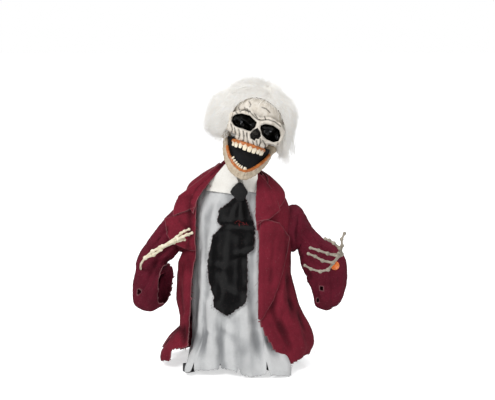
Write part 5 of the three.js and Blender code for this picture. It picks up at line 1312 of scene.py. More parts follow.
    def build(self) -> None:
        """Makes the whole shirt."""
        for face in Face:
            self.panel(face)
        self.band()
        for side in Side:
            self.point(side)


class Tie:
    """The ragged black tie with its knot and the red stitches that gather it."""

    SLOT = "black_cloth"
    KNOT_SIDES = 48
    KNOT_ROWS = 34
    EDGES = (
        (
            (236.5, 195), (229, 202), (219, 209), (217, 222.5), (222.5, 225.5), (212.5, 235), (208, 260),
            (207.4, 278), (213.7, 297.5), (212.4, 307.5), (226, 316)
        ),
        (
            (245, 195), (247.4, 202), (249, 210), (253, 222.5), (255, 229), (254.6, 238), (253.4, 249),
            (247.6, 254), (248, 280), (246, 302.5), (228, 316)
        )
    )
    KNOT = (
        (182.8, 237.8, 241.4), (184.6, 235.8, 243.6), (188.4, 232.4, 246), (192, 230.2, 247.4),
        (195, 231.6, 246.6), (197.8, 235, 245.2), (200.5, 238, 243.4)
    )
    CREASES = crease_rows(
        (238, 200, 230, 222, 4.0, 2.2), (244, 200, 246, 222, -4.0, 2.0), (240, 202, 241, 220, 3.0, 1.8),
        (222, 222.5, 252, 222.5, -4.5, 1.4), (226, 227, 252, 228, 3.5, 1.8),
        (213, 262, 228, 268, 4.0, 2.2), (214, 268, 232, 272, -4.0, 2.0), (236, 252, 254, 248, 4.5, 2.0),
        (232, 257, 250, 256, -4.5, 2.0), (228, 232, 222, 300, 3.0, 2.6),
        (242, 232, 238, 300, -3.0, 2.4), (216, 240, 212, 290, -2.5, 2.2),
        (222, 284, 244, 296, 3.0, 2.4),
    )

    def blade(self) -> bpy.types.Object:
        """Makes the two blades as one length of cloth, between the edges drawn in the photograph."""
        pixels = frayed(ruled(*self.EDGES, 60, 150), 0.9, 61)
        u, _ = uv_grid(60, 150)

        def depth(x: Array, height: Array) -> Array:
            """Depth of the tie over the shirt."""
            return shirt_front_y(x, np.minimum(height, SHIRT.top)) - TIE.lift - 4.0 * np.sin(np.pi * u)

        grid = creased(on_surface(pixels, depth), self.CREASES)
        grid = wrinkled(wrinkled(grid, 2.6, 28.0, 63, (1, 1, 1.6)), 0.9, 9.0, 64)
        sheet = Sheet("tie_blade_cloth", grid, "black_cotton", TIE.cloth)
        return dress(sheet, "frame", ("tie_blade",))

    def knot(self) -> bpy.types.Object:
        """Makes the knot as a wrapped bulb of cloth."""
        sides, rows = self.KNOT_SIDES, self.KNOT_ROWS
        u, v = uv_grid(sides, rows)
        angle = TAU * u * (1 - 1 / sides)
        down, left, right = np.array(self.KNOT).T
        row = down[-1] + (down[0] - down[-1]) * v
        middle = np.interp(row, down, (left + right) / 2)
        half = np.interp(row, down, (right - left) / 2)
        ahead = shirt_front_y(np.full_like(u, SHIRT.lean), np.full_like(u, TIE.top)) - 14.0
        swirl = 1.0 + 0.05 * np.sin(3 * angle + 6 * v)
        spot = photo_point(np.stack([middle + half * np.cos(angle) * swirl, row], axis=-1), ahead)
        spot[..., 1] += 10.0 * np.sin(angle) * np.sin(np.pi * (0.08 + 0.84 * v)) ** 0.6
        grid = wrinkled(spot, 1.2, 11.0, 65)
        faces = grid_faces(rows, sides, closed=True)
        ends = [
            np.array([list(range(sides))[::-1]]), np.array([list(range((rows - 1) * sides, rows * sides))])
        ]
        piece = make_piece(
            "tie_knot_cloth", grid.reshape(-1, 3), [faces, *ends], "black_cotton",
            uv=grid.reshape(-1, 3)[:, [0, 2]]
        )
        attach(piece, "frame")
        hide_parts("tie_knot")
        return piece

    def stitches(self) -> bpy.types.Object:
        """Makes the frayed ends and the red gathering stitches under the knot."""
        random = np.random.default_rng(7)
        strands: list[Array] = []
        for along in np.linspace(0, 1, 9):
            x = 6.0 + 26.0 * (along - 0.5)
            height = 358.0 + 4.0 * math.sin(5 * along)
            y = float(shirt_front_y(np.array(x), np.array(height))) - TIE.lift - 4.5
            strands.append(
                np.array([[x, y, height + 1.5], [x + 0.9, y - 1.4, height], [x + 1.6, y, height - 2.0]])
            )
        for _ in range(6):
            x, height = random.uniform(-2, 20), 356.0 + random.uniform(-4, 4)
            y = float(shirt_front_y(np.array(x), np.array(height))) - TIE.lift - 4.5
            strands.append(
                np.array(
                    [
                        [x, y, height], [x + random.uniform(-3, 3), y - 3, height - 3],
                        [x + random.uniform(-5, 5), y, height - 7]
                    ]
                )
            )
        return thread_piece("tie_red_stitches", strands, 0.4, "red_thread", "frame")

    def fringe(self) -> bpy.types.Object:
        """Makes the frayed threads along the torn edges."""
        random = np.random.default_rng(8)
        strands: list[Array] = []
        for line, lean in zip(self.EDGES, (-1, 1)):
            ends = np.array(line[3:], dtype=float)
            for at in np.linspace(0.05, len(ends) - 1.02, 46):
                spot = curve_through(ends, np.array([at]))[0]
                root = on_surface(spot, lambda x, z: shirt_front_y(x, z) - TIE.lift - 1.0)
                reach = random.uniform(2, 6)
                bend = np.array([lean * random.uniform(0.2, 1.0), -0.2, -random.uniform(0.2, 1.0)]) * reach
                strands.append(np.stack([root, root + bend * 0.5 + random.normal(0, 0.6, 3), root + bend]))
        return thread_piece("tie_fringe", strands, 0.3, "black_cotton", "frame")

    def build(self) -> None:
        """Makes the tie."""
        self.blade()
        self.knot()
        self.stitches()
        self.fringe()


class Sleeve:
    """One bag-like sleeve from the armhole to its ragged mouth.

    Rows are: centre, outward direction, half width, half depth and turn, as shares of the arm's reach.
    """

    ROWS = {
        Side.RIGHT: (
            ((0.3, -0.07, -0.13), (0.5, 0.87), 0.32, 0.34, 0),
            ((0.48, -0.2, -0.33), (0.75, 0.66), 0.3, 0.3, 0),
            ((0.66, -0.35, -0.55), (0.96, 0.28), 0.28, 0.28, 0),
            ((0.68, -0.46, -0.73), (1, -0.05), 0.3, 0.28, 0),
            ((0.71, -0.55, -0.94), (0.85, -0.53), 0.36, 0.28, 0.1),
            ((0.7, -0.62, -1.08), (0.6, -0.8), 0.42, 0.27, 0.25),
            ((0.54, -0.67, -1.11), (0.3, -0.95), 0.42, 0.27, 0.45),
            ((0.33, -0.72, -0.93), (0.05, -1), 0.4, 0.26, 0.6)
        ),
        Side.LEFT: (
            ((0.3, -0.07, -0.18), (0.35, 0.94), 0.3, 0.34, 0),
            ((0.45, -0.15, -0.46), (0.6, 0.8), 0.34, 0.32, 0),
            ((0.67, -0.28, -0.65), (0.75, 0.66), 0.41, 0.3, 0),
            ((0.73, -0.4, -0.88), (0.95, 0.3), 0.42, 0.28, 0),
            ((0.73, -0.5, -1.1), (0.97, -0.2), 0.36, 0.26, 0),
            ((0.7, -0.56, -1.3), (0.95, -0.3), 0.28, 0.23, 0), ((0.66, -0.6, -1.45), (1, 0), 0.18, 0.16, 0),
            ((0.65, -0.61, -1.51), (1, 0), 0.09, 0.08, 0)
        )
    }
    # Place along X and radius of the rings over the shoulder
    HEAD = ((112.0, 49.0), (120.0, 54.0), (133.0, 56.0), (148.0, 50.0))
    CREASES = {
        Side.RIGHT: crease_rows(
            (168, 228, 150, 250, -6.0, 2.0), (163, 244, 146, 268, 5.0, 2.6),
            (158, 262, 141, 292, -6.0, 2.4), (166, 262, 150, 300, 5.0, 2.6),
            (148, 272, 143, 302, 4.0, 2.2), (160, 272, 158, 304, -5.0, 2.2),
            (172, 246, 160, 256, -5.0, 2.0),
        ),
        Side.LEFT: crease_rows(
            (299, 214, 297, 250, -6.0, 2.0), (304, 224, 318, 248, 5.0, 2.2),
            (296, 240, 306, 262, 5.0, 2.2), (306, 236, 336, 258, -6.0, 2.2),
            (308, 262, 326, 304, 6.0, 2.4), (302, 256, 322, 268, -5.0, 2.0),
            (330, 264, 332, 306, -5.5, 2.4), (344, 272, 338, 300, 4.0, 2.2),
            (314, 270, 318, 300, -5.0, 2.0), (304, 268, 314, 290, 4.0, 1.8),
            (322, 270, 326, 290, -4.0, 1.6),
        ),
    }
    # Middle of each worn hole and its half width and half height in pixels
    HOLES = {Side.RIGHT: ((139, 292, 1.3, 2.2),), Side.LEFT: ((322, 287, 0.7, 3.4), (318, 300, 1.1, 1.5))}
    # Share of the sleeve's length where its ragged mouth is cut
    MOUTH = {Side.RIGHT: 0.985, Side.LEFT: 0.97}
    CLOTH = 1.6

    def __init__(self, side: Side) -> None:
        """Takes the side."""
        self.side = side

    def grid(self, columns: int = 84, rows: int = 120) -> Array:
        """Points round and along the sleeve."""
        sign = self.side.value
        rings = [[sign * x, ARM.axis_y, ARM.axis_z, 0, 0, 1, r, 0, 1, 0, r] for x, r in self.HEAD]
        for (x, y, z), (ox, oz), half, depth, turn in self.ROWS[self.side]:
            out = np.array([sign * ox, 0, oz]) / math.hypot(ox, oz)
            across = np.array([-sign * turn, 1, 0]) / math.hypot(turn, 1)
            centre = (
                sign * (ARM.bar_end + ARM.reach * x), ARM.axis_y + ARM.reach * y, ARM.axis_z + ARM.reach * z
            )
            rings.append([*centre, *out, ARM.reach * half, *across, ARM.reach * depth])
        fine = curve_through(np.array(rings, dtype=float), np.linspace(0, len(rings) - 1, rows))
        angle = np.linspace(0, TAU, columns, endpoint=False)
        centre, out, half, across, depth = (
            fine[:, a:b] for a, b in ((0, 3), (3, 6), (6, 7), (7, 10), (10, 11))
        )
        ring = (
            np.cos(angle)[None, :, None] * (out * half)[:, None]
            + np.sin(angle)[None, :, None] * (across * depth)[:, None]
        )
        return centre[:, None] + ring

    def build(self) -> bpy.types.Object:
        """Makes the sleeve and hides the node it replaces."""
        grid = self.grid()
        rows, columns = grid.shape[:2]
        wrapped = np.concatenate([grid, grid[:, :1]], axis=1)
        swing = 1.0 if np.sum(
            grid_normals(wrapped)[:, :-1] * (grid - grid.mean(axis=1, keepdims=True))
        ) > 0 else -1.0
        wrapped = creased(wrapped, self.CREASES[self.side], swing)
        wrapped = wrinkled(wrapped, 5.0 * swing, 36.0, 71)
        wrapped = wrinkled(wrapped, 1.6 * swing, 12.0, 75)
        grid = wrapped[:, :-1]
        pixels = VIEW.pixel(grid)
        keep = np.ones((rows, columns), dtype=bool)
        for x, y, wide, high in self.HOLES[self.side]:
            away = (
                np.hypot((pixels[..., 0] - x) / wide, (pixels[..., 1] - y) / high)
                + 0.3 * rumple(grid, 5.0, 73)
            )
            keep &= (away > 1.0) | (grid[..., 1] > grid[..., 1].mean(axis=1, keepdims=True))
        mouth = np.arange(rows)[:, None] / (rows - 1) + 0.022 * rumple(grid, 8.0, 77)
        keep &= mouth < self.MOUTH[self.side]
        name = f"sleeve_{self.side.name.lower()}"
        # The darker copy of the coat's cloth is painted shade on the sleeves
        piece, area = Sheet(
            f"{name}_cloth", grid, "burgundy_wool_dark", self.CLOTH, closed=True, keep=keep.ravel()
        ).build()
        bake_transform(piece)
        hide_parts(name)
        return piece


# Solid forms from distance fields


def ellipsoid(p: Array, centre: Sequence[float], radii: Sequence[float]) -> Array:
    """Rough signed distance to an ellipsoid."""
    q = (p - np.array(centre)) / np.array(radii)
    near = np.linalg.norm(q, axis=-1)
    slope = np.linalg.norm(q / np.array(radii), axis=-1)
    return near * (near - 1.0) / np.maximum(slope, 1e-9)


def capsule(
    p: Array, start: Sequence[float], end: Sequence[float], first: float, last: float | None = None
) -> Array:
    """Signed distance to a rod with round ends whose radius runs from first to last."""
    last = first if last is None else last
    a, b = np.array(start, dtype=float), np.array(end, dtype=float)
    along = b - a
    t = np.clip((p - a) @ along / (along @ along), 0.0, 1.0)
    return np.linalg.norm(p - a - t[..., None] * along, axis=-1) - (first + (last - first) * t)


def chain(p: Array, joints: Sequence[Sequence[float]], radii: Sequence[float], blend: float = 3.0) -> Array:
    """Rods from joint to joint, melted together."""
    total = np.full(p.shape[:-1], 1e3)
    for a, b, first, last in zip(joints, joints[1:], radii, radii[1:]):
        total = melt(total, capsule(p, a, b, first, last), blend)
    return total


def melt(a: Array, b: Array, blend: float) -> Array:
    """Joins two fields with a soft fillet."""
    h = np.maximum(blend - np.abs(a - b), 0.0)
    return np.minimum(a, b) - h * h / (4.0 * blend)


def carve(a: Array, b: Array, blend: float) -> Array:
    """Takes the second field out of the first with a soft edge."""
    return -melt(-a, b, blend)


@dataclass
class Solid:
    """A form given by a signed distance, sampled on a lattice of points."""

    low: tuple[float, float, float]
    high: tuple[float, float, float]
    pitch: float
    shape: Shape
    cells: Array = field(init=False)
    origin: Array = field(init=False)

    def __post_init__(self) -> None:
        """Samples the shape."""
        axes = [np.arange(a, b + self.pitch, self.pitch) for a, b in zip(self.low, self.high)]
        self.origin = np.array([axis[0] for axis in axes])
        self.cells = self.shape(np.stack(np.meshgrid(*axes, indexing="ij"), axis=-1))

    def surface(self) -> tuple[Array, list[Array]]:
        """Points and faces of the surface."""
        grid = openvdb.FloatGrid(3.0 * self.pitch)
        grid.copyFromArray(np.clip(self.cells, -3.0 * self.pitch, 3.0 * self.pitch).astype(np.float32))
        points, triangles, quads = grid.convertToPolygons(isovalue=0.0, adaptivity=0.0)
        return points * self.pitch + self.origin, [np.asarray(quads), np.asarray(triangles)]

    def hollows(self, points: Array, reach: float) -> Array:
        """How deep each surface point sits in a hollow, from 0 to 1.

        Args:
            points: Surface points.
            reach: Width of the neighbourhood in millimetres.

        Returns:
            One value a point.
        """
        steps = max(1, round(reach / self.pitch))
        soft = np.clip(self.cells, -reach, reach)
        for axis in range(3):
            padded = np.pad(
                soft, [(steps + 1, steps) if k == axis else (0, 0) for k in range(3)], mode="edge"
            ).cumsum(axis=axis)
            size = 2 * steps + 1
            cut = [slice(None)] * 3
            cut[axis] = slice(size, None)
            late = padded[tuple(cut)]
            cut[axis] = slice(0, -size)
            soft = (late - padded[tuple(cut)]) / size
        return np.clip(-self.sample(soft, points) / (0.35 * reach), 0.0, 1.0)

    def sample(self, field_values: Array, points: Array) -> Array:
        """Values of a lattice at any points, blended from the eight around each."""
        place = (points - self.origin) / self.pitch
        cell = np.clip(np.floor(place).astype(int), 0, np.array(field_values.shape) - 2)
        part = np.clip(place - cell, 0.0, 1.0)
        total = np.zeros(len(points))
        for corner in range(8):
            step = np.array([corner & 1, (corner >> 1) & 1, corner >> 2])
            weight = np.prod(np.where(step == 1, part, 1.0 - part), axis=1)
            total += field_values[tuple((cell + step).T)] * weight
        return total


# Head


@dataclass(frozen=True)
class HeadPlace:
    """Where the skull and the jaw sit, as in the CAD frame."""

    pivot_z: float = 425.0
    lean: float = math.radians(12.0)
    offset: float = 1.5
    lift: float = 154.0
    roll: float = math.radians(6.0)
    yaw: float = math.radians(6.0)
    pitch: float = math.radians(-8.0)
    jaw: tuple[float, float, float] = (0.0, -12.0, -38.0)

    def skull(self) -> Matrix:
        """Matrix from the skull's own frame, in millimetres."""
        tilt = Matrix.Translation((0, 0, self.pivot_z)) @ Matrix.Rotation(self.lean, 4, "Y")
        turn = (
            Matrix.Rotation(self.roll, 4, "Y") @ Matrix.Rotation(self.pitch, 4, "X")
            @ Matrix.Rotation(self.yaw, 4, "Z")
        )
        return tilt @ Matrix.Translation((self.offset, 0, self.lift)) @ turn

    def jaw_frame(self) -> Matrix:
        """Matrix from the jaw's own frame."""
        return self.skull() @ Matrix.Translation(self.jaw)


HEAD = HeadPlace()
PITCH = 1.5
TOOTH_PITCH = 0.9


def placed(points: Array, matrix: Matrix) -> Array:
    """Points carried by a matrix."""
    m = np.array(matrix)
    return points @ m[:3, :3].T + m[:3, 3]


def outline_gap(pixels: Array, outline: Sequence[tuple[float, float]]) -> Array:
    """Distance in millimetres to a closed line of the photograph's pixels, negative inside it."""
    ends = np.array(outline, dtype=float)
    best, inside = np.full(pixels.shape[:-1], 1e3), np.zeros(pixels.shape[:-1], dtype=bool)
    for a, b in zip(ends, np.roll(ends, -1, axis=0)):
        along = b - a
        t = np.clip((pixels - a) @ along / (along @ along), 0, 1)
        best = np.minimum(best, np.linalg.norm(pixels - a - t[..., None] * along, axis=-1))
        crossed = (a[1] > pixels[..., 1]) != (b[1] > pixels[..., 1])
        inside ^= crossed & (pixels[..., 0] < a[0] + (pixels[..., 1] - a[1]) * along[0] / (along[1] or 1e-9))
    return np.where(inside, -best, best) * VIEW.mm_per_px


def line_gap(pixels: Array, line: Sequence[tuple[float, float]]) -> Array:
    """Distance in millimetres to an open line of the photograph's pixels."""
    best = np.full(pixels.shape[:-1], 1e3)
    for a, b in zip(line, line[1:]):
        start, along = np.array(a, dtype=float), np.array(b, dtype=float) - np.array(a, dtype=float)
        t = np.clip((pixels - start) @ along / (along @ along), 0, 1)
        best = np.minimum(best, np.linalg.norm(pixels - start - t[..., None] * along, axis=-1))
    return best * VIEW.mm_per_px


class Skull:
    """The skull, its glossy eye bowls, upper teeth and the dark liner of its mouth.

    Outlines and lines are pixels of the photograph; other places are millimetres in the skull's own frame.
    """

    SOCKETS = {
        Side.RIGHT: ((232, 120.8), (232.5, 117.2), (235, 114.7), (241.7, 113.5), (250, 115.8), (256.7, 122.5),
                     (255.2, 127.5), (251, 131.7), (243.3, 128.8), (235, 125.2)),
        Side.LEFT: ((260.3, 128.5), (260.8, 125.6), (265, 124), (273.3, 125.6), (279.2, 130), (280.5, 135.8),
                    (278.5, 141), (273.3, 142.3), (266.7, 139.4), (261.5, 134.4)),
    }
    NOSE = (
        (257.5, 128), (260.3, 132), (261, 136), (258.4, 139.2), (255.8, 138.4), (254.6, 140.8),
        (252.6, 139.4), (250.6, 138.2), (250, 134.2), (253.3, 130)
    )
    FOLDS = (
        (
            (241, 110.8), (245, 109.6), (250, 112), (255, 117.4), (258.3, 119.8), (261.7, 120.4),
            (268.3, 119.6), (275, 122), (280.5, 126.4)
        ),
        ((234.5, 127.8), (235.6, 133)), ((238.7, 129.6), (239.9, 134.2), (238.9, 138.6)),
        ((243.3, 131), (244.1, 136.7), (243.4, 141)), ((246.9, 133), (247.2, 138.3), (248.2, 143)),
        ((252.9, 141.4), (253.6, 144.6)), ((256.6, 140.6), (257.2, 145)),
        ((260.2, 138.6), (260.8, 142), (258.6, 146.6)), ((262.6, 140.6), (265.4, 145), (264.4, 150)),
        ((268.3, 144.2), (273.3, 145.4), (275, 147.4), (270.8, 151)),
        ((231, 124), (232.6, 129.4), (231.4, 134)), ((278, 143.6), (276.4, 147.6))
    )
    CRACKS = (
        ((249, 101.4), (250.9, 104.6), (249.6, 107)), ((244.6, 107.6), (246, 111.6)),
        ((247, 108.8), (248.6, 113)), ((254.6, 113.6), (257.4, 118.2)),
        ((262, 107.4), (266.4, 109), (270, 112.6)), ((238.6, 108), (240.4, 112)),
        ((264.4, 116.4), (266, 120)), ((236, 112), (238.4, 115.4))
    )
    # Joints, radii and blend of the rims and bones on each side of the face, X growing outwards
    RIDGES = (
        (
            ((5, -84, 13), (24, -85, 20), (46, -76, 17), (61, -62, 8), (63, -58, -8), (56, -62, -20)),
            (5, 6.5, 6.5, 5.5, 5, 6), 7.0
        ),
        (
            ((27, -74, -25), (46, -66, -24), (59, -48, -20), (62, -16, -19), (58, 14, -17), (46, 30, -16)),
            (6.5, 7, 7, 7, 6, 6), 6.0
        ),
        (((0, -86, 8), (8, -88, -7), (14, -85, -22), (11, -84, -34)), (5, 3.6, 3.6, 4), 5.0)
    )
    # Places along Y where the face starts and where its openings end, and the height of the flat cut below
    FACE_Y = -34.0
    BACK_OF_SOCKET = -48.0
    BACK_OF_NOSE = -66.0
    CUT_Z = -46.0
    EYE_X = 32.0
    LINER_CLOTH = 1.6

    def shape(self, p: Array) -> Array:
        """Signed distance of the bone in the skull's own frame."""
        skull = melt(ellipsoid(p, (0, 8, 36), (65, 76, 58)), ellipsoid(p, (0, -26, 33), (58, 58, 47)), 22.0)
        skull = melt(skull, ellipsoid(p, (0, -50, -22), (37, 37, 28)), 14.0)
        skull = melt(skull, ellipsoid(p, (0, -58, -36), (38, 30, 11)), 8.0)
        for side in Side:
            s = side.value
            skull = carve(skull, ellipsoid(p, (s * 70, -38, 12), (13, 20, 24)), 10.0)
            for joints, radii, blend in self.RIDGES:
                ridge = chain(p, [(s * x, y, z) for x, y, z in joints], radii)
                skull = melt(skull, ridge, blend)
            skull = carve(skull, ellipsoid(p, (s * 45, -76, -43), (13, 18, 14)), 8.0)
        front = smooth_step(-p[..., 1], 30.0, 60.0)
        skull = skull + (0.9 * rumple(p, 22.0, 81) + 0.5 * rumple(p, 7.0, 85)) * (0.4 + 0.6 * front)
        face = p[..., 1] < self.FACE_Y
        skull[face] = self._face(p[face], skull[face], front[face])
        return np.maximum(skull, self.CUT_Z - p[..., 2])

    def _face(self, p: Array, skull: Array, front: Array) -> Array:
        """Signed distance of the face with its rims, folds and openings."""
        pixels = VIEW.pixel(placed(p, HEAD.skull()))
        for line in self.FOLDS:
            gap = line_gap(pixels, line)
            deep = 1.9 + 0.5 * rumple(p, 12.0, 143, 1)
            skull = (
                skull
                + front * (deep * np.exp(-((gap / 1.5) ** 2)) - 0.9 * np.exp(-(((gap - 4.2) / 2.0) ** 2)))
            )
        for line in self.CRACKS:
            skull = skull + 1.2 * front * np.exp(-((line_gap(pixels, line) / 1.1) ** 2))
        for side in Side:
            gap = outline_gap(pixels, self.SOCKETS[side])
            skull = skull - 2.6 * front * np.exp(-(((gap - 3.6) / 2.6) ** 2))
            skull = carve(skull, np.maximum(gap, p[..., 1] - self.BACK_OF_SOCKET), 2.0)
        gap = outline_gap(pixels, self.NOSE)
        skull = skull - 1.4 * front * np.exp(-(((gap - 2.4) / 1.8) ** 2))
        return carve(skull, np.maximum(gap, p[..., 1] - self.BACK_OF_NOSE), 1.6)

    def paint(self, solid: Solid, points: Array) -> Array:
        """Share of dark wash and painted shade on each point of the bone: more in hollows, along the folds and
        cracks and inside the openings.
        """
        wash = 0.75 * solid.hollows(points, 5.0) + 0.5 * solid.hollows(points, 12.0)
        wash = wash + 0.16 * np.clip(rumple(points, 16.0, 87), 0, 1)
        face = points[:, 1] < self.FACE_Y
        pixels = VIEW.pixel(placed(points[face], HEAD.skull()))
        drawn = np.zeros(len(pixels))
        for line in (*self.FOLDS, *self.CRACKS):
            drawn = np.maximum(drawn, 0.9 * np.exp(-((line_gap(pixels, line) / 1.5) ** 2)))
        opening = 1.0 - smooth_step(outline_gap(pixels, self.NOSE), -0.6, 1.2)
        for side in Side:
            opening = np.maximum(
                opening, 1.0 - smooth_step(outline_gap(pixels, self.SOCKETS[side]), -0.6, 0.9)
            )
        wash[face] = np.maximum(wash[face], drawn * smooth_step(-points[face, 1], 40.0, 56.0))
        wash = np.clip(wash, 0, 1)
        wash[face] += 0.8 * opening * smooth_step(-points[face, 1], 40.0, 56.0)
        return wash

    def bone(self) -> None:
        """Makes the skull's bone as one piece and hides the face half and the back half that it replaces."""
        solid = Solid((-74, -102, -52), (74, 92, 100), PITCH, self.shape)
        points, faces = solid.surface()
        piece = make_piece(
            "skull_bone", placed(points, HEAD.skull()), faces, "bone_resin",
            {"wash": self.paint(solid, points)}
        )
        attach(piece, "head")
        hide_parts("skull_face", "skull_back")

    def eyes(self) -> None:
        """Makes the glossy black bowls that line the sockets."""
        for side in Side:

            def bowl(p: Array) -> Array:
                """Signed distance of a bowl behind the socket's rim."""
                gap = outline_gap(VIEW.pixel(placed(p, HEAD.skull())), self.SOCKETS[side])
                inside = np.clip(-gap / 15.0, 0.0, 1.0)
                across = np.abs(p[..., 0])
                front = (
                    -66.0 + 12.0 * smooth_step(across, 34.0, 62.0) + 13.0 * np.sqrt(inside)
                    + 0.8 * rumple(p, 9.0, 141)
                )
                front = front - 4.5 * np.exp(-(((across - 31.0) / 7.0) ** 2 + ((p[..., 2] + 2.0) / 5.5) ** 2))
                return np.maximum(gap - 2.2, np.maximum(front - p[..., 1], p[..., 1] - front - 5.0) * 0.8)

            middle = side.value * self.EYE_X
            solid = Solid((middle - 36, -76, -32), (middle + 36, -38, 28), 1.0, bowl)
            points, faces = solid.surface()
            piece = make_piece(f"eye_{side.name.lower()}", placed(points, HEAD.skull()), faces, "black_gloss")
            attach(piece, "head")
            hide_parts(f"eye_cup_{side.name.lower()}")

    def teeth(self) -> None:
        """Makes the upper teeth in their orange gum."""
        row = UPPER_ROW
        solid = Solid((-48, -12, -28), (48, 56, 10), TOOTH_PITCH, row.shape)
        points, faces = solid.surface()
        wash, gum = row.paint(points)
        place = placed(points * FLIP + np.array(UPPER_PLACE), HEAD.skull())
        piece = make_piece("upper_teeth_row", place, faces, "tooth_enamel", {"wash": wash, "gum": gum})
        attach(piece, "head")
        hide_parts("upper_teeth")

    def liner(self) -> None:
        """Makes the dark cloth that closes the mouth behind the teeth."""
        u, v = uv_grid(48, 36)
        angle = math.pi * (u - 0.5) * 0.96
        half = (
            52.0 - 27.0 * v**1.2 + 7.0 * np.clip(np.sin(angle), 0, 1) * np.sin(np.pi * np.clip(v * 1.2, 0, 1))
        )
        y = -14.0 - 34.0 * np.cos(angle) ** 0.7 * (1 - 0.35 * v) - 4.0 * v**2
        grid = np.stack([half * np.sin(angle), y, -40.0 - 66.0 * v], axis=-1)
        right = np.clip(-np.sin(angle), 0, 1) * smooth_step(v, 0.5, 1.0)
        grid[..., 0] += 15.0 * right
        grid[..., 2] += 4.0 * smooth_step(v, 0.7, 1.0) + 9.0 * right
        grid = wrinkled(grid, 1.2, 18.0, 95)
        grid = placed(grid.reshape(-1, 3), HEAD.skull()).reshape(grid.shape)
        start, end = placed(np.array([[0.0, -34.0, -46.0], [0.0, -40.0, -98.0]]), HEAD.skull()) / METRE
        joined = ("head", "lower_jaw", tuple(start), tuple(end))
        dress(
            Sheet("mouth_liner_cloth", grid, "grey_liner", self.LINER_CLOTH), joined, ("mouth_liner",),
        )

    def build(self) -> None:
        """Makes the head without jaw and wig."""
        self.bone()
        self.eyes()
        self.teeth()
        self.liner()


@dataclass(frozen=True)
class ToothRow:
    """Teeth along a rounded arch, in a frame with the arch opening towards -Y.

    grow is -1 for teeth that hang and 1 for teeth that stand.
    """

    half_width: float
    depth: float
    count: int
    grow: int
    width: float
    length: float
    seed: int
    sweep: float = math.pi * 0.84
    gum_height: float = 6.0
    gum_depth: float = 4.4
    gum_joints: int = 13
    round_off: float = 1.5

    def arch(self, t: Array | float) -> tuple[Any, Any, Any]:
        """Place and turn on the arch for a share along it."""
        angle = self.sweep * (np.asarray(t) - 0.5)
        return self.half_width * np.sin(angle), self.depth * np.cos(angle), angle

    def gum(self, p: Array) -> Array:
        """Signed distance of the gum."""
        x, y, _ = self.arch(np.linspace(0, 1, self.gum_joints))
        z = self.grow * self.gum_height * 0.42
        joints = list(zip(x, y, np.full(self.gum_joints, z)))
        return chain(p, joints, [self.gum_depth] * self.gum_joints, 2.0) + 0.4 * rumple(p, 5.0, 96)

    def teeth(self, p: Array) -> Array:
        """Signed distance of the teeth."""
        random = np.random.default_rng(self.seed)
        total = np.full(p.shape[:-1], 1e3)
        for i in range(self.count):
            x, y, angle = self.arch((i + 0.5) / self.count)
            big = 1.08 if abs(i + 0.5 - self.count / 2) < 1.1 else 0.94
            size, tip = big * random.uniform(0.94, 1.05), random.uniform(-0.7, 0.7)
            c, s = math.cos(angle), math.sin(angle)
            q = p - np.array([x, y, 0])
            side, out, up = q[..., 0] * c - q[..., 1] * s, q[..., 0] * s + q[..., 1] * c, q[..., 2] * self.grow
            half_z = self.length * 0.5 * size
            rise = up - self.gum_height * 0.5 - half_z - tip
            share = np.clip(rise / half_z * 0.5 + 0.5, 0, 1)
            wide = (
                self.width * 0.49 * size * (0.74 + 0.26 * np.sin(np.pi * np.clip(share * 0.9 + 0.12, 0, 1)))
            )
            round_off = self.round_off
            box = np.stack(
                [
                    np.abs(side) - wide + round_off, np.abs(out) - 2.7 * (1 - 0.35 * share) + round_off,
                    np.abs(rise) - half_z + round_off
                ],
                axis=-1
            )
            tooth = np.linalg.norm(np.maximum(box, 0), axis=-1) + np.minimum(box.max(axis=-1), 0) - round_off
            total = np.minimum(total, tooth)
        return total

    def shape(self, p: Array) -> Array:
        """Signed distance of the whole row."""
        return melt(self.gum(p), self.teeth(p), 1.2)

    def paint(self, p: Array) -> tuple[Array, Array]:
        """Shares of dark wash with painted shade, more towards the roots, and of gum for each point; the gum's
        edge dips between the teeth.
        """
        share = np.arctan2(p[:, 0] / self.half_width, p[:, 1] / self.depth) / self.sweep + 0.5
        edge = 3.2 + 3.4 * np.abs(np.cos(math.pi * share * self.count)) ** 2 + 0.6 * rumple(p, 4.0, 98)
        drop = p[:, 2] * self.grow
        root = 1.0 - smooth_step(drop, 4.0, 11.0)
        return np.clip(0.4 * root + 0.2 * rumple(p, 4.0, 97), 0, 1), 1.0 - smooth_step(drop - edge, -0.6, 0.8)


UPPER_ROW = ToothRow(38.0, 44.0, 9, -1, 9.6, 13.4, seed=3)
UPPER_PLACE = (-2.0, -41.0, -44.0)
FLIP = np.array([1.0, -1.0, 1.0])


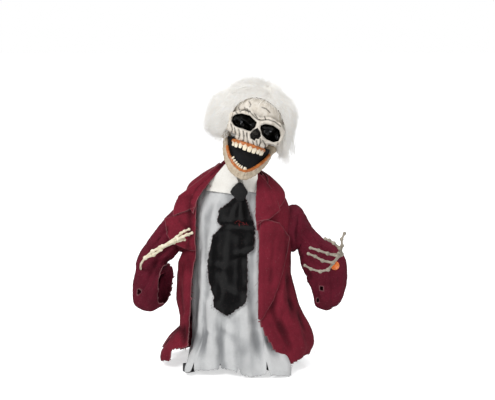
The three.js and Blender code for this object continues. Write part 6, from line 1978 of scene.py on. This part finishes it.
class Jaw:
    """The open lower jaw with its teeth."""

    SHUT = math.radians(-34.0)
    HINGE = 58.0
    ARM = {Side.RIGHT: (53.0, 0.88), Side.LEFT: (59.0, 1.3)}
    REACH = 96.0
    SLOPE = math.radians(51.0)
    EAR_RADIUS = 9.0
    EAR_INSIDE = 6.5
    EAR_OUTSIDE = 3.5
    # Place along X and depth of the grooves across the front
    GROOVES = ((-7.0, 0.9), (7.0, 0.9), (-20.0, 0.8), (21.0, 0.8))
    TOOTH_COUNT = 9
    PITCH = 1.3

    def point(self, t: Array) -> Array:
        """Place along the jaw from the figure's right hinge to its left."""
        (right, right_power), (left, left_power) = self.ARM[Side.RIGHT], self.ARM[Side.LEFT]
        is_right = smooth_step(np.cos(t), -0.25, 0.25)
        width, power = left + (right - left) * is_right, left_power + (right_power - left_power) * is_right
        run = self.REACH * np.abs(np.sin(t)) ** power
        x = -width * np.sign(np.cos(t)) * np.abs(np.cos(t)) ** power + 3.0 * np.sin(t)
        return np.stack([x, -run * math.cos(self.SLOPE), -run * math.sin(self.SLOPE)], axis=-1)

    def frames(self, t: Array) -> tuple[Array, Array, Array]:
        """Middle, outward and upward directions of the jaw's section."""
        step = 0.02
        tangent = self.point(np.minimum(t + step, math.pi)) - self.point(np.maximum(t - step, 0))
        tangent /= np.linalg.norm(tangent, axis=-1, keepdims=True)
        out = np.stack([-np.cos(t), -np.sin(t), 0 * t], axis=-1)
        out -= np.sum(out * tangent, axis=-1, keepdims=True) * tangent
        out /= np.linalg.norm(out, axis=-1, keepdims=True)
        return self.point(t), out, -np.cross(tangent, out)

    def shape(self, p: Array) -> Array:
        """Signed distance of the jaw bone."""
        t = np.linspace(0, math.pi, 19)
        middle, _, up = self.frames(t)
        chin = np.sin(t) ** 6
        high, low = middle + up * (2.8 * (1 - 0.3 * chin))[:, None], middle - up * (3.6 + 5.4 * chin)[:, None]
        radius = 4.8 - 0.3 * np.sin(t)
        bone = melt(chain(p, high, radius, 2.0), chain(p, low, radius, 2.0), 5.0)
        for side in Side:
            inside = side.value * self.HINGE - side.value * self.EAR_INSIDE
            outside = side.value * self.HINGE + side.value * self.EAR_OUTSIDE
            bone = melt(bone, capsule(p, (inside, 0, 0), (outside, 0, 0), self.EAR_RADIUS), 5.0)
        for x, depth in self.GROOVES:
            bone = (
                bone + depth * np.exp(-(((p[..., 0] - x) / 1.5) ** 2)) * smooth_step(-p[..., 1], 30.0, 48.0)
            )
        return carve(
            bone + 0.7 * rumple(p, 14.0, 101) + 0.45 * rumple(p, 5.0, 105), self.upper_teeth(p) - 1.2, 1.0
        )

    def upper_teeth(self, p: Array) -> Array:
        """Signed distance of the upper teeth as they stand when the jaw is shut, in the jaw's frame."""
        skull = placed(p, Matrix.Translation(HEAD.jaw) @ Matrix.Rotation(self.SHUT, 4, "X"))
        return UPPER_ROW.shape((skull - np.array(UPPER_PLACE)) * FLIP)

    def teeth_shape(self, p: Array) -> tuple[Array, Array]:
        """Signed distances of the gum and of the teeth."""
        t = np.linspace(math.pi * 0.12, math.pi * 0.88, 15)
        middle, out, up = self.frames(t)
        chin = np.sin(t) ** 6
        lift = 8.0 - 1.6 * chin
        gum = (
            chain(p, middle + up * lift[:, None] + out * 0.9, np.full(15, 3.6), 1.5)
            + 0.6 * rumple(p, 5.0, 107)
        )
        random = np.random.default_rng(9)
        teeth = np.full(p.shape[:-1], 1e3)
        for turn in np.linspace(0.82, 1.78, self.TOOTH_COUNT):
            where, outward, upward = (row[0] for row in self.frames(np.array([turn])))
            size = random.uniform(0.9, 1.08)
            root = where + upward * (7.0 + 1.6 * (1 - math.sin(turn) ** 6))
            tip = root + upward * 7.4 * size + outward * 0.4
            teeth = np.minimum(teeth, capsule(p, root, tip, 2.8 * size, 2.0 * size))
        return gum, teeth

    def build(self) -> None:
        """Makes the jaw and its teeth."""
        solid = Solid((-74, -78, -96), (74, 18, 18), self.PITCH, self.shape)
        points, faces = solid.surface()
        # Dark wash and painted shade in the hollows of the jaw
        wash = np.clip(
            0.9 * solid.hollows(points, 6.0) + 0.22 * np.clip(rumple(points, 14.0, 109), 0, 1), 0, 1
        )
        middle, out, _ = self.frames(np.linspace(0.25, math.pi - 0.25, 25))
        nearest = np.argmin(np.linalg.norm(points[:, None] - middle[None], axis=-1), axis=1)
        inner = smooth_step(-np.sum((points - middle[nearest]) * out[nearest], axis=-1), 0.5, 4.0)
        front = smooth_step(-points[:, 1], 12.0, 30.0)
        piece = make_piece(
            "jaw_bone", placed(points, HEAD.jaw_frame()), faces, "bone_aged",
            {"wash": wash, "gum": inner * front * 0.45}
        )
        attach(piece, "lower_jaw")
        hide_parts("jaw")
        teeth = Solid(
            (-64, -72, -84), (64, -4, 0), TOOTH_PITCH,
            lambda p: carve(melt(*self.teeth_shape(p), 1.0), self.upper_teeth(p) - 0.8, 0.5)
        )
        points, faces = teeth.surface()
        gum, enamel = self.teeth_shape(points)
        # Darker towards the gum: dark wash and painted shade
        wash = np.clip(0.5 - 0.12 * (gum - 1.0) + 0.25 * rumple(points, 4.0, 111), 0, 1)
        piece = make_piece(
            "lower_teeth_row", placed(points, HEAD.jaw_frame()), faces, "tooth_enamel",
            {"wash": wash, "gum": smooth_step(enamel - gum, -0.6, 0.9)},
        )
        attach(piece, "lower_jaw")
        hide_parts("lower_teeth")


# Hands


class Hand:
    """A skeletal hand as chains of bones.

    Each chain is a thickness and then joints, as shares of the hand's length from its wrist.
    """

    CHAINS = {
        Side.RIGHT: (
            (1.1, (0, 0, 0), (0.13, 0, 0.115), (0.26, -0.01, 0.19)),
            (1.0, (0, 0, 0), (0.15, -0.02, 0.06), (0.28, -0.01, 0.15)),
            (1.2, (0.25, 0, 0.165), (0.31, 0, 0.205)),
            (
                0.9, (0.28, -0.02, 0.19), (0.56, -0.03, 0.38), (0.63, -0.03, 0.445), (0.69, -0.02, 0.48),
                (0.77, 0, 0.51)
            ),
            (
                0.95, (0.28, -0.01, 0.18), (0.577, -0.06, 0.342), (0.665, -0.06, 0.391),
                (0.735, -0.05, 0.426), (0.82, -0.03, 0.45)
            ),
            (
                0.9, (0.28, 0.01, 0.17), (0.508, 0, 0.275), (0.57, 0, 0.302), (0.62, 0, 0.315),
                (0.69, 0.01, 0.322)
            ),
            (
                0.85, (0.28, 0.03, 0.18), (0.55, 0.05, 0.33), (0.64, 0.06, 0.365), (0.7, 0.06, 0.39),
                (0.76, 0.06, 0.4)
            )
        ),
        Side.LEFT: (
            (1.3, (0, 0.3, -0.28), (-0.06, 0.16, -0.24)),
            (
                1.0, (-0.03, 0.22, -0.2), (-0.08, 0, -0.05), (-0.22, -0.04, 0.08), (-0.33, -0.02, 0.15),
                (-0.43, 0.02, 0.18)
            ),
            (
                1.05, (-0.04, 0.22, -0.24), (-0.125, -0.02, -0.255), (-0.376, -0.08, -0.178),
                (-0.6, -0.06, -0.1), (-0.8, 0, -0.05)
            ),
            (
                1.05, (-0.04, 0.24, -0.28), (-0.23, -0.02, -0.43), (-0.5, -0.08, -0.36),
                (-0.68, -0.06, -0.255), (-0.85, 0, -0.2)
            ),
            (
                1.0, (-0.05, 0.24, -0.3), (-0.35, 0.0, -0.61), (-0.55, -0.03, -0.65), (-0.78, -0.02, -0.59),
                (-0.93, 0.03, -0.51)
            ),
            (1.0, (-0.02, 0.24, -0.22), (0.0, 0.1, -0.02), (-0.02, 0.04, 0.16), (0.05, 0.04, 0.31))
        )
    }
    WRIST = {Side.RIGHT: (-212.8, -100.4, 282.4), Side.LEFT: (240.4, -99.2, 310.6)}
    LENGTH = {Side.RIGHT: 132.0, Side.LEFT: 92.0}
    FINISH = {Side.RIGHT: ("bone_ivory", "bone_resin"), Side.LEFT: ("bone_grey", "bone_grey")}
    ROOM = 8.0
    PITCH = 1.0

    def __init__(self, side: Side) -> None:
        """Takes the side."""
        self.side = side
        wrist, length = np.array(self.WRIST[side]), self.LENGTH[side]
        self.chains = []
        for thick, *joints in self.CHAINS[side]:
            self.chains.append((thick, [wrist + length * np.array(joint) for joint in joints]))

    def shape(self, p: Array) -> Array:
        """Signed distance of all the bones."""
        total = np.full(p.shape[:-1], 1e3)
        for thick, joints in self.chains:
            for i, (a, b) in enumerate(zip(joints, joints[1:])):
                size = thick * (1 - 0.06 * i)
                bone = capsule(p, a, b, 3.0 * size, 2.7 * size)
                for end, radius in ((a, 4.7), (b, 4.6)):
                    bone = melt(bone, np.linalg.norm(p - end, axis=-1) - radius * size, 1.8)
                total = melt(total, bone, 0.8)
        return total + 0.3 * rumple(p, 6.0, 121)

    def build(self) -> None:
        """Makes the hand."""
        joints = np.concatenate([np.array(joints) for _, joints in self.chains])
        low, high = joints.min(axis=0) - self.ROOM, joints.max(axis=0) + self.ROOM
        solid = Solid(tuple(low), tuple(high), self.PITCH, self.shape)
        points, faces = solid.surface()
        # Dark wash and painted shade in the hollows between the bones
        wash = np.clip(
            0.9 * solid.hollows(points, 3.0) + 0.25 * np.clip(rumple(points, 9.0, 125), 0, 1), 0, 1
        )
        finish, slot = self.FINISH[self.side]
        piece = make_piece(f"hand_{self.side.name.lower()}_bones", points, faces, finish, {"wash": wash})
        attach(piece, f"arm_{self.side.name.lower()}")
        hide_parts(f"hand_{self.side.name.lower()}")


# Wig


class Wig:
    """The white fur wig: a puffed base covered in fine combed strands.

    The hairline and the open side below it are pixels of the photograph.
    """

    PARTS = (
        ("wig_fur_far_right", -120.0, -62.0), ("wig_fur_right", -62.0, -14.0), ("wig_fur_crown", -14.0, 36.0),
        ("wig_fur_left", 36.0, 120.0)
    )
    STRANDS_EACH = 4200
    HAIRLINE = (
        (222, 138), (225, 130.4), (231, 126.6), (231.6, 118), (235, 107.6), (239.6, 103), (245, 99.8),
        (250, 98), (255, 97.4), (261, 98.4), (267, 101), (273, 105.4), (278, 110), (281.6, 116.6), (284, 125),
        (284.6, 134), (282, 146)
    )
    FACE = (*HAIRLINE, (278, 175), (240, 190), (222, 170), (218, 141))
    # Root, tip and number of hairs of each stray lock, in the skull's frame
    LOCKS = (
        ((84, -12, -12), (101, -30, -60), 40), ((80, -16, -16), (92, -34, -52), 34),
        ((92, -4, 10), (108, -16, -34), 30), ((-78, -20, -36), (-64, -34, -60), 30),
        ((-98, -10, 0), (-108, -22, -36), 30), ((-60, -40, -10), (-62, -48, -46), 24),
        ((70, -30, 10), (84, -40, -36), 24), ((8, -40, 96), (30, -56, 106), 14)
    )
    # Lowest level of the base and, a little above it, of the fur
    BASE_CUT = -50.0
    FUR_CUT = -47.0
    STRAND_KINDS = 6
    PITCH = 2.5

    def shape(self, p: Array) -> Array:
        """Signed distance of the base, in the skull's frame."""
        base = melt(ellipsoid(p, (-14, 6, 36), (67, 84, 66)), ellipsoid(p, (38, 4, 32), (57, 76, 58)), 20.0)
        base = melt(base, ellipsoid(p, (-71, -12, -4), (37, 54, 41)), 20.0)
        base = melt(base, ellipsoid(p, (-74, 0, 24), (30, 44, 34)), 18.0)
        base = melt(base, ellipsoid(p, (80, 4, -8), (15, 40, 34)), 14.0)
        base = np.minimum(
            base, np.minimum(ellipsoid(p, (0, 8, 36), (73, 84, 66)), ellipsoid(p, (0, -26, 33), (66, 66, 55)))
        )
        opening = np.maximum(outline_gap(VIEW.pixel(placed(p, HEAD.skull())), self.FACE), p[..., 1] + 16.0)
        base = carve(base, opening, 3.0)
        base = carve(base, ellipsoid(p, (2, -24, -70), (54, 70, 34)), 6.0)
        base = np.maximum(base, self.BASE_CUT - p[..., 2])
        return base + 2.0 * rumple(p, 60.0, 131)

    def comb(self, p: Array, normal: Array) -> Array:
        """Direction of the fur: brushed from the parting outwards and down, a little off the base."""
        side = np.tanh((p[:, 0] - 8.0) / 26.0)
        flow = np.stack([0.75 * side, -0.25 * np.ones(len(p)), -0.35 - 0.5 * np.abs(side)], axis=1)
        flow[:, 2] += 0.5 * smooth_step(p[:, 2], 70.0, 108.0)
        flow -= normal * np.sum(flow * normal, axis=1, keepdims=True)
        whirl = np.stack([lattice(p / 30.0, 141 + k) for k in range(3)], axis=1)
        return normal * 0.15 + flow + whirl * 0.16

    def strands(self) -> bpy.types.Collection:
        """Makes the few soft strands that the fur repeats."""
        group = bpy.data.collections.new("wig_strands")
        random = np.random.default_rng(15)
        for index in range(self.STRAND_KINDS):
            t = np.linspace(0, 1, 5)
            bend, curl, length = random.uniform(2, 6), random.uniform(-2, 2), random.uniform(18, 28)
            path = np.stack([bend * t**2, curl * np.sin(2.6 * t), length * t], axis=1)
            points, faces = tube_mesh(path, np.linspace(0.4, 0.1, 5), 3)
            mesh = bpy.data.meshes.new(f"strand_{index}")
            mesh.from_pydata((points / METRE).tolist(), [], faces.tolist())
            group.objects.link(bpy.data.objects.new(f"strand_{index}", mesh))
        return group

    def fur_tree(self, group: bpy.types.Collection, density: float, seed: int) -> bpy.types.GeometryNodeTree:
        """Geometry Nodes tree that plants strands over a surface.

        Args:
            group: Collection of strands to choose from.
            density: Strands per square metre.
            seed: Chooses the places.

        Returns:
            The tree.
        """
        tree = bpy.data.node_groups.new(f"fur_{seed}", "GeometryNodeTree")
        tree.interface.new_socket("Geometry", in_out="INPUT", socket_type="NodeSocketGeometry")
        tree.interface.new_socket("Geometry", in_out="OUTPUT", socket_type="NodeSocketGeometry")
        start = add_node(tree, "NodeGroupInput")
        spread = add_node(
            tree, "GeometryNodeDistributePointsOnFaces",
            {"Mesh": start.outputs[0], "Density": density, "Seed": seed}
        )
        comb = add_node(tree, "GeometryNodeInputNamedAttribute", {"Name": "comb"}, data_type="FLOAT_VECTOR")
        aim = add_node(
            tree, "FunctionNodeAlignRotationToVector", {"Vector": comb.outputs["Attribute"]}, axis="Z"
        )
        spin = add_node(tree, "FunctionNodeRandomValue", {"Seed": seed + 1}, data_type="FLOAT_VECTOR")
        spin.inputs[0].default_value = (-0.2, -0.2, -math.pi)
        spin.inputs[1].default_value = (0.2, 0.2, math.pi)
        turn = add_node(
            tree, "FunctionNodeRotateRotation", {"Rotation": aim.outputs[0]}, rotation_space="LOCAL"
        )
        tree.links.new(spin.outputs[0], turn.inputs[1])
        size = add_node(tree, "FunctionNodeRandomValue", {"Seed": seed + 2}, data_type="FLOAT")
        size.inputs[2].default_value, size.inputs[3].default_value = 0.55, 1.15
        source = add_node(
            tree, "GeometryNodeCollectionInfo",
            {"Collection": group, "Separate Children": True, "Reset Children": True}
        )
        planted = add_node(
            tree, "GeometryNodeInstanceOnPoints",
            {
                "Points": spread.outputs[0], "Instance": source.outputs[0], "Pick Instance": True,
                "Rotation": turn.outputs[0], "Scale": size.outputs[1]
            }
        )
        real = add_node(tree, "GeometryNodeRealizeInstances", {"Geometry": planted.outputs[0]})
        painted = add_node(
            tree, "GeometryNodeSetMaterial", {"Geometry": real.outputs[0], "Material": material("white_fur")}
        )
        end = add_node(tree, "NodeGroupOutput")
        tree.links.new(painted.outputs[0], end.inputs[0])
        return tree

    def fur(
        self, name: str, points: Array, faces: Array, comb: Array, group: bpy.types.Collection, seed: int
    ) -> bpy.types.Object:
        """Makes one part of the fur as a plain mesh."""
        corners = points[faces]
        area = (
            np.linalg.norm(
                np.cross(corners[:, 2] - corners[:, 0], corners[:, 3] - corners[:, 1]), axis=1
            ).sum() / 2
        )
        soil = bpy.data.meshes.new(f"{name}_soil")
        soil.from_pydata((points / METRE).tolist(), [], faces.tolist())
        soil.attributes.new("comb", "FLOAT_VECTOR", "POINT").data.foreach_set(
            "vector", comb.astype(np.float32).ravel()
        )
        carrier = add_object(f"{name}_soil", soil)
        modifier = carrier.modifiers.new("fur", "NODES")
        modifier.node_group = self.fur_tree(group, self.STRANDS_EACH / (area / METRE**2), seed)
        mesh = bpy.data.meshes.new_from_object(carrier.evaluated_get(bpy.context.evaluated_depsgraph_get()))
        bpy.data.objects.remove(carrier)
        mesh.name = name
        mesh.shade_smooth()
        mesh.materials.clear()
        mesh.materials.append(material("white_fur"))
        piece = add_object(name, mesh)
        log.info("%s: %d faces", name, len(mesh.polygons))
        return piece

    def build(self) -> None:
        """Makes the base and its fur."""
        solid = Solid((-118, -104, -64), (104, 104, 116), self.PITCH, self.shape)
        local, faces = solid.surface()
        place = placed(local, HEAD.skull())
        base = make_piece("wig_base", place, faces, "fur_backing")
        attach(base, "head")
        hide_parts("wig")
        steps = np.eye(3)
        slope = np.stack([solid.shape(local + step) - solid.shape(local - step) for step in steps], axis=1)
        normal = slope / np.linalg.norm(slope, axis=1, keepdims=True)
        outer = np.sum(normal * (local - np.array([0, 0, 16.0])), axis=1) > 22.0
        outer &= local[:, 2] > self.FUR_CUT
        quads = faces[0]
        quads = quads[outer[quads].all(axis=1)]
        rotation = np.array(HEAD.skull())[:3, :3]
        comb = self.comb(local, normal) @ rotation.T
        group = self.strands()
        middle = local[quads].mean(axis=1)
        for seed, (name, low, high) in enumerate(self.PARTS):
            inside = (middle[:, 0] >= low) & (middle[:, 0] < high)
            piece = self.fur(name, place, quads[inside], comb, group, seed + 1)
            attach(piece, "head")
        self.tails()
        self.hairline()

    def tails(self) -> None:
        """Makes the long thin locks that stray from the wig's edge."""
        random = np.random.default_rng(21)
        paths: list[Array] = []
        for root, tip, count in self.LOCKS:
            for _ in range(count):
                a = np.array(root) + random.normal(0, 4, 3)
                b = np.array(tip) + random.normal(0, 5, 3)
                c = (a + b) / 2 + random.normal(0, 4, 3)
                paths.append(placed(np.stack([a, c, b]), HEAD.skull()))
        thread_piece("wig_tails", paths, 0.4, "white_fur", "head")

    def hairline(self) -> None:
        """Makes the dark stitched edge where the wig meets the forehead."""
        line = curve_through(
            np.array(self.HAIRLINE[3:-2], dtype=float), np.linspace(0, len(self.HAIRLINE) - 6, 60)
        )
        back = np.linalg.inv(np.array(HEAD.skull()))
        depths = np.arange(-120.0, 10.0, 1.0)
        path = []
        for pixel in line:
            ray = np.array([photo_point(pixel, depth) for depth in depths])
            local = ray @ back[:3, :3].T + back[:3, 3]
            path.append(ray[int(np.argmax(Skull().shape(local) < 0.4))])
        points, faces = tube_mesh(np.array(path), np.full(len(path), 0.8), 6)
        piece = make_piece("wig_edge_cord", points, faces, "brown_cord", uv=points[:, [0, 2]])
        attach(piece, "head")


# CAD nodes and stage

NODE_FINISHES: tuple[tuple[tuple[str, ...], str], ...] = (
    (("base_hub", "foot_cap", "battery_tray", "power_switch", "loudspeaker"), "black_moulding"),
    (("leg_",), "black_powder_coat"),
    (("arm_wire_right",), "bone_ivory"),
    (("arm_wire_left",), "bone_grey"),
    (("pole", "shoulder_bar", "neck_bracket", "neck_pivot_pin", "jaw_shaft", "neck_motor"), "drawn_steel"),
    (("chest_box", "battery_door", "neck_tube", "jaw_motor"), "grey_moulding"),
    (("neck_arm", "neck_pinion"), "nylon"),
    (("dry_cell",), "cell_jacket"),
    (("circuit_board",), "board_green"),
    (("eye_lamp",), "clear_lamp"),
    (("cuff_button",), "amber_plastic"),
)


def finish_nodes() -> None:
    """Gives every CAD node that stays its real finish."""
    for name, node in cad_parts.items():
        for starts, finish in NODE_FINISHES:
            if name.startswith(starts):
                for slot in node.material_slots:
                    slot.material = material(finish)


class Stage:
    """White glossy floor, white surroundings and soft studio light."""

    # Name, place in metres, size in metres and watts
    LAMPS = (
        ("key", (-1.5, -2.0, 2.4), 1.1, 66.0), ("fill", (1.9, -2.0, 1.1), 1.4, 12.0),
        ("top", (0.4, 0.5, 2.6), 1.4, 26.0)
    )

    def build(self) -> None:
        """Makes the floor, the world and the lamps."""
        finish, tree, shader, _ = new_material("white_gloss_floor")
        eye = add_node(tree, "ShaderNodeLightPath").outputs["Is Camera Ray"]
        fill(tree, shader, {
            "Base Color": (0.9, 0.9, 0.9, 1.0), "Roughness": 0.1, "Emission Color": (1.0, 1.0, 1.0, 1.0),
            "Emission Strength": ranged(tree, eye, 0.0, 1.0, 0.0, 0.6),
        })
        mesh = bpy.data.meshes.new("floor")
        mesh.from_pydata([(-30, -6, 0), (30, -6, 0), (30, 60, 0), (-30, 60, 0)], [], [(0, 1, 2, 3)])
        mesh.materials.append(finish)
        floor = add_object("floor", mesh)
        world = bpy.data.worlds.new("studio")
        bpy.context.scene.world = world
        world.use_nodes = True
        tree = world.node_tree
        tree.nodes.clear()
        ray = add_node(tree, "ShaderNodeLightPath")
        seen = add_node(tree, "ShaderNodeBackground", {"Color": (1.0, 1.0, 1.0, 1.0), "Strength": 1.0})
        light = add_node(tree, "ShaderNodeBackground", {"Color": (0.97, 0.98, 1.0, 1.0), "Strength": 0.52})
        both = add_node(
            tree, "ShaderNodeMixShader",
            {0: ray.outputs["Is Camera Ray"], 1: light.outputs[0], 2: seen.outputs[0]}
        )
        add_node(tree, "ShaderNodeOutputWorld", {"Surface": both.outputs[0]})
        for lamp in self.LAMPS:
            self.lamp(*lamp)

    @staticmethod
    def lamp(name: str, place: tuple[float, float, float], size: float, watts: float) -> None:
        """Makes one soft lamp that faces the figure."""
        data = bpy.data.lights.new(name, "AREA")
        data.size, data.energy = size, watts
        item = add_object(name, data)
        item.location = place
        item.rotation_euler = (Vector((0, 0, 0.35)) - Vector(place)).to_track_quat("-Z", "Y").to_euler()


def write_sizes() -> None:
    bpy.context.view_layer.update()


def main() -> None:
    """Builds the whole scene."""
    logging.basicConfig(level=logging.INFO, format="%(message)s")
    write_sizes()
    VIEW.make()
    bpy.context.scene.view_settings.view_transform = "Standard"
    Stage().build()
    finish_nodes()
    Coat().build()
    Shirt().build()
    Tie().build()
    for side in Side:
        Sleeve(side).build()
        Hand(side).build()
    Skull().build()
    Jaw().build()
    Wig().build()
    write_sizes()


if __name__ == "__main__":
    main()
